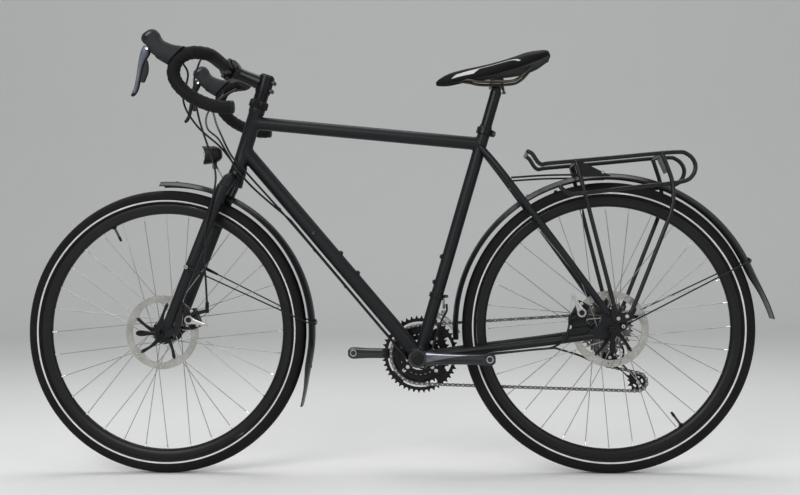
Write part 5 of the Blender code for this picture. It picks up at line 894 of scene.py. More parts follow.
def make_frame():
    """Mitred main tubes, swept stays, dropouts with their eyelets, and the bosses with their bolts."""
    head_wall, seat_wall = (HEAD_FOOT, STEER_UP, HEAD_R), (BB, SEAT_UP, SEAT_R)
    shell_wall = (BB, Y, SHELL_R)
    collar = [(0.0, 0.0), (0.0016, 0.0004), (0.0019, 0.0016), (0.0019, 0.0105), (0.0016, 0.0122),
        (0.0, 0.015)]
    profile = [(HEAD_R + grown, at) for grown, at in collar] + [(HEAD_R, 0.08)]
    profile += [(HEAD_R + grown, HEAD_LENGTH - at) for grown, at in collar[::-1]]
    parts = [turned(profile, HEAD_FOOT, STEER_UP, 64), mitred_tube(BB, along_head(DOWN_ON_HEAD),
        DOWN_R, shell_wall, head_wall), mitred_tube(along_seat(TOP_ON_SEAT), along_head(TOP_ON_HEAD),
        TOP_R, seat_wall, head_wall), mitred_tube(BB, along_seat(SEAT_LENGTH), SEAT_R, shell_wall)]
    parts.append(lathe([(0.0142, SEAT_LENGTH), (SEAT_R, SEAT_LENGTH), (SEAT_R, SEAT_LENGTH - 0.0003)],
        BB, SEAT_UP, 48))
    parts.append(lathe([(0.018, -0.034), (0.0198, -0.034), (SHELL_R, -0.0333), (SHELL_R, 0.0333),
        (0.0198, 0.034), (0.018, 0.034), (0.0176, 0.0)], BB, Y, 64))
    for side in SIDES:
        for knots, shares, radii in (([(BB[0] - 0.012, 0.016, BB[2] + 0.0005), (0.404, 0.0265, 0.2885),
                (0.362, 0.0385, 0.2945), (0.3, 0.045, 0.302), (0.15, 0.058, 0.319),
                (0.05, 0.07, 0.3328), (0.04, 0.0706, 0.3342)], [0.0, 0.3, 0.9, 1.0],
                [0.0103, 0.0098, 0.0082, 0.0045]), ([(0.2985, 0.008, 0.7905), (0.262, 0.0255, 0.745),
                (0.213, 0.0375, 0.678), (0.1, 0.054, 0.52), (0.014, 0.07, 0.396),
                (0.008, 0.0706, 0.386)], [0.0, 0.2, 0.85, 0.94, 1.0], [0.0084, 0.0082, 0.0078, 0.0068,
                0.004])):
            stay = stay_path(knots, side)
            radius = np.interp(np.linspace(0.0, 1.0, len(stay)), shares, radii)
            parts.append(swept(stay, radius, 32, domed=0.003))
        parts.append(rear_dropout(side))
        for x, z in ((-0.0265, 0.359), (0.0095, 0.384)):
            eyelet = vec(x, side * (DROPOUT_OUT - 0.0004) + 0.0034 * (1 + side), z)
            parts.append(lathe([(0.0027, -0.0068), (0.0046, -0.0068), (0.0052, -0.006), (0.0052, 0.0),
                (0.0027, 0.0)], eyelet, Y, 20))
    parts.append(swept([(0.222, -0.034, 0.69), (0.222, -0.012, 0.6925), (0.222, 0.012, 0.6925),
        (0.222, 0.034, 0.69)], 0.0058, 20))
    parts.append(rod((0.386, -0.031, 0.292), (0.386, 0.031, 0.292), 0.0063, sides=24))
    tab = rounded([(0.118, 0.318), (0.112, 0.336), (0.092, 0.352), (0.052, 0.356), (0.045, 0.338),
        (0.06, 0.326)], 0.006, 4)
    parts.append(slab(tab, 0.061, 0.0665, 0.0006))
    bosses = [(BB + DOWN_WAY * at + DOWN_UP * (DOWN_R - 0.0012), DOWN_UP) for at in (0.252, 0.316)]
    bosses += [(along_seat(at) + SEAT_FRONT * (SEAT_R - 0.0012), SEAT_FRONT) for at in (0.184, 0.248)]
    dark = []
    for foot, out in bosses:
        parts.append(turned([(0.0078, 0.0), (0.0078, 0.0012), (0.006, 0.0022), (0.0052, 0.0038),
            (0.0046, 0.004)], foot, out, 24))
        dark.append(bolt(foot + out * 0.004, out, 0.0042, 0.0022))
    stop = BB + DOWN_WAY * 0.395
    for side in SIDES:
        foot = stop + Y * (side * 0.0165)
        parts.append(rod(foot, foot + Y * (side * 0.004), 0.0045, sides=18))
        dark.append(bolt(foot + Y * (side * 0.004), Y * side, 0.0036, 0.0018))
    piece("frame_tubes", [(PAINT, *parts), (DARK_STEEL, *dark)], "frame_body", "frame",
        40.0)


def make_headset():
    """The lower cup, and the upper one whose rim is knurled by a small wave about the axis."""
    lower = lathe([(0.0192, 0.0003), (0.0205, -0.0006), (0.0213, -0.003), (0.0213, -0.0104),
        (0.0205, -0.0109), (0.016, -0.0109)], HEAD_FOOT, STEER_UP, 64)
    ridges = 96
    turn = full_turn(ridges * 4)
    knurl = 0.0231 + 0.00028 * np.cos(ridges * turn)
    ring = ring_on(turn, *square_to(STEER_UP))
    rows = [(0.019, 0.0002, 0.0), (0.0222, 0.0004, 0.0), (0.0, 0.0022, 1.0), (0.0, 0.015, 1.0),
        (0.0226, 0.0172, 0.0), (0.0212, 0.019, 0.0), (0.0178, 0.0194, 0.0)]
    points = np.stack([along_head(HEAD_LENGTH) + STEER_UP * up + ring * (fixed + share * knurl)[:,
        None] for fixed, up, share in rows])
    upper = capped(points.reshape(-1, 3), *points.shape[:2])
    piece("headset_cups", [(ANODISED, lower, upper)], "frame_body", crease=30.0)


def make_cartridge():
    """The bottom bracket's bearing cartridge, which shows at both ends of its shell."""
    cartridge = lathe(both_ends([(0.0175, 0.0338), (0.0163, 0.0342), (0.0163, 0.0365), (0.015, 0.0373),
        (0.009, 0.0373)]), BB, Y, 48)
    piece("bottom_bracket_cartridge", [(DARK_STEEL, cartridge)], "frame_body", "bottom_bracket")


def make_seat_collar():
    """The collar round the seat tube, its two ears behind, and the screw through them."""
    middle = along_seat(SEAT_LENGTH - 0.014)
    back = -SEAT_FRONT
    ring = lathe(both_ends([(0.0198, 0.0072), (0.019, 0.008), (0.0153, 0.008)]), middle, SEAT_UP, 48)
    ears = [sections(spaced(middle, back, (0.0165, 0.0225, 0.0262, 0.0275)) + Y * (side * 0.0045),
        SEAT_UP, Y, [0.0074, 0.0072, 0.0056, 0.003], [0.0036, 0.0036, 0.0033, 0.0022], 0.7, 20)
        for side in SIDES]
    centre = middle + back * 0.0238
    screw = (rod(centre - Y * 0.0086, centre + Y * 0.0086, 0.0024, sides=14), bolt(centre + Y * 0.0074,
        Y, 0.0042, 0.004), bolt(centre - Y * 0.0074, -Y, 0.004, 0.003))
    piece("seat_clamp", [(ANODISED, ring, *ears), (DARK_STEEL, *screw)], "frame_body", "seat_collar")


def make_fork():
    """Crown and steerer, two tapered blades with their dropouts and bosses, and the caliper's mount."""
    parts = [turned([(0.0165, -0.0388), (0.0205, -0.0383), (0.0213, -0.037), (0.0208, -0.025),
        (0.0195, -0.0165), (0.0198, -0.015), (0.0203, -0.0135), (0.0203, -0.0118), (0.0196, -0.0114),
        (0.015, -0.0114)], HEAD_FOOT, STEER_UP, 64)]
    steerer = turned([(0.0138, 0.237), (0.0143, 0.2365), (0.0143, -0.0114), (0.0138, -0.0114)],
        HEAD_FOOT, STEER_UP, 32)
    outline = np.vstack([rounded([(1.047, 0.374), (1.064, 0.383), (1.078, 0.3655), (1.09, 0.358),
        (1.0915, 0.342), (1.0835, 0.3345)], 0.005, 5), [(WHEELBASE + SLOT_R, 0.3335)],
        polar(FRONT_AXLE, SLOT_R, np.linspace(0.0, np.pi, 12)), [(WHEELBASE - SLOT_R, 0.333)],
        rounded([(1.0715, 0.3325), (1.05, 0.342), (1.04, 0.356)], 0.005, 5)])
    for side in SIDES:
        blade = stay_path([(CROWN[0] + 0.004, 0.006, CROWN[2] + 0.0005), (0.9105, 0.026, 0.7205),
            (0.9225, 0.0405, 0.7), (0.931, 0.044, 0.683), (0.995, 0.05, 0.527), (1.056, 0.053, 0.377),
            (1.062, 0.0533, 0.363)], side, 12)
        share = np.linspace(0.0, 1.0, len(blade))
        radius = np.interp(share, [0.0, 0.25, 0.5, 0.85, 0.95, 1.0], [0.0155, 0.0158, 0.015, 0.0122,
            0.01, 0.0055])
        ahead, _, _ = frames_along(blade)
        along = unit(np.cross(ahead, Y))
        wide = np.interp(share, [0.0, 0.3, 0.6, 1.0], [1.0, 0.84, 0.8, 0.85])
        parts.append(sections(blade, along, np.cross(along, ahead), radius, radius * wide, 1.0, 36))
        parts.append(side_slab(side, outline, FORK_OUT - 0.006, FORK_OUT, 0.0007))
        boss = vec(1.0065, side * 0.0575, 0.507)
        parts.append(rod(boss - Y * 0.01, boss + Y * 0.01, 0.0046, sides=20))
    mount = rounded([(1.046, 0.352), (1.034, 0.42), (1.026, 0.424), (1.022, 0.402), (1.03, 0.35),
        (1.042, 0.336)], 0.006, 4)
    parts.append(slab(mount, 0.0503, 0.056, 0.0006))
    piece("fork_blades", [(PAINT, *parts), (DARK_STEEL, steerer)], "steering_body", "fork",
        40.0)


make_frame()
make_headset()
make_cartridge()
make_seat_collar()
make_fork()


# Transmission

PITCH, CHAIN_LINKS, ROLLER_SEAT = 0.0127, 120, 0.00395
CHAINLINE = 0.0475
COG_TEETH = (11, 13, 15, 18, 21, 24, 28, 32)
FIRST_COG_OUT, COG_STEP = 0.0635, 0.0048
COG_Y = [-(FIRST_COG_OUT - COG_STEP * k) for k in range(len(COG_TEETH))]
DRIVEN_Y = COG_Y[2]
GUIDE = vec(-0.012, DRIVEN_Y, 0.272)
TENSION = vec(-0.0787217, DRIVEN_Y, 0.2115995)
CRANK_TURN = np.radians(0.7)


def pitch_radius(teeth):
    """The radius on which the chain's pins lie: pitch / (2 sin(half a tooth))."""
    return PITCH / (2.0 * np.sin(np.pi / teeth))


def touching(first, second, first_sense, second_sense):
    """Where a straight run leaves one circle and meets the next, circles being (x, z, radius)."""
    span = second[:2] - first[:2]
    distance = np.hypot(*span)
    lean = np.arctan2(span[1], span[0]) - np.arccos((first[2] * first_sense - second[2] * second_sense)
        / distance)
    way = np.array([np.cos(lean), np.sin(lean)])
    return first[:2] + first_sense * first[2] * way, second[:2] + second_sense * second[2] * way


def chain_pins():
    """Pins of the links around the loop: place, heading and, on a sprocket, which one.

    A stop is (x, z, teeth, sense of turning, y) for the ring, the cog and the two pulleys.
    """
    stops = [(BB[0], BB[2], 36, 1, -CHAINLINE), (0.0, AXLE_Z, 15, 1, DRIVEN_Y), (GUIDE[0], GUIDE[2],
        11, -1, DRIVEN_Y), (TENSION[0], TENSION[2], 11, 1, DRIVEN_Y)]
    circles = [vec(x, z, pitch_radius(teeth)) for x, z, teeth, _, _ in stops]
    runs = [touching(circles[i], circles[(i + 1) % 4], stops[i][3], stops[(i + 1) % 4][3])
        for i in range(4)]
    pins, begin, index = [], 0.0, 0
    for i in range(4):
        j = (i + 1) % 4
        start, end = runs[i]
        length = np.hypot(*(end - start)) / PITCH
        while index < CHAIN_LINKS and index < begin + length:
            share = (index - begin) / length
            x, z = start + (end - start) * share
            pins.append((x, stops[i][4] + (stops[j][4] - stops[i][4]) * share, z,
                np.arctan2(*(end - start)[::-1]), -1))
            index += 1
        begin += length
        x, z, teeth, sense, y = stops[j]
        first = np.arctan2(*(end - circles[j][:2])[::-1])
        last = np.arctan2(*(runs[j][0] - circles[j][:2])[::-1])
        length = ((last - first) * sense) % (2 * np.pi) * teeth / (2 * np.pi)
        while index < CHAIN_LINKS and index < begin + length:
            turn = first + sense * (index - begin) * 2 * np.pi / teeth
            pins.append((x + circles[j][2] * np.cos(turn), y, z + circles[j][2] * np.sin(turn),
                turn + sense * np.pi / 2, j))
            index += 1
        begin += length
    return np.array(pins)


PINS = chain_pins()


def phase_of(place, centre):
    """The angle of the first pin that lies on a sprocket, so that its tooth gaps meet the rollers."""
    pin = PINS[PINS[:, 4] == place][0]
    return np.arctan2(pin[2] - centre[2], pin[0] - centre[0])


def link_plate(half_thick):
    """A figure-of-eight plate along x between two pins, as bevelled rings about its outline."""
    turn = full_turn(28)
    c, s = np.cos(turn), np.sin(turn)
    x = PITCH / 2 + np.sign(c) * PITCH / 2 * np.minimum(1.0, np.abs(c) * 3.0) + 0.004 * c
    z = 0.004 * s * (1.0 - 0.28 * np.exp(-((x - PITCH / 2) / 0.0024) ** 2))
    rows = []
    for y, grown in ((-half_thick, 0.9), (-0.7 * half_thick, 1.0), (0.7 * half_thick, 1.0),
            (half_thick, 0.9)):
        rows.append(np.stack([PITCH / 2 + (x - PITCH / 2) * (1 - (1 - grown) * 0.4), np.full(28, y),
            z * grown], axis=1))
    return capped(np.vstack(rows), 4, 28)


def many(shape, places, heads):
    """Copies of a shape, each turned by its heading in the x-z plane and set at its place."""
    points, faces = shape
    c, s = np.cos(heads)[:, None], np.sin(heads)[:, None]
    x, y, z = points.T
    made = np.stack([places[:, :1] + c * x - s * z, places[:, 1:2] + np.broadcast_to(y,
        (len(heads), len(y))), places[:, 2:3] + s * x + c * z], axis=2)
    all_faces = faces[None] + (np.arange(len(heads)) * len(points))[:, None, None]
    return made.reshape(-1, 3), all_faces.reshape(-1, 4)


def make_chain():
    """Inner and outer links by turns, with their rollers and riveted pins."""
    here, ahead = PINS[:, :3], np.roll(PINS[:, :3], -1, axis=0)
    heads = np.arctan2(ahead[:, 2] - here[:, 2], ahead[:, 0] - here[:, 0])
    even, odd = slice(0, None, 2), slice(1, None, 2)
    plates = []
    for which, out in ((even, 0.0017), (odd, 0.0027)):
        middle = here[which].copy()
        middle[:, 1] = 0.5 * (here[which, 1] + ahead[which, 1])
        for side in SIDES:
            plates.append(many(link_plate(0.00042), middle + Y * (side * out), heads[which]))
    rivet = turned(both_ends([(0.002, 0.003), (0.0017, 0.0032)]), (0, 0, 0), Y, 10)
    roller = turned(both_ends([(0.0038, 0.001), (0.0036, 0.0012)]), (0, 0, 0), Y, 12)
    still = np.zeros(len(here))
    piece("chain_links", [(CHAIN_STEEL, *plates), (STEEL, many(rivet, here, still)),
        (DARK_STEEL, many(roller, here, still))], "frame_body", "chain", 35.0)


def toothed(teeth, centre, phase, depth=0.0028, fine=3):
    """A sprocket's outline: between each two teeth the roller's round seat, then sloping flanks."""
    radius = pitch_radius(teeth)
    step = 2 * np.pi / teeth
    seat = np.radians(np.linspace(-62.0, 62.0, 2 * fine + 1))
    top, half_tip = radius + depth, 0.0009
    local_t = np.concatenate([ROLLER_SEAT * np.sin(seat) / radius, [step / 2 - half_tip / top,
        step / 2 + half_tip / top]])
    local_r = np.concatenate([radius - ROLLER_SEAT * np.cos(seat), [top, top]])
    turn = (phase + np.arange(teeth)[:, None] * step + local_t[None]).ravel()
    return polar(centre, np.tile(local_r, teeth), turn)


def sector_hole(centre, inner, outer, start, end, radius):
    """A rounded opening between two radii and two angles."""
    arc = np.linspace(start, end, 7)
    return rounded(np.vstack([polar(centre, outer, arc), polar(centre, inner, arc[::-1])]), radius, 2)


def make_cassette():
    """Eight cogs, bored and pierced by their size, on a splined body with its lockring."""
    cogs = []
    for k, (teeth, y) in enumerate(zip(COG_TEETH, COG_Y)):
        holes = [ring_points(0.0115 if teeth < 14 else 0.016, REAR_AXLE, 30)]
        if teeth >= 18:
            arms = 5 if teeth < 24 else 7
            for arm in range(arms):
                a = 2 * np.pi * (arm + 0.15 * k) / arms
                holes.append(sector_hole(REAR_AXLE, 0.0205, pitch_radius(teeth) - 0.0085, a,
                    a + 2 * np.pi / arms * 0.62, 0.0018))
        elif teeth > 13:
            holes += [ring_points(0.0018, polar(REAR_AXLE, 0.0205, a), 10) for a in full_turn(5)]
        phase = phase_of(1, REAR_AXLE) + 0.37 * (k - 2)
        cogs.append(slab(toothed(teeth, REAR_AXLE, phase, 0.0026, 2), y - 0.0009, y + 0.0009, 0.0002,
            holes))
    body = lathe([(0.0054, COG_Y[0] - 0.0008), (0.0108, COG_Y[0] - 0.0008),
        (0.0114, COG_Y[0] - 0.0002), (0.0114, COG_Y[1] + 0.0012), (0.0158, COG_Y[1] + 0.0014),
        (0.0158, COG_Y[-1] + 0.001), (0.0054, COG_Y[-1] + 0.001)], REAR_AXLE, Y, 48)
    lockring = lathe([(0.0056, COG_Y[0] - 0.0034), (0.012, COG_Y[0] - 0.0034),
        (0.0132, COG_Y[0] - 0.0026), (0.0132, COG_Y[0] - 0.0012), (0.0056, COG_Y[0] - 0.0012)],
        REAR_AXLE, Y, 36)
    piece("cassette_cogs", [(CHAIN_STEEL, *cogs), (DARK_STEEL, body, lockring)], "cassette_body",
        "cassette", 30.0)


def crank_shape(side, y_hub, y_eye):
    """A forged arm: round boss, waisted beam with a shallow groove on its face, ring at the pedal.

    A section is (high * |cos|^0.72, thick * |sin|^0.62). The painted highlight, a strip of lighter
    metal that stands in for the sky's reflection on a chamfer, lies 0.2 mm over the outer face, from a
    lower edge that climbs along the arm to 0.8 of the height.
    """
    way = side * at_angle(CRANK_TURN)
    up = quarter_on(way) * (1.0 if way[0] > 0 else -1.0)
    knots = smooth_path([(0.012, 0.05, 0.0178, 0.0086), (0.026, 0.2, 0.016, 0.008),
        (0.05, 0.42, 0.0142, 0.0074), (0.09, 0.72, 0.0128, 0.0068), (0.13, 0.93, 0.0128, 0.0064),
        (0.152, 1.0, 0.0138, 0.0064), (0.17, 1.0, 0.0148, 0.0064), (0.179, 1.0, 0.012, 0.006),
        (0.1835, 1.0, 0.007, 0.0052)], 6)
    turn = full_turn(40)
    c, s = bent(np.cos(turn), 0.72), bent(np.sin(turn), 0.62)
    along, share, high, thick = knots.T
    outward_side = 1.0 if y_hub > 0 else -1.0
    groove = 0.0011 * np.exp(-(c / 0.45) ** 4) * np.clip(s * outward_side, 0.0, 1.0) * outward_side
    pick = (along > 0.02) & (along < 0.119)
    low = np.interp(along[pick], [0.02, 0.045, 0.075, 0.1, 0.118], [-0.5, -0.2, 0.22, 0.52, 0.74])[:,
        None]
    face = low + (0.8 - low) * np.linspace(0.0, 1.0, 9)[None]
    rise = (1 - np.abs(face) ** (2 / 0.72)) ** 0.31
    fade = np.clip((along - 0.026) / 0.02, 0.0, 1.0) * np.clip((0.158 - along) / 0.012, 0.0, 1.0)
    y = y_hub + share * (y_eye - y_hub)
    points = (BB + along[:, None, None] * way + (high[:, None] * c[None])[:, :, None] * up
        + (y[:, None] + thick[:, None] * s[None] - fade[:, None] * groove[None])[:, :, None] * Y)
    # The painted highlight strip: a lighter layer 0.2 mm proud of the outer face, shaped like the
    # reflection it stands in for
    out = thick[pick, None] * rise - (fade[pick, None] * 0.0011 * np.exp(-(face / 0.45) ** 4)) + 0.0002
    highlight_strip = (BB + along[pick, None, None] * way + (high[pick, None] * face)[..., None] * up
        + (y[pick, None] + outward_side * out)[..., None] * Y)
    under = (highlight_strip - Y * outward_side * 0.0008)[:, ::-1]
    highlight_strip = np.concatenate([highlight_strip, under], axis=1)
    return (capped(points.reshape(-1, 3), len(knots), 40), capped(highlight_strip.reshape(-1, 3),
        *highlight_strip.shape[:2]), BB + way * 0.17)


def eye_ring(place):
    """The steel insert in a crank's eye."""
    return lathe([(0.0064, -0.0066), (0.0078, -0.0066), (0.0084, -0.0062), (0.0084, 0.0062),
        (0.0078, 0.0067), (0.0064, 0.0067)], place, Y, 32)


def make_left_crank():
    """The left arm with its boss, cap and pinch bolts, and the ring and plug of its eye."""
    arm, highlight_strip, eye = crank_shape(-1.0, 0.062, 0.077)
    boss = turned([(0.011, 0.0532), (0.021, 0.052), (0.0224, 0.053), (0.0226, 0.056), (0.0224, 0.07),
        (0.0212, 0.0722), (0.015, 0.0722), (0.0138, 0.0712)], BB, Y, 64)
    cap = turned([(0.0134, 0.07), (0.0134, 0.0726), (0.0124, 0.0732), (0.007, 0.0732),
        (0.0064, 0.0722)], BB, Y, 40)
    clamp = [bolt(BB + vec(-0.0165, y, -0.0192), -Z, 0.0032, 0.0034) for y in (0.057, 0.066)]
    plug = rod(eye + Y * 0.0712, eye + Y * 0.0826, 0.0063, sides=20)
    # The arm's lighter strip is a painted highlight, not a separate polished face
    piece("left_crank_arm", [(CRANK, arm, boss), (CRANK_PAINTED_HIGHLIGHT, highlight_strip), (PLASTIC, cap, plug),
        (STEEL, eye_ring(eye + Y * 0.077)), (DARK_STEEL, *clamp)], "crank_body", "left_crank",
        35.0)


def chainring(teeth, y, half, phase, holes):
    """A toothed ring about the crank's axle; half is half its thickness."""
    return slab(toothed(teeth, BB, phase), y - half, y + half, 0.0002, holes)


def sector_holes(count, inner, outer, start, margin, radius):
    """Openings all round the crank's axle, each short of the next by twice the margin."""
    step = 2 * np.pi / count
    return [sector_hole(BB, inner, outer, start + k * step + margin, start + (k + 1) * step - margin,
        radius) for k in range(count)]


def make_right_crank():
    """The arm with its spider, the chainring bolts, the two inner rings, and the outer ring."""
    arm, highlight_strip, eye = crank_shape(1.0, -0.07, -0.079)
    boss = turned([(0.011, -0.08), (0.0208, -0.0798), (0.0222, -0.0786), (0.0226, -0.076),
        (0.0226, -0.061), (0.018, -0.056), (0.015, -0.05), (0.015, -0.0388)], BB, Y, 64)
    spindle = turned([(0.006, 0.0644), (0.0079, 0.064), (0.008, -0.048), (0.008, -0.06)], BB, Y, 32)
    plug = rod(eye - Y * 0.0846, eye - Y * 0.0732, 0.0063, sides=20)
    first_arm = CRANK_TURN + np.pi / 4
    spider, bolts = [], []
    for k in range(4):
        out = at_angle(first_arm + k * np.pi / 2)
        spine = spaced(BB - Y * 0.0505, out, (0.014, 0.03, 0.046, 0.058, 0.0625))
        spine[:, 1] += np.array([-0.01, -0.0035, 0.0, 0.001, 0.001])
        spider.append(sections(spine, np.cross(out, Y), Y, [0.0165, 0.011, 0.0088, 0.0092, 0.005],
            [0.0046, 0.0036, 0.0026, 0.002, 0.0014], 0.7, 24))
        for radius, low, high in ((0.056, -0.0566, -0.0455), (0.043, -0.05, -0.0385)):
            spot = BB + out * radius
            bolts.append(rod(spot + Y * low, spot + Y * high, 0.0046, sides=20, bevel=0.0006))
            bolts.append(bolt(spot + Y * (high - 0.0002), Y, 0.005, 0.0014))
    middle = chainring(36, -CHAINLINE, 0.00095, phase_of(0, BB), [ring_points(0.0505, BB, 64)]
        + sector_holes(8, 0.0635, 0.066, CRANK_TURN, 0.12, 0.001))
    inner = chainring(26, -0.0405, 0.00095, 0.1, [ring_points(0.0375, BB, 48)])
    # The arm's lighter strip is a painted highlight, not a separate polished face
    piece("right_crank_arm", [(CRANK, arm, boss, *spider), (CRANK_PAINTED_HIGHLIGHT, highlight_strip),
        (ANODISED, middle, inner), (DARK_STEEL, spindle, plug), (STEEL, eye_ring(eye - Y * 0.079),
        *bolts)], "crank_body", "right_crank", 30.0)
    lobes = full_turn(120)
    edge = 0.0625 - 0.012 * np.maximum(0.0, np.cos(4 * (lobes - first_arm))) ** 2
    outer = chainring(46, -0.0545, 0.001, 0.05, [polar(BB, edge, lobes)] + sector_holes(4, 0.069,
        0.0815, first_arm, 0.22, 0.004))
    piece("outer_ring", [(ANODISED, outer)], "crank_body", "outer_chainring", 30.0)


def pulley_wheel(name, centre, place, body):
    """An eleven-tooth pulley, pierced five times, on its hub."""
    holes = [ring_points(0.0027, centre, 16)]
    holes += [sector_hole(centre, 0.0092, 0.0136, a, a + 0.75, 0.0012) for a in full_turn(5)]
    wheel = slab(toothed(11, centre, phase_of(place, centre), 0.0026), centre[1] - 0.001,
        centre[1] + 0.001, 0.0002, holes)
    hub = lathe([(0.0027, -0.0034), (0.0062, -0.0034), (0.0072, -0.0028), (0.0074, 0.0),
        (0.0072, 0.0028), (0.0062, 0.0034), (0.0027, 0.0034)], centre, Y, 28)
    piece(name + "_wheel", [(PLASTIC, wheel, hub)], body, name, 30.0)


def make_derailleur_cage():
    """Two waisted plates astride the pulleys, pierced in the middle, on their two screws."""
    way = unit(TENSION - GUIDE)
    over = quarter_on(way)

    def on_cage(pairs):
        return np.array([GUIDE + way * a + over * b for a, b in pairs])[:, [0, 2]]

    outline = on_cage([(-0.013, -0.006), (-0.013, 0.006), (-0.004, 0.0125), (0.018, 0.011),
        (0.045, 0.006), (0.078, 0.009), (0.09, 0.0095), (0.0985, 0.004), (0.0985, -0.005),
        (0.09, -0.0098), (0.06, -0.008), (0.02, -0.0095), (-0.004, -0.0118)])
    window = on_cage([(0.03, 0.0045), (0.062, 0.0035), (0.066, 0.0), (0.062, -0.004), (0.03, -0.005),
        (0.026, 0.0)])
    shapes = [slab(rounded(outline, 0.006, 4), DRIVEN_Y + low, DRIVEN_Y + high, 0.0004,
        [rounded(window, 0.002, 3)]) for low, high in ((-0.0059, -0.0042), (0.0042, 0.0059))]
    shapes += [rod(centre - Y * 0.0058, centre + Y * 0.0058, 0.0025, sides=16)
        for centre in (GUIDE, TENSION)]
    screws = [bolt(centre + out * 0.0058, out, 0.0042, 0.0016)
        for centre, out in ((GUIDE, Y), (TENSION, Y), (TENSION, -Y))]
    piece("derailleur_cage", [(BLACK_ALLOY, *shapes), (STEEL, *screws)], "rear_derailleur_cage_body",
        "rear_derailleur_cage", 32.0)


def make_rear_derailleur():
    """Pulleys, cage, knuckle, link and the body on the hanger, each turning on its own."""
    pulley_wheel("guide_pulley", GUIDE, 2, "guide_pulley_body")
    pulley_wheel("tension_pulley", TENSION, 3, "tension_pulley_body")
    make_derailleur_cage()
    lower = vec(GUIDE[0], 0.0, GUIDE[2])
    barrel = turned([(0.0085, -0.0602), (0.0122, -0.0604), (0.0125, -0.0612), (0.0125, -0.0775),
        (0.0112, -0.0798), (0.008, -0.0804)], lower, Y, 40)
    arm = sections(lower + [[0.002, -0.073, 0.0], [0.012, -0.073, 0.0004], [0.022, -0.073, 0.001],
        [0.0262, -0.073, 0.0012]], Z, Y, [0.0095, 0.0088, 0.0078, 0.0052], [0.0066, 0.0065, 0.0062,
        0.0045], 0.6, 24)
    piece("derailleur_knuckle", [(BLACK_ALLOY, barrel, arm),
        (DARK_STEEL, bolt(lower - Y * 0.08, -Y, 0.0056, 0.002))], "rear_derailleur_knuckle_body",
        "rear_derailleur_knuckle", 32.0)
    low, high = vec(GUIDE[0] + 0.027, -0.073, GUIDE[2] + 0.001), vec(0.012, -0.086, 0.31)
    link_way = unit(high - low)
    length = np.linalg.norm(high - low)
    across = unit(np.cross(link_way, Y))
    spine = spaced(low, link_way, (0.0098, 0.0125, 0.02, length - 0.016, length - 0.0126))
    link = sections(spine, across, np.cross(across, link_way), [0.007, 0.009, 0.01, 0.0086, 0.0066],
        [0.0034, 0.0044, 0.0046, 0.0042, 0.0034], 0.6, 24)
    piece("derailleur_link", [(ANODISED, link)], "rear_derailleur_link_body", "rear_derailleur_link",
        32.0)
    pivot = vec(-0.006, 0.0, 0.319)
    body = turned([(0.008, -0.0742), (0.0112, -0.0744), (0.0115, -0.0752), (0.0115, -0.0925),
        (0.0102, -0.0946), (0.007, -0.0951)], pivot, Y, 40)
    arm = sections([[-0.003, -0.0862, 0.3188], [0.006, -0.0862, 0.3182], [0.015, -0.0862, 0.318],
        [0.019, -0.0862, 0.3178]], Z, Y, [0.009, 0.008, 0.0072, 0.005], [0.0072, 0.0072, 0.0066,
        0.0048], 0.6, 24)
    stud = rod(pivot - Y * 0.0686, pivot - Y * 0.0744, 0.0039, sides=20)
    cap = bolt(pivot - Y * 0.0948, -Y, 0.0062, 0.0022)
    adjuster = rod((-0.0165, -0.0868, 0.319), (-0.0225, -0.0866, 0.3192), 0.003, 0.0034, sides=14)
    piece("derailleur_main_body", [(BLACK_ALLOY, body, arm), (DARK_STEEL, stud, cap, adjuster)],
        "frame_body", "rear_derailleur_body", 32.0)


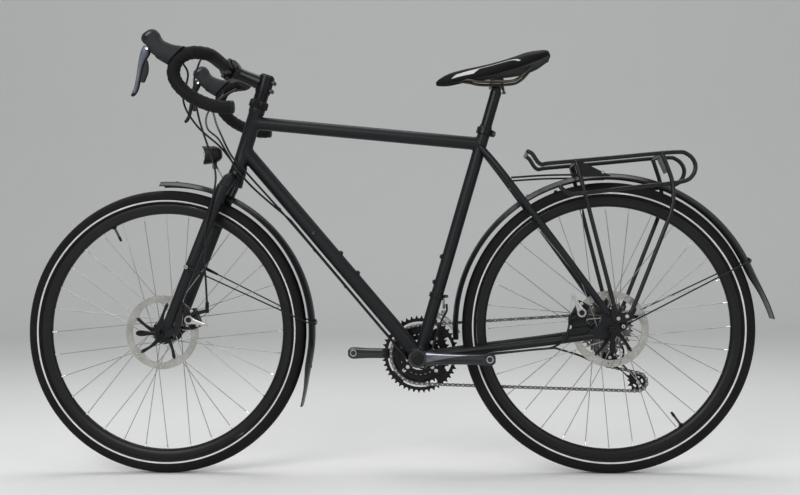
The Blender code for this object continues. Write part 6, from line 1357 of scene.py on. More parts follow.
def make_front_derailleur():
    """The band round the seat tube, the arm, and two arched plates that follow the outer ring."""
    centre = along_seat(0.153)
    inner = SEAT_R + 0.00045
    band = lathe([(inner, -0.006), (inner + 0.0026, -0.006), (inner + 0.0032, -0.0053),
        (inner + 0.0032, 0.0053), (inner + 0.0026, 0.006), (inner, 0.006)], centre, SEAT_UP, 56)
    ear = sections(spaced(centre - Z * 0.0015, -X, (0.017, 0.0225, 0.0268, 0.028)), Z, Y,
        [0.0042, 0.004, 0.0034, 0.002], [0.0058, 0.0058, 0.0052, 0.0036], 0.7, 20)
    clamp_bolt = bolt(centre + vec(-0.0238, 0.0056, -0.0015), Y, 0.0036, 0.0032)
    tower = sections(spaced(centre - vec(0.001, 0.0, 0.003), -Y, (0.0168, 0.022, 0.03, 0.0338)), X, Z,
        [0.01, 0.0108, 0.0106, 0.0086], [0.0082, 0.0088, 0.0086, 0.0068], 0.55, 28)
    piece("front_derailleur_band", [(BLACK_ALLOY, band, ear, tower), (DARK_STEEL, clamp_bolt)],
        "frame_body", "front_derailleur_clamp", 32.0)
    high = vec(centre[0] - 0.016, -0.025, centre[2] - 0.008)
    low = vec(centre[0] - 0.016, -0.036, centre[2] - 0.034)
    link = sections(spaced(high, unit(low - high), (0.0, 0.003, 0.014, 0.0245, 0.0275)), X, Y,
        [0.0026, 0.0034, 0.003, 0.0034, 0.0026], [0.0052, 0.0064, 0.0052, 0.0064, 0.0052], 0.6, 20)
    piece("front_derailleur_arm", [(SILVER, link)], "front_derailleur_link_body",
        "front_derailleur_link", 32.0)
    angles = np.radians(np.linspace(112.0, 152.0, 15))

    def arc_plate(y_low, y_high, shift):
        inside = polar(BB, 0.099, angles) + [-shift, 1.5 * shift]
        loop = rounded(np.vstack([inside, polar(BB, 0.113, angles)[::-1]]), 0.004, 3)
        slots = [sector_hole(BB + vec(-shift * 0.5, 0.0, shift * 0.7), 0.1035, 0.1085, np.radians(a),
            np.radians(a + 8.0), 0.0015) for a in (118.0, 130.0, 142.0)]
        return slab(loop, y_low, y_high, 0.0003, slots)

    lip = sector_hole(BB, 0.1122, 0.1138, angles[0], angles[-1], 0.0004)
    folds = [slab(lip, y, y + 0.0024, 0.0003) for y in (-0.06, -0.0454)]
    tail = BB + 0.106 * at_angle(angles[-1]) + vec(0.002, 0.0, 0.003)
    pin = rod(tail - Y * 0.0602, tail - Y * 0.0428, 0.0021, sides=16)
    bridge = sections(spaced(BB + vec(-0.054, 0.0, 0.0972), -Y, (0.036, 0.045, 0.0595)), X, Z,
        [0.006, 0.0058, 0.0056], [0.0012, 0.0011, 0.001], 0.5, 16)
    lug = sections(low + [[0.0015, -0.003, -0.016], [0.0015, -0.0027, -0.0095],
        [0.0015, -0.0027, -0.003]], X, Y, [0.0052, 0.0055, 0.005], [0.0052, 0.0056, 0.005], 0.6, 20)
    piece("front_derailleur_plates", [(SILVER, arc_plate(-0.06, -0.0585, 0.0),
        arc_plate(-0.0445, -0.043, 0.002), *folds, pin, bridge, lug)], "front_derailleur_cage_body",
        "front_derailleur_cage", 32.0)


make_chain()
make_cassette()
make_left_crank()
make_right_crank()
make_rear_derailleur()
make_front_derailleur()


# Cockpit

STEM_WAY = at_angle(np.radians(24.0))
STEM_UP = quarter_on(STEM_WAY)
STEM_RISE, STEM_REACH, BAR_HOLE_R = 0.0605, 0.095, 0.01605
STEM_MIDDLE = along_head(HEAD_LENGTH + STEM_RISE)
BAR = STEM_MIDDLE + STEM_WAY * STEM_REACH
BAR_Y = 0.213


def make_stem():
    """Clamp on the steerer with its slit, cap and pinch bolts, the arm, and the bar's faceplate."""
    turn = np.radians(np.linspace(12.0, 348.0, 60))
    back = np.cross(STEER_UP, Y)
    back = back if back[0] < 0 else -back
    rows = []
    for radius, height in ((0.0143, -0.0208), (0.0182, -0.021), (0.019, -0.0202), (0.019, 0.0207),
            (0.0182, 0.0215), (0.0143, 0.0213)):
        rows.append(STEM_MIDDLE + STEER_UP * height + radius * ring_on(turn, back, Y))
    points = np.stack(rows, axis=1).reshape(-1, 3)
    clamp = capped(points, len(turn), 6)
    cap = turned([(0.0035, 0.0246), (0.0056, 0.0262), (0.014, 0.0258), (0.0164, 0.024),
        (0.0172, 0.0212)], STEM_MIDDLE, STEER_UP, 48)
    stations = smooth_path([(0.012, 0.0176, 0.0172), (0.026, 0.0172, 0.0168), (0.048, 0.016, 0.0156),
        (0.066, 0.016, 0.0158), (0.074, 0.02, 0.0178), (0.077, 0.0225, 0.0192)], 5)
    arm = sections(STEM_MIDDLE + STEM_WAY * stations[:, :1], Y, STEM_UP, stations[:, 1],
        stations[:, 2], 0.82, 40)
    pinch, bolts = [], []
    for height in (0.0105, -0.0105):
        spot = STEM_MIDDLE + STEER_UP * height + back * 0.0205
        bolts.append(bolt(spot + Y * 0.0112, Y, 0.0036, 0.0016))
        for side in SIDES:
            pinch.append(rod(spot + Y * side * 0.0022, spot + Y * side * 0.0112, 0.005, sides=24,
                bevel=0.0008))
    bolts.append(bolt(STEM_MIDDLE + STEER_UP * 0.025, STEER_UP, 0.0046, 0.0018))

    def around(radius, first, last):
        arc = np.radians(np.linspace(first, last, 22))
        return (BAR + radius * ring_on(arc, STEM_WAY, STEM_UP))[:, [0, 2]]

    def beside(pairs, sense=1.0):
        return [(BAR + STEM_WAY * w + STEM_UP * sense * u)[[0, 2]] for w, u in pairs]

    cheek = np.vstack([around(BAR_HOLE_R, 98.0, 262.0), beside(((-0.001, -0.025), (-0.009, -0.0262),
        (-0.019, -0.018), (-0.02, 0.0), (-0.019, 0.018), (-0.009, 0.0262), (-0.001, 0.025)))])
    cheek = slab(rounded(cheek, 0.0012, 2), -0.0225, 0.0225, 0.0012)
    piece("stem_body", [(ANODISED, clamp, cap, arm, cheek, *pinch), (DARK_STEEL, *bolts)],
        "steering_body", "stem", 34.0)
    face, face_bolts = [], []
    for low, high in ((-0.0223, -0.0085), (0.0085, 0.0223), (-0.0086, 0.0086)):
        narrow = abs(low + high) < 1e-6
        outer = 0.0188 if narrow else 0.0215
        last = 62.0 if narrow else 72.0
        loop = np.vstack([around(BAR_HOLE_R, -last, last), around(outer, last, -last)])
        if not narrow:
            lug = [(0.008, 0.0252), (0.0015, 0.0258), (0.0008, 0.017)]
            loop = np.vstack([around(BAR_HOLE_R, -84.0, 84.0), beside(lug[::-1]),
                around(outer, last, -last), beside(lug, -1.0)])
            for reach in (0.0212, -0.0212):
                spot = BAR + STEM_WAY * 0.0078 + STEM_UP * reach + Y * (low + high) / 2
                face_bolts.append(bolt(spot, STEM_WAY, 0.0034, 0.003))
        face.append(slab(rounded(loop, 0.0008, 1), low, high, 0.001))
    piece("stem_cap", [(ANODISED, *face), (DARK_STEEL, *face_bolts)], "steering_body",
        "stem_faceplate", 34.0)
    low, high = HEAD_LENGTH + 0.0198, HEAD_LENGTH + STEM_RISE - 0.0213
    profile = [(0.0146, low)]
    edges = np.linspace(low, high, 4)
    for start, end in zip(edges[:-1], edges[1:]):
        profile += [(0.0166, start), (0.0172, start + 0.0006), (0.0172, end - 0.0006), (0.0166, end)]
    profile += [(0.0146, high)]
    piece("spacers", [(ANODISED, lathe(profile, HEAD_FOOT, STEER_UP, 56))], "steering_body",
        "headset_spacers", 30.0)


def bar_knots(side):
    """The bar's line from its middle to the end of the drop, as the part has it."""
    y = BAR_Y
    outline = np.array([(0.0, 0.0, 0.0), (0.0, 0.05, 0.0), (0.0, 0.16, 0.0), (0.006, 0.196, 0.0),
        (0.03, y, 0.0005), (0.052, y + 0.001, -0.004), (0.0715, y + 0.002, -0.019),
        (0.079, y + 0.002, -0.045), (0.07, y + 0.002, -0.07), (0.044, y + 0.002, -0.096),
        (0.008, y + 0.002, -0.1155), (-0.027, y + 0.002, -0.1255), (-0.054, y + 0.002, -0.1262)])
    return BAR + outline * vec(1.0, side, 1.0)


def wrapped(path, radius, lap, rise):
    """Tape wound round a bar: radius = r + rise * f, f falling from 1 to 0 within each lap.

    A lap's edge moves round with the turn, so the edges make one helix along the path.
    """
    reach = distances_along(path)
    _, first, second = frames_along(path)
    turn = full_turn(44)
    phase = (reach[:, None] / lap + turn[None] / (2 * np.pi)) % 1.0
    step = np.where(phase < 0.1, phase / 0.1, 1.0 - (phase - 0.1) / 0.9)
    ends = np.clip(np.minimum(reach, reach[-1] - reach) / 0.004, 0.0, 1.0)
    size = radius + rise * (step - 0.5) * ends[:, None] - 0.0012 * (1.0 - ends[:, None]) ** 2
    ring = ring_on(turn, first, second)
    return capped((path[:, None] + size[..., None] * ring).reshape(-1, 3), len(path), len(turn))


def make_bar():
    """The bare clamp section, the wound tape with its end plug, and the finishing bands."""
    middle = np.concatenate([np.linspace(-0.064, -0.046, 6), np.linspace(-0.036, 0.036, 4),
        np.linspace(0.046, 0.064, 6)])
    radii = np.interp(np.abs(middle), [0.0, 0.036, 0.046, 0.07], [0.0159, 0.0159, 0.0119, 0.0119])
    piece("bar_middle", [(ANODISED, swept(BAR + middle[:, None] * Y, radii, 48))], "steering_body",
        "handlebar", 40.0)
    for side, name in ((1.0, "left"), (-1.0, "right")):
        knots = bar_knots(side)[2:]
        path = smooth_path(np.vstack([BAR + Y * side * 0.06, BAR + Y * side * 0.11, knots]), 14)
        path = evenly(path, 640)
        onward = unit(path[-1] - path[-2])
        plug = turned([(0.015, 0.0), (0.015, 0.0022), (0.0134, 0.0046), (0.008, 0.0056)],
            path[-1] + onward * 0.0002, onward, 40)
        band = turned(both_ends([(0.01545, 0.0068), (0.0146, 0.0075)]), BAR + Y * side * 0.068, Y, 44)
        piece(name + "_wound_tape", [(TAPE, wrapped(path, 0.015, 0.0145, 0.0011)),
            (PLASTIC, plug, band)], "steering_body", name + "_bar_tape", 60.0)


# Each station: x and z of the upper line, x and z of the lower line, half width
HOOD_STATIONS = ((0.0515, 0.0144, 0.0921, -0.0265, 0.0165), (0.0766, 0.0188, 0.1011, -0.0212, 0.0169),
    (0.0966, 0.0268, 0.1186, -0.0102, 0.0165), (0.1053, 0.0346, 0.1329, 0.0018, 0.0155),
    (0.1116, 0.0466, 0.1426, 0.0188, 0.0158), (0.1191, 0.054, 0.1516, 0.0308, 0.015),
    (0.1276, 0.0557, 0.1506, 0.0413, 0.0105))
# Each station: x, z, lean in degrees, half depth, half width
LEVER_STATIONS = ((0.1381, 0.0173, 10.0, 0.0078, 0.0096), (0.1436, 0.0028, 15.0, 0.0098, 0.0097),
    (0.1501, -0.0132, 12.0, 0.0075, 0.008), (0.1556, -0.0332, 8.0, 0.0055, 0.007),
    (0.1601, -0.0562, 6.0, 0.0048, 0.0065), (0.1651, -0.0782, 20.0, 0.0046, 0.0062),
    (0.1716, -0.0897, 38.0, 0.0044, 0.006), (0.1771, -0.0942, 50.0, 0.003, 0.0045))


def hood_skin(y):
    """Rounded sections from the bar to the horn, with a slot sunk in the lower side for the lever.

    A section's point is middle + a * half height * across + b * half width * y, with the outline
    |a|^p + |b|^p = 1. Points of the slot's floor go up until they are behind its back wall or
    above its roof.
    """
    table = smooth_path(HOOD_STATIONS, 9)
    high = np.stack([table[:, 0], table[:, 1]], axis=1)
    low = np.stack([table[:, 2], table[:, 3]], axis=1)
    width = table[:, 4]
    middle, half = (high + low) / 2, np.linalg.norm(high - low, axis=1) / 2
    across = (high - low) / (2 * half[:, None])
    mouth = 0.0099 / width
    power = 2.55
    edge = (1 - mouth ** power) ** (1 / power)
    turn = np.linspace(0.0, 1.0, 45)
    first = np.arctan2(-edge, mouth)
    angle = first[:, None] + turn[None] * (np.pi - 2 * first[:, None])
    c, s = np.cos(angle), np.sin(angle)
    scale = (np.abs(c) ** power + np.abs(s) ** power) ** (-1 / power)
    b, a = c * scale, s * scale
    floor_b = mouth[:, None] * np.linspace(-1.0, 1.0, 9)[None]
    floor_a = -(1 - np.abs(floor_b) ** power) ** (1 / power)
    floor = middle[:, None] + across[:, None] * (floor_a * half[:, None])[..., None]
    lift = np.zeros(floor.shape[:2])
    corner = np.array([0.133, 0.0269])
    walls = [(np.array([0.9276, -0.3736]), corner), (np.array([-0.3736, -0.9276]), corner)]
    depth = [np.einsum("ijk,k->ij", floor - at, normal) for normal, at in walls]
    inside = (depth[0] > 0) & (depth[1] > 0)
    for (normal, _), deep in zip(walls, depth):
        rate = -(across @ normal)[:, None]
        out = np.where(rate > 0.05, deep / np.maximum(rate, 0.05), 1.0)
        lift = np.where(inside, np.where(lift == 0.0, out, np.minimum(lift, out)), 0.0)
    lift = np.minimum(lift, 1.55 * half[:, None])
    ribs = 0.00022 * np.sin(a[..., None] * 26.0) * np.exp(-((np.arange(len(table)) - 14)
        / 7.0) ** 2)[:, None, None]
    rim = middle[:, None] + across[:, None] * (a * half[:, None])[..., None]
    outside = np.concatenate([rim[..., :1], y + (b * width[:, None])[..., None] + np.sign(b)[..., None]
        * ribs * (np.abs(b)[..., None] > 0.8), rim[..., 1:]], axis=2)
    sunk = floor + across[:, None] * lift[..., None]
    inner = np.concatenate([sunk[..., :1], y + (floor_b * width[:, None])[..., None] * 0.985,
        sunk[..., 1:]], axis=2)
    points = np.concatenate([outside, inner], axis=1)
    rows, columns = points.shape[:2]
    return capped(BAR + points.reshape(-1, 3), rows, columns)


def make_controls(side, name):
    """One side's hood, lever and shift paddle."""
    y = side * (BAR_Y + 0.002)

    def spot(x, z, off=0.0):
        return BAR + vec(x, y + off, z)

    inset, stripes, lean_way = [], [], unit(vec(0.62, 0.0, 0.78))
    for off in SIDES:
        spine = [spot(0.1235, 0.047, off * 0.0148), spot(0.13, 0.042, off * 0.015),
            spot(0.137, 0.036, off * 0.0149), spot(0.1425, 0.032, off * 0.014)]
        inset.append(sections(spine, lean_way, Y, [0.0035, 0.0062, 0.0066, 0.003],
            [0.0006, 0.001, 0.001, 0.0006], 0.7, 24))
        stripe = [spot(0.1275, 0.0465, off * 0.0153), spot(0.1335, 0.0415, off * 0.0159),
            spot(0.139, 0.0368, off * 0.0154)]
        stripes.append(sections(stripe, lean_way, Y, [0.0012, 0.002, 0.0012], [0.0003, 0.0005, 0.0003],
            0.8, 16))
    pins = [bolt(spot(0.1352, 0.0092, off * 0.015), Y * off, 0.0032, 0.0014) for off in SIDES]
    piece(name + "_rubber_hood", [(HOOD, hood_skin(y)), (ANODISED, *inset), (STEEL, *pins),
        (LEVER, *stripes)], "steering_body", name + "_hood", 42.0)
    table = smooth_path(LEVER_STATIONS, 7)
    lean = np.radians(table[:, 2])
    across = np.stack([np.cos(lean), np.zeros(len(lean)), np.sin(lean)], axis=1)
    centres = BAR + np.stack([table[:, 0], np.full(len(table), y), table[:, 1]], axis=1)
    core = sections(centres - across * 0.0008 - Y * side * (0.2 * table[:, 4:5]), across, Y,
        table[:, 3] * 0.98, table[:, 4] * 0.8, 0.72, 36)
    last = int(0.84 * len(table))
    skin = sections(centres[:last] + across[:last] * 0.0004 + Y * side * (0.24 * table[:last, 4:5]),
        across[:last], Y, table[:last, 3] * 0.96, table[:last, 4] * 0.76, 0.72, 36)
    piece(name + "_lever_blade", [(PLASTIC, core), (LEVER, skin)], name + "_lever_body",
        name + "_brake_lever", 50.0)
    outline = np.array([(0.1386, -0.0142), (0.1361, -0.0292), (0.1371, -0.0432), (0.1466, -0.0662),
        (0.1566, -0.0642), (0.1542, -0.0512), (0.1488, -0.0302), (0.1429, -0.0157)])
    paddle = slab(rounded(outline, 0.006, 4) + BAR[[0, 2]], y - 0.004, y + 0.004, 0.0014)
    dimple = slab(rounded(0.62 * (outline - outline.mean(axis=0)) + outline.mean(axis=0), 0.003, 3)
        + BAR[[0, 2]], y - 0.0045, y + 0.0045, 0.0005)
    piece(name + "_shift_blade", [(PLASTIC, paddle, dimple)], name + "_paddle_body",
        name + "_shift_paddle", 30.0)


make_stem()
make_bar()
make_controls(1.0, "left")
make_controls(-1.0, "right")


# Saddle and seatpost

CLAMP_RISE = 0.10925
CLAMP = along_seat(SEAT_LENGTH + CLAMP_RISE) + X * 0.00517
# Each station: x, height, half width, depth; the section's points are shares of the last two
SADDLE_STATIONS = ((-0.1285, 0.059, 0.03, 0.007), (-0.121, 0.062, 0.05, 0.013), (-0.1, 0.056, 0.069,
    0.02), (-0.071, 0.049, 0.072, 0.024), (-0.041, 0.041, 0.06, 0.0235), (-0.006, 0.034, 0.044,
    0.0215), (0.034, 0.027, 0.031, 0.02), (0.079, 0.02, 0.023, 0.019), (0.115, 0.012, 0.02, 0.0175),
    (0.138, 0.0055, 0.014, 0.0105), (0.147, 0.0022, 0.006, 0.005))
SADDLE_SECTION = ((-0.9, -0.75), (-1.0, -0.35), (-0.93, 0.15), (-0.7, 0.55), (-0.36, 0.72),
    (-0.08, 0.62), (0.08, 0.62), (0.36, 0.72), (0.7, 0.55), (0.93, 0.15), (1.0, -0.35), (0.9, -0.75),
    (0.55, -0.55), (0.0, -0.45), (-0.55, -0.55))
ROW_STEPS, COLUMN_STEPS = 12, 8


def saddle_surface():
    """The cover as a grid: point = clamp + (x, half width * s, height + depth * lift).

    The section (s, lift) is a closed smooth curve, and a seam sinks it by 0.7 mm along the edge
    between flank and top, and by 1.2 mm along the middle of the rear half.
    """
    table = smooth_path(SADDLE_STATIONS, ROW_STEPS)
    ring = np.array(SADDLE_SECTION[-3:] + SADDLE_SECTION + SADDLE_SECTION[:3])
    ring = smooth_path(ring, COLUMN_STEPS)[3 * COLUMN_STEPS:18 * COLUMN_STEPS]
    x, z, half, depth = (table[:, k][:, None] for k in range(4))
    s, lift = ring[:, 0][None], ring[:, 1][None]
    points = np.stack([x + 0 * s, half * s, z + depth * lift], axis=2)
    column = np.arange(15 * COLUMN_STEPS) / COLUMN_STEPS
    seam = sum(np.exp(-((column - at) / 0.1) ** 2) for at in (2.85, 8.15))[None]
    rear = np.clip((-0.012 - x) / 0.03, 0.0, 1.0)
    middle = np.exp(-((column - 5.5) / 0.42) ** 2)[None] * np.clip((0.105 - x) / 0.05, 0.0, 1.0)
    points[..., 2] -= 0.0007 * seam * rear + 0.0012 * middle
    return CLAMP + points


def surface_at(surface, rows, columns):
    """Points between the grid's own, by their row and column numbers, and the way out there."""
    across = np.roll(surface, -1, axis=1) - np.roll(surface, 1, axis=1)
    out = unit(np.cross(across, np.gradient(surface, axis=0)))
    r0 = np.clip(np.floor(rows).astype(int), 0, len(surface) - 2)
    c0 = np.floor(columns).astype(int)
    u, v = (rows - r0)[..., None], (columns - c0)[..., None]
    found = []
    for field in (surface, out):
        c1 = (c0 + 1) % field.shape[1]
        found.append((1 - u) * ((1 - v) * field[r0, c0 % field.shape[1]] + v * field[r0, c1]) + u
            * ((1 - v) * field[r0 + 1, c0 % field.shape[1]] + v * field[r0 + 1, c1]))
    middle = surface.mean(axis=(0, 1))
    sign = np.sign(np.sum(found[1] * (found[0] - middle)))
    return found[0], unit(found[1]) * sign


def overlay(surface, edges, lift=0.0005):
    """A thin strip on the surface between two edges, each a list of (row, column) knots."""
    upper, lower = (smooth_path(edge, 8) for edge in edges)
    share = np.linspace(0.0, 1.0, 7)[None, :, None]
    spots = upper[:, None] * (1 - share) + lower[:, None] * share
    points, out = surface_at(surface, spots[..., 0], spots[..., 1])
    bow = (1 - (2 * share - 1) ** 4)
    top = points + out * (lift * bow)
    under = (points - out * 0.0006)[:, ::-1]
    rows = np.concatenate([top, under], axis=1)
    return capped(rows.reshape(-1, 3), len(rows), rows.shape[1])


def row_at(x):
    """The row number at which the cover has that x from the clamp."""
    table = smooth_path(SADDLE_STATIONS, ROW_STEPS)
    return float(np.interp(x, table[:, 0], np.arange(len(table))))


def make_saddle():
    """The padded cover with its pale panels, the bent rails, and the seatpost with its clamp."""
    surface = saddle_surface()
    cover = capped(surface.reshape(-1, 3), *surface.shape[:2])
    panels, trims = [], []
    for other_flank in (False, True):
        def at(x, column):
            return row_at(x), (11.0 - column if other_flank else column) * COLUMN_STEPS
        panels.append(overlay(surface, ([at(0.098, 8.95), at(0.07, 8.75), at(0.038, 8.6)],
            [at(0.11, 9.75), at(0.084, 9.7), at(0.056, 9.7)])))
        trims.append(overlay(surface, ([at(0.042, 8.6), at(0.0, 8.6), at(-0.028, 8.66),
            at(-0.044, 8.95), at(-0.056, 9.6)], [at(0.042, 8.74), at(0.0, 8.72), at(-0.026, 8.78),
            at(-0.039, 9.05), at(-0.051, 9.66)])))
        for x in (-0.072, -0.08, -0.088, -0.096):
            trims.append(overlay(surface, ([at(x, 7.55), at(x - 0.004, 7.8), at(x - 0.007, 8.0)],
                [at(x - 0.002, 7.55), at(x - 0.0058, 7.8), at(x - 0.0085, 8.0)]), 0.0003))
    made = piece("saddle_cover", [(COVER, cover), (COVER_WHITE, *panels), (COVER_WHITE, *trims)],
        "saddle_body", "saddle", 60.0)
    left = smooth_path([(-0.08, 0.037, 0.031), (-0.06, 0.033, 0.011), (-0.034, 0.0225, 0.0),
        (0.034, 0.022, 0.0), (0.066, 0.02, 0.006), (0.104, 0.012, 0.011), (0.12, 0.004, 0.011)], 10)
    rail = CLAMP + np.vstack([left, (left * OVER)[::-1]])
    piece("rail_wire", [(BRONZE, swept(rail, 0.0035, 20))], "saddle_body", "saddle_rails",
        60.0)
    neck = SEAT_LENGTH + CLAMP_RISE - 0.0072
    post = turned([(0.013, SEAT_LENGTH - 0.223), (0.0136, SEAT_LENGTH - 0.2222),
        (0.0136, neck - 0.0185), (0.013, neck - 0.018)], BB, SEAT_UP, 56)
    top = CLAMP - Z * 0.013
    root = along_seat(neck - 0.0185)
    share = np.array([0.0, 0.25, 0.6, 1.0])[:, None]
    yoke = sections(root * (1 - share) + top * share, Y, unit(np.cross(top - root, Y)),
        [0.0142, 0.014, 0.015, 0.0195], [0.0142, 0.0136, 0.0115, 0.0105], 0.9, 40)
    cradle = sections(CLAMP + [[-0.0185, 0.0, -0.0078], [-0.016, 0.0, -0.0086], [0.0, 0.0, -0.0105],
        [0.016, 0.0, -0.0086], [0.0185, 0.0, -0.0078]], Y, Z, [0.024, 0.0262, 0.0266, 0.0262, 0.024],
        [0.003, 0.0045, 0.0058, 0.0045, 0.003], 0.55, 28)
    plates = [sections(CLAMP + Y * (s * 0.0222) + [[-0.017, 0.0, 0.0046], [-0.0145, 0.0, 0.0052],
        [0.0, 0.0, 0.0058], [0.0145, 0.0, 0.0052], [0.017, 0.0, 0.0046]], Y, Z, [0.004, 0.0052, 0.0054,
        0.0052, 0.004], [0.001, 0.002, 0.0024, 0.002, 0.001], 0.6, 20) for s in SIDES]
    screw = [rod(CLAMP + vec(-0.0175, 0.0, -0.0245), CLAMP + vec(-0.0125, 0.0, 0.0055), 0.003,
        sides=16), bolt(CLAMP + vec(-0.0172, 0.0, -0.0225), vec(-0.16, 0.0, -0.98), 0.0046, 0.0046),
        rod(CLAMP + vec(-0.0125, -0.024, -0.0062), CLAMP + vec(-0.0125, 0.024, -0.0062), 0.0026,
        sides=14)]
    ring = turned([(0.0134, neck - 0.024), (0.01385, neck - 0.0237), (0.01385, neck - 0.019),
        (0.0134, neck - 0.0187)], BB, SEAT_UP, 48)
    piece("post_and_clamp", [(ANODISED, post, yoke, cradle, *plates, ring), (DARK_STEEL, *screw)],
        "saddle_body", "seatpost", 34.0)


make_saddle()


# Mudguards, their stays, the rack and the headlight

GUARD_RADIUS = 0.371
STAY_EYE = vec(1.00648, 0.0, 0.507)


def guard_sheet(centre, stations):
    """A crowned strip: radius = R - drop * |s|^2.2 across the width, with a rolled lip at each edge.

    Stations hold angle, radius, half width and crown drop; between them they are interpolated.
    """
    table = smooth_path(stations, 10)
    angle, radius, width, drop = (table[:, k][:, None] for k in range(4))
    angle = np.radians(angle)
    s = np.linspace(-1.0, 1.0, 27)[None]
    lip = 0.0007 * np.exp(-((1 - np.abs(s)) / 0.045) ** 2)
    way = np.stack([np.cos(angle), 0 * angle, np.sin(angle)], axis=2)
    layers = []
    for depth, order in ((0.0, 1), (0.0012, -1)):
        reach = radius - depth - drop * np.abs(s) ** 2.2 + (lip if depth == 0.0 else -lip)
        layer = centre + way * reach[..., None] + Y * (width * s)[..., None] * (1.0
            if depth == 0.0 else 0.985)
        layers.append(layer[:, ::order])
    rows = np.concatenate(layers, axis=1)
    return capped(rows.reshape(-1, 3), len(rows), rows.shape[1])


def rivets_on(centre, angles):
    """Flat rivets on a mudguard's crown, at these angles in degrees."""
    ways = [at_angle(np.radians(degrees)) for degrees in angles]
    return [bolt(centre + way * (GUARD_RADIUS + 0.0002), way, 0.0034, 0.001, 0.3) for way in ways]


def make_mudguards():
    """Both guards: even stations round the wheel, then a flap that flares out at the end."""
    front = [(88.5 + 8.67 * i, GUARD_RADIUS, 0.025, 0.0115) for i in range(13)]
    front += [(197.0, GUARD_RADIUS + 0.001, 0.0245, 0.008), (203.0, GUARD_RADIUS + 0.007, 0.0225,
        0.004), (209.0, GUARD_RADIUS + 0.015, 0.02, 0.002)]
    to_crown = CROWN - FRONT_AXLE
    way = unit(to_crown)
    reach = np.linalg.norm(to_crown)
    tab = sections(spaced(FRONT_AXLE, way, (GUARD_RADIUS - 0.001, GUARD_RADIUS + 0.002,
        reach - 0.0133)), np.cross(way, Y), Y, [0.0065, 0.0058, 0.006], [0.0075, 0.0062, 0.006], 0.6,
        20)
    piece("front_guard", [(GUARD_SKIN, guard_sheet(FRONT_AXLE, front), tab),
        (DARK_STEEL, *rivets_on(FRONT_AXLE, (94.5, 194.0)))], "steering_body", "front_mudguard",
        40.0)
    rear = [(-4.0 + 9.3 * i, GUARD_RADIUS, 0.025, 0.0115) for i in range(18)]
    rear += [(161.0, GUARD_RADIUS + 0.0012, 0.025, 0.01), (169.0, GUARD_RADIUS + 0.0085, 0.0225,
        0.004), (177.5, 0.3892 / np.cos(np.radians(2.5)), 0.01875, 0.0)]
    piece("rear_guard", [(GUARD_SKIN, guard_sheet(REAR_AXLE, rear)),
        (DARK_STEEL, *rivets_on(REAR_AXLE, (2.0, 60.0, 155.5)))], "frame_body", "rear_mudguard",
        40.0)


def make_stay(name, node, anchor, centre, degrees, pivot_y, eye_length, body):
    """A bent wire over the mudguard with a plastic clip and a silver bolt at each end."""
    angle = np.radians(degrees)
    way = at_angle(angle)
    loop = [centre + way * (GUARD_RADIUS + 0.003 + lift) + Y * w for w, lift in ((0.0275, -0.016),
        (0.0258, -0.007), (0.016, -0.001), (0.0, 0.0005))]
    start = anchor + Y * pivot_y
    share = np.linspace(0.0, 1.0, 8)[:-1, None]
    half = np.vstack([start + (loop[0] - start) * share, smooth_path(loop, 6)])
    wire = swept(np.vstack([half, (half[:-1] * OVER)[::-1]]), 0.0018, 14)
    clips, bolts = [], []
    ahead = unit(loop[0] - start)
    for side in SIDES:
        at, along = (given * vec(1.0, side, 1.0) for given in (start, ahead))
        clips.append(sections(spaced(at, along, (-0.002, 0.006, eye_length * 0.7, eye_length)),
            np.cross(along, Y), Y, [0.005, 0.0046, 0.0036, 0.0028], [0.004, 0.004, 0.0034, 0.0028],
            0.8, 20))
        clips.append(rod(at - Y * 0.005, at + Y * 0.005, 0.006, sides=24, bevel=0.0008))
        bolts.append(bolt(at + Y * side * 0.0044, Y * side, 0.0044, 0.0011, 0.45))
    top = centre + way * (GUARD_RADIUS + 0.0012)
    across = np.cross(way, Y)
    bridge = sections(spaced(top, Y, (-0.012, -0.008, 0.0, 0.008, 0.012)), across, way,
        [0.004, 0.0066, 0.007, 0.0066, 0.004], [0.001, 0.002, 0.0024, 0.002, 0.001], 0.7, 20)
    piece(name, [(RACK_COAT, wire), (PLASTIC, bridge, *clips), (STEEL, *bolts)], body, node,
        40.0)


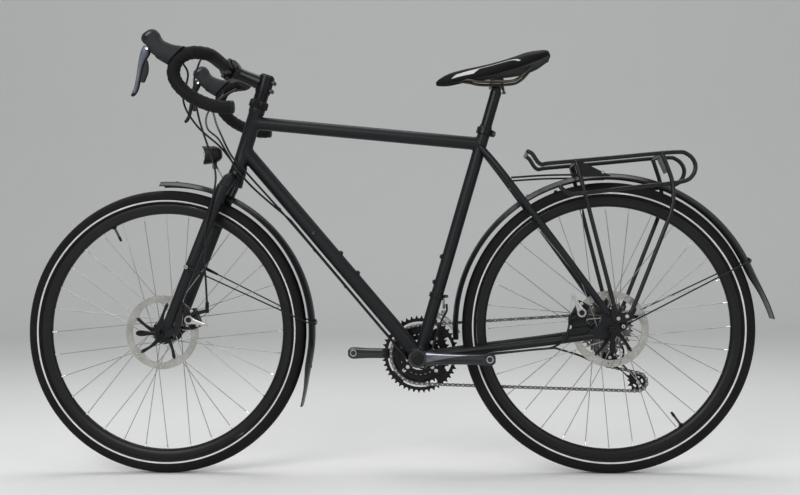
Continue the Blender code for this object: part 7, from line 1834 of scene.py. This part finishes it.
def make_rack():
    """Every tube of the carrier as a swept bar, its foot plates, gussets, light plate and bolts."""
    half = 0.062
    deck_z = AXLE_Z + 0.4125

    def deck(x, y, z):
        return vec(x, y, deck_z + z)

    def low(x, y, z):
        return vec(x, y, AXLE_Z + z)

    foot_in, foot_out = 0.0741, 0.0791
    foot_y = foot_in + 0.0025
    foot_outline = [(-0.002, 0.059), (-0.02, 0.039), (-0.04, 0.039), (-0.048, 0.051), (-0.06, 0.049),
        (-0.048, 0.023), (-0.026, 0.014), (-0.01, 0.013), (0.002, 0.031)]
    gusset = [(-0.008, -0.0535), (0.07, -0.0535), (0.078, -0.0155), (0.066, -0.0155)]
    tubes, plates, bolts, welds = [], [], [], []
    for side in SIDES:
        y, outer, foot = side * half, side * half * 1.16, side * foot_y
        rail = [deck(0.186, y * 0.93, 0.0095), deck(0.176, y * 0.96, 0.0025), deck(0.158, y, -0.0215),
            deck(0.13, y, -0.02), deck(-0.01, y, -0.01025), deck(-0.15, y, -0.0005),
            deck(-0.184, y, -0.0055), deck(-0.2015, y, -0.0285), deck(-0.195, y * 1.03, -0.0555),
            deck(-0.165, y * 1.1, -0.071), deck(-0.06, y * 1.13, -0.0812), deck(0.06, outer, -0.0935),
            deck(0.092, outer, -0.0935), deck(0.112, outer, -0.0785)]
        tubes.append(swept(smooth_path(rail, 8), 0.005, 24, domed=0.004))
        fore = [deck(0.074, y, -0.017), deck(0.056, outer, -0.0915), low(-0.008, foot, 0.051),
            low(-0.014, foot, 0.036)]
        aft = [deck(-0.126, y, -0.0025), deck(-0.149, y * 1.14, -0.0715), deck(-0.149, foot * 0.97,
            -0.1065), deck(-0.144, foot, -0.1365), low(-0.05, foot, 0.046), low(-0.042, foot, 0.036)]
        for leg in (fore, aft):
            points = []
            for a, b in zip(leg[:-1], leg[1:]):
                steps = max(2, int(np.linalg.norm(b - a) / 0.012))
                points += [a + (b - a) * k / steps for k in range(steps)]
            points = np.array(points + [leg[-1]])
            for _ in range(3):
                points[1:-1] = (0.25 * points[:-2] + 0.5 * points[1:-1] + 0.25 * points[2:])
            tubes.append(swept(points, 0.005, 24, domed=0.004))
        plates.append(side_slab(side, rounded(foot_outline, 0.006, 3) + [0.0, AXLE_Z], foot_in,
            foot_out, 0.0008))
        for x, z in ((-0.036, 0.03), (-0.016, 0.025)):
            bolts.append(bolt(low(x, side * 0.079, z), Y * side, 0.0046, 0.0018, 0.45))
        stay_top = along_seat(TOP_ON_SEAT)
        strut_end = stay_top + (low(0.01, 0.0, 0.039) - stay_top) * 0.2449 + vec(0.0, side * 0.05,
            0.0132)
        strut = smooth_path([deck(0.0, side * 0.05, -0.0495), deck(0.128, side * 0.05, -0.0475),
            strut_end], 6)
        tubes.append(swept(strut, 0.0035, 16, flat=0.7))
        plates.append(side_slab(side, rounded(gusset, 0.003, 3) + [0.0, deck_z], 0.048, 0.064, 0.0008))
        bolts.append(bolt(deck(0.012, side * 0.064, -0.044), Y * side, 0.0038, 0.0016, 0.45))
        for spot in (deck(0.074, y, -0.0165), deck(-0.126, y, -0.0022), deck(0.0585, outer, -0.0925)):
            welds.append(turned(both_ends([(0.0058, 0.0012), (0.0046, 0.0036)]), spot, X, 20))
    for x, z, width in ((0.186, 0.0095, half * 0.93), (0.074, -0.0175, half), (-0.126, -0.0025, half)):
        tubes.append(swept([deck(x, w, z) for w in np.linspace(-width, width, 9)], 0.0046, 20))
    lamp_plate = slab(rounded([(-0.128, -0.0015), (-0.134, -0.0035), (-0.152, -0.0415),
        (-0.146, -0.0435)], 0.001, 2) + [0.0, deck_z], -0.03, 0.03, 0.0006)
    tilt = unit(vec(-0.9035, 0.0, 0.4286))
    for w in (-0.02, 0.02):
        bolts.append(bolt(deck(-0.143, w, -0.0225) + tilt * 0.0022, tilt, 0.0036, 0.001, 0.45))
    piece("carrier", [(RACK_COAT, *tubes, *welds), (RACK_COAT, lamp_plate, *plates), (STEEL, *bolts)],
        "frame_body", "rack", 36.0)


def lamp_shell(centre, way, up, table):
    """Lamp body: rounded sections whose front edge is drawn back 13 mm at the sides.

    On the outside a point is x - 0.013 * (1 - |sin w|^1.3) * share^3, with share running from the
    rear to the front edge; the wall then turns in and goes back to a floor behind the reflector.
    """
    turn = full_turn(64)
    c, s = bent(np.cos(turn), 0.88), bent(np.sin(turn), 0.88)
    share = np.linspace(0.0, 1.0, len(table))[:, None]
    drawn = 0.013 * (1 - np.abs(np.sin(turn)) ** 1.3)
    rows = [(table[:, :1] - drawn * share ** 3, table[:, 1:2], table[:, 2:3])]
    edge, wide, high = table[-1]
    for size, x in ((0.95, edge + 0.0006 - drawn), (0.91, edge - 0.0004 - drawn),
            (0.9, 0.004 + 0 * drawn), (0.8, -0.0062 + 0 * drawn)):
        rows.append((x[None], np.array([[wide * size]]), np.array([[high * size]])))
    points = np.vstack([(centre + way * x[..., None] + Y * (w * c)[..., None] + up * (h * s)[...,
        None]) for x, w, h in rows])
    return capped(points.reshape(-1, 3), len(points), len(turn))


def make_headlight():
    """A hooded lamp with its clear dome, reflector, cooling ribs, and its bracket on the crown."""
    front = CROWN + vec(0.0246, 0.0, 0.004)
    centre = front + vec(0.0317, 0.0, 0.0637)
    way = at_angle(np.radians(-4.0))
    up = quarter_on(way)
    table = smooth_path([(-0.0236, 0.005, 0.006), (-0.0215, 0.012, 0.012), (-0.01, 0.0198, 0.019),
        (0.006, 0.0226, 0.0218), (0.019, 0.0232, 0.0226), (0.0228, 0.023, 0.0224)], 6)
    shell = lamp_shell(centre, way, up, table)
    ribs = [sections(spaced(centre, way, (-0.017 + 0.0052 * k, -0.015 + 0.0052 * k)), Y, up, [r, r],
        [r * 0.965, r * 0.965], 0.88, 40) for k, r in enumerate((0.0172, 0.02, 0.0219))]
    mirror = lathe([(0.0188, 0.009), (0.0155, 0.004), (0.01, -0.0005), (0.005, -0.003),
        (0.0046, -0.0036), (0.0105, -0.0012), (0.0165, 0.0034), (0.0194, 0.0086)], centre, way, 48)
    emitter = rod(centre - way * 0.0045, centre + way * 0.002, 0.005, 0.004, sides=24)
    ring = lathe([(0.0192, 0.007), (0.0206, 0.007), (0.0206, 0.0128), (0.02, 0.0134), (0.0192, 0.013)],
        centre, way, 48)
    glass = lathe([(0.02, 0.007), (0.02, 0.0106), (0.0172, 0.016), (0.0115, 0.0198), (0.0004, 0.0214),
        (0.0004, 0.0203), (0.011, 0.0187), (0.0163, 0.0151), (0.019, 0.0103), (0.019, 0.007)], centre,
        way, 48)
    pivot = centre + vec(-0.006, 0.0, -0.03)
    neck = sections(spaced(pivot, Z, (0.0, 0.006, 0.015)), X, Y, [0.0058, 0.005, 0.006],
        [0.0044, 0.0044, 0.0044], 0.7, 24)
    ear = rod(pivot - Y * 0.0045, pivot + Y * 0.0045, 0.006, sides=28)
    piece("lamp", [(PLASTIC, shell, neck, ear, *ribs), (LAMP_MIRROR, mirror, ring),
        (COVER_WHITE, emitter), (LENS, glass)], "headlight_body", "headlight", 38.0)
    arms, bolts = [], []
    outline = [(at[0] + x, at[2] + z) for at, x, z in ((pivot, -0.006, -0.004), (pivot, 0.004, -0.006),
        (pivot, 0.006, 0.003), (pivot, -0.002, 0.006), (front, 0.006, 0.006), (front, 0.0, 0.01),
        (front, 0.0, -0.006))]
    for side in SIDES:
        arms.append(side_slab(side, rounded(outline, 0.003, 3), 0.0048, 0.008, 0.0006))
        bolts.append(bolt(pivot + Y * side * 0.0078, Y * side, 0.0036, 0.0014, 0.45))
    base = sections(spaced(front + Z * 0.002, X, (-0.0008, 0.0, 0.0022, 0.003)), Y, Z,
        [0.0075, 0.008, 0.008, 0.007], [0.0096, 0.01, 0.01, 0.009], 0.5, 28)
    bolts.append(bolt(front + X * 0.0026 + Z * 0.002, X, 0.0044, 0.0016, 0.45))
    piece("lamp_bracket", [(RACK_COAT, base, *arms), (STEEL, *bolts)], "steering_body",
        "headlight_bracket", 34.0)


make_mudguards()
make_stay("front_stay", "front_mudguard_stay", STAY_EYE, FRONT_AXLE, degrees=177.0, pivot_y=FORK_OUT
    + 0.0175, eye_length=0.045, body="steering_body")
make_stay("rear_stay", "rear_mudguard_stay", vec(-0.0265, 0.0, AXLE_Z + 0.007), REAR_AXLE,
    degrees=155.0, pivot_y=DROPOUT_OUT + 0.0058, eye_length=0.02, body="frame_body")
make_rack()
make_headlight()


# Brakes and cables

def make_caliper(end, middle, turn, inset, rotor_y, arm_angle, outer_y, lug, rests):
    """A two-piece caliper astride the disc with its bridge, bolts, cable stop, and the pulled arm.

    lug is the (x, z) outline of its foot about the middle; rests holds the points where the cable's
    stop begins and where its barrel begins and ends.
    """
    middle, turn, arm_angle = vec(middle[0], 0.0, middle[1]), np.radians(turn), np.radians(arm_angle)
    out = at_angle(turn)
    round_way = quarter_on(out)
    place = middle[[0, 2]]

    def outline(r0, r1, t0, t1, cut=0.004):
        corners = [(r0, t0), (r1, t0), (r1, t1), (r0, t1)]
        return rounded([place + r * out[[0, 2]] + t * round_way[[0, 2]] for r, t in corners], cut, 4)

    near, far = rotor_y - 0.0022, rotor_y + 0.0022
    block = outline(-0.012, 0.0165, -0.024, 0.024)
    inner = together(slab(block, rotor_y - 0.013, near, 0.001),
        turned([(0.013, rotor_y - 0.0145), (0.016, rotor_y - 0.0142), (0.0168, rotor_y - 0.0134),
        (0.0168, near)], middle, Y, 48))
    steps = [(0.0168, far), (0.017, rotor_y + 0.0135), (0.0158, rotor_y + 0.015),
        (0.0152, rotor_y + 0.0165), (0.0152, outer_y - 0.01), (0.0136, outer_y - 0.0082),
        (0.0134, outer_y - 0.0068), (0.008, outer_y - 0.0066)]
    outer = together(slab(block, far, rotor_y + 0.0125, 0.001), turned(steps, middle, Y, 48))
    bridge = slab(outline(inset + 0.0024, 0.0163, -0.0215, 0.0215, 0.003), near - 0.001, far + 0.001,
        0.0002)
    ear = slab(rounded(place + np.array(lug), 0.003, 3), rotor_y + 0.011, rotor_y + 0.0165, 0.001)
    bolts = [bolt(middle + out * 0.0085 + round_way * t + Y * (rotor_y + 0.0124), Y, 0.0042, 0.0026)
        for t in (-0.0185, 0.0185)]
    bolts.append(bolt(middle + Y * (rotor_y - 0.0143), -Y, 0.006, 0.0008, 0.5))
    stop, barrel_start, barrel_end = np.array(rests)
    share = np.array([0.0, 0.3, 0.8, 1.0])[:, None]
    holder = sections(stop * (1 - share) + barrel_start * share, Y,
        unit(np.cross(barrel_start - stop, Y)), [0.005, 0.0046, 0.004, 0.0034],
        [0.0062, 0.0048, 0.0044, 0.004], 0.7, 24)
    along = unit(barrel_end - barrel_start)
    length = np.linalg.norm(barrel_end - barrel_start)
    profile = [(0.003, -0.006), (0.0044, -0.0055), (0.0046, 0.0)]
    for k in range(4):
        at = length * (0.25 + 0.15 * k)
        profile += [(0.0046, at), (0.004, at + 0.0006), (0.0046, at + 0.0012)]
    profile += [(0.0042, length - 0.001), (0.0032, length)]
    barrel = turned(profile, barrel_start, along, 24)
    piece(end + "_caliper", [(BLACK_ALLOY, inner, outer, bridge, ear, holder), (PLASTIC, barrel),
        (STEEL, *bolts)], "steering_body" if end == "front" else "frame_body", end + "_brake_caliper",
        32.0)
    pivot = middle + Y * outer_y
    way = at_angle(arm_angle)
    across = quarter_on(way)
    boss = turned([(0.006, -0.0062), (0.0102, -0.006), (0.0105, -0.0052), (0.0105, 0.003),
        (0.0092, 0.004), (0.0074, 0.004), (0.007, 0.003)], pivot, Y, 40)
    table = smooth_path([(0.006, 0.009, 0.003), (0.014, 0.0066, 0.0029), (0.026, 0.005, 0.0026),
        (0.038, 0.0042, 0.0026), (0.044, 0.0046, 0.0028), (0.048, 0.0034, 0.0024)], 4)
    arm = sections(pivot + way * table[:, :1], across, Y, table[:, 1], table[:, 2], 0.7, 28)
    hub = bolt(pivot + Y * 0.003, Y, 0.0062, 0.0024)
    tip = pivot + way * 0.0425
    clamp = [bolt(tip + Y * 0.0024, Y, 0.004, 0.0026), rod(tip - Y * 0.0046, tip - Y * 0.0022, 0.0034,
        sides=6)]
    piece(end + "_pull_arm", [(SILVER, boss, arm), (BLACK_ALLOY, hub), (STEEL, *clamp)],
        end + "_caliper_arm_body", end + "_caliper_arm", 34.0)


CABLE_R = 0.0025


def cable_line(*stretches):
    """Smooth stretches with a straight run between each two, as points about 4 mm apart."""
    line = np.vstack([smooth_path(stretch, 8) for stretch in stretches])
    length = np.sum(np.linalg.norm(np.diff(line, axis=0), axis=1))
    return evenly(line, int(length / 0.004))


def around_shell(degrees, y):
    """A cable's point close round the bottom bracket's shell."""
    angle = np.radians(degrees)
    return BB + at_angle(angle) * (SHELL_R + 0.0033) + Y * y


def below_down_tube(distance, y):
    """A cable's point under the down tube."""
    return BB + DOWN_WAY * distance - DOWN_UP * (DOWN_R + 0.008) + Y * y


def make_cable(name, line, body, bare=None, clips=()):
    """A housing swept along its line, with its ferrules, clips and bare inner wire as pieces on it.

    body None means that it goes from the steered part to the frame; the housing then rides on no body,
    and its placement is baked into its points.
    """
    far_body = body or "frame_body"
    first, last = (rod(at, at + unit(toward) * 0.009, 0.0029, sides=16)
        for at, toward in ((line[0], line[3] - line[0]), (line[-1], line[-4] - line[-1])))
    made = piece(name + "_housing", [(HOUSING, swept(line, CABLE_R, 16))], body, name,
        50.0)
    layers = [(DARK_STEEL, last)]
    if bare is not None:
        layers.append((STEEL, swept(bare, 0.0008, 8)))
    if clips:
        grips = []
        for share in clips:
            k = int(share * (len(line) - 1))
            along = unit(line[k + 1] - line[k])
            grips.append(rod(line[k] - along * 0.0035, line[k] + along * 0.0035, 0.0036, sides=16))
        layers.append((PLASTIC, *grips))
    fittings = [piece(name + "_start", [(DARK_STEEL, first)], "steering_body"),
        piece(name + "_end", layers, far_body)]
    if body is None:
        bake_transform(made)


def make_cables():
    """Two brake housings out of the tape and two shift housings out of the hoods.

    Their points are the part's own, with one more at the start, inside the tape or the hood.
    """
    side = BAR_Y
    from_tape, from_hood = vec(0.93, 0.202, 0.984), vec(0.98, 0.203, 0.98)
    make_cable("front_brake_cable", cable_line([from_tape, (0.948, side - 0.045, 0.972),
        (0.97, 0.125, 0.94), (0.975, 0.07, 0.87), (0.955, 0.05, 0.79), (0.938, 0.056, 0.73),
        (0.945, 0.0608, 0.67), (0.961, 0.063, 0.6), (0.965, 0.0669, 0.53), (0.96, 0.0726, 0.47),
        (0.957, 0.074, 0.408)]), "steering_body", bare=[(0.957, 0.074, 0.41), (0.959, 0.0745, 0.39),
        (0.9612, 0.075, 0.369)])
    make_cable("rear_brake_cable", cable_line([from_tape * OVER, (0.948, -side + 0.045, 0.972),
        (0.985, -0.12, 0.93), (0.965, -0.05, 0.88), (0.938, 0.0, 0.835), (0.905, 0.029, 0.778),
        (0.87, 0.031, 0.738), below_down_tube(0.5, 0.022)], [below_down_tube(0.38, 0.013),
        below_down_tube(0.07, 0.012), around_shell(-40.0, 0.012), around_shell(-85.0, 0.013),
        (0.4, 0.028, 0.27), (0.362, 0.0385, 0.28), (0.3, 0.045, 0.288)], [(0.175, 0.057, 0.302),
        (0.135, 0.069, 0.308), (0.108, 0.08, 0.33), (0.0965, 0.085, 0.37), (0.096, 0.0855, 0.385)]),
        None, bare=[(0.096, 0.0855, 0.384), (0.093, 0.0868, 0.41), (0.0895, 0.0875, 0.429)],
        clips=(0.36, 0.45, 0.53))
    make_cable("rear_shift_cable", cable_line([from_hood * OVER, (0.975, -side + 0.055, 0.955),
        (1.0, -0.11, 0.905), (0.985, -0.05, 0.858), (0.948, -0.012, 0.826), (0.916, 0.019, 0.782),
        (0.89, 0.0305, 0.742), (0.85, 0.029, 0.696), below_down_tube(0.47, 0.012)],
        [below_down_tube(0.38, 0.004), below_down_tube(0.07, 0.004), around_shell(-40.0, 0.004),
        around_shell(-72.0, 0.004), (0.44, -0.001, 0.253), (0.395, -0.024, 0.269),
        (0.34, -0.04, 0.28)], [(0.12, -0.064, 0.295), (0.06, -0.07, 0.276), (0.014, -0.074, 0.254),
        (-0.02, -0.0755, 0.25), (-0.043, -0.0775, 0.262), (-0.05, -0.08, 0.287),
        (-0.038, -0.084, 0.31), (-0.019, -0.087, 0.319)]), None)
    make_cable("front_shift_cable", cable_line([from_hood, (0.975, side - 0.055, 0.955),
        (1.0, 0.11, 0.9), (0.985, 0.045, 0.85), (0.938, 0.008, 0.803), (0.911, -0.018, 0.763),
        (0.886, -0.03, 0.726), (0.84, -0.028, 0.68), below_down_tube(0.46, -0.011)],
        [below_down_tube(0.38, -0.005), below_down_tube(0.07, -0.005), around_shell(-40.0, -0.005),
        around_shell(-90.0, -0.005), (0.43, -0.002, 0.266), (0.4245, -0.003, 0.28),
        (0.416, -0.013, 0.32), (0.398, -0.024, 0.368), (0.3858, -0.031, 0.39),
        (0.3858, -0.031, 0.408)]), None)


make_caliper("front", (1.002, 0.38), turn=157.81, inset=0.00792, rotor_y=FRONT_DISC_Y, arm_angle=197.0,
    outer_y=0.074, lug=[(0.0, 0.015), (0.018, 0.04), (0.0195, 0.01), (0.016, -0.015)],
    rests=[(0.996, 0.064, 0.393), (0.9575, 0.0732, 0.402), (0.957, 0.074, 0.423)])
make_caliper("rear", (0.069, 0.389), turn=30.1, inset=0.01024, rotor_y=REAR_DISC_Y, arm_angle=64.0,
    outer_y=0.086, lug=[(-0.015, -0.0327), (0.021, -0.0363), (0.029, -0.004), (-0.009, 0.011)],
    rests=[(0.075, 0.076, 0.38), (0.0958, 0.0845, 0.376), (0.0967, 0.0849, 0.36)])
make_cables()


# Floor, light and camera

def stage_material(name, colour):
    """A matt pale surface with a faint drift in its shade."""
    made, nodes, links, shader = nodes_of(name)
    source = nodes.new("ShaderNodeTexCoord").outputs["Object"]
    mottle = noise(nodes, links, source, 3.0, 3.0)
    links.new(blended(nodes, links, mottle, colour,
        tuple(min(1.0, c * 1.03) for c in colour)), shader.inputs["Base Color"])
    shader.inputs["Roughness"].default_value = 0.9
    return made


def make_stage():
    """A pale floor that bends up to a wall, an even sky, and three area lights."""
    across = np.array([-14.0, 14.0])
    bend = np.linspace(0.0, np.pi / 2, 13)
    run = np.concatenate([[9.0], -5.0 - 2.0 * np.sin(bend), [-7.0]])
    rise = np.concatenate([[0.0], 2.0 - 2.0 * np.cos(bend), [12.0]])
    points = [(x, y, z) for y, z in zip(run.tolist(), rise.tolist()) for x in across.tolist()]
    quads = [(2 * k, 2 * k + 1, 2 * k + 3, 2 * k + 2) for k in range(len(run) - 1)]
    mesh = bpy.data.meshes.new("floor")
    mesh.from_pydata(points, [], [quad[::-1] for quad in quads])
    mesh.shade_smooth()
    mesh.materials.append(stage_material("pale_floor", (0.78, 0.78, 0.77)))
    placed("floor", mesh)
    world = bpy.data.worlds.new("studio")
    world.use_nodes = True
    bpy.context.scene.world = world
    background = world.node_tree.nodes["Background"]
    background.inputs["Color"].default_value = (0.86, 0.88, 0.9, 1.0)
    background.inputs["Strength"].default_value = 0.52
    for name, place, aim, size, power in (("key", (1.5, 3.6, 2.7), (0.1, 0.0, 0.5), (2.6, 2.0), 92.0),
            ("fill", (-2.6, 2.6, 1.8), (-0.1, 0.0, 0.5), (2.0, 2.0), 20.0), ("top", (0.0, -0.6, 3.2),
            (0.0, 0.0, 0.4), (3.0, 1.6), 42.0)):
        lamp = bpy.data.lights.new(name, "AREA")
        lamp.shape = "RECTANGLE"
        lamp.size, lamp.size_y = size
        lamp.energy = power
        holder = placed(name, lamp)
        holder.location = place
        holder.rotation_euler = (Vector(aim) - Vector(place)).to_track_quat("-Z", "Y").to_euler()


def make_camera():
    """The photograph's camera: yaw, pitch and roll about the view along -y, in degrees."""
    yaw, pitch, roll = np.radians([3.953, 1.045, -0.741])
    ahead = vec(np.sin(yaw), -np.cos(yaw), 0.0)
    right = vec(-np.cos(yaw), -np.sin(yaw), 0.0)
    level = np.cos(pitch) * ahead + np.sin(pitch) * Z
    upward = -np.sin(pitch) * ahead + np.cos(pitch) * Z
    side = np.cos(roll) * right + np.sin(roll) * upward
    upward = -np.sin(roll) * right + np.cos(roll) * upward
    place = vec(0.3274 - ORIGIN_X, 2.4498, 0.5034)
    lens = bpy.data.cameras.new("camera")
    lens.sensor_width = 36.0
    lens.lens = 1005.3 * 36.0 / 800.0
    lens.clip_start = 0.05
    camera = placed("camera", lens)
    axes = np.eye(4)
    axes[:3, 0], axes[:3, 1], axes[:3, 2], axes[:3, 3] = side, upward, -level, place
    camera.matrix_world = Matrix(axes.tolist())
    bpy.context.scene.camera = camera


make_stage()
make_camera()
bpy.context.scene.view_settings.view_transform = "Standard"
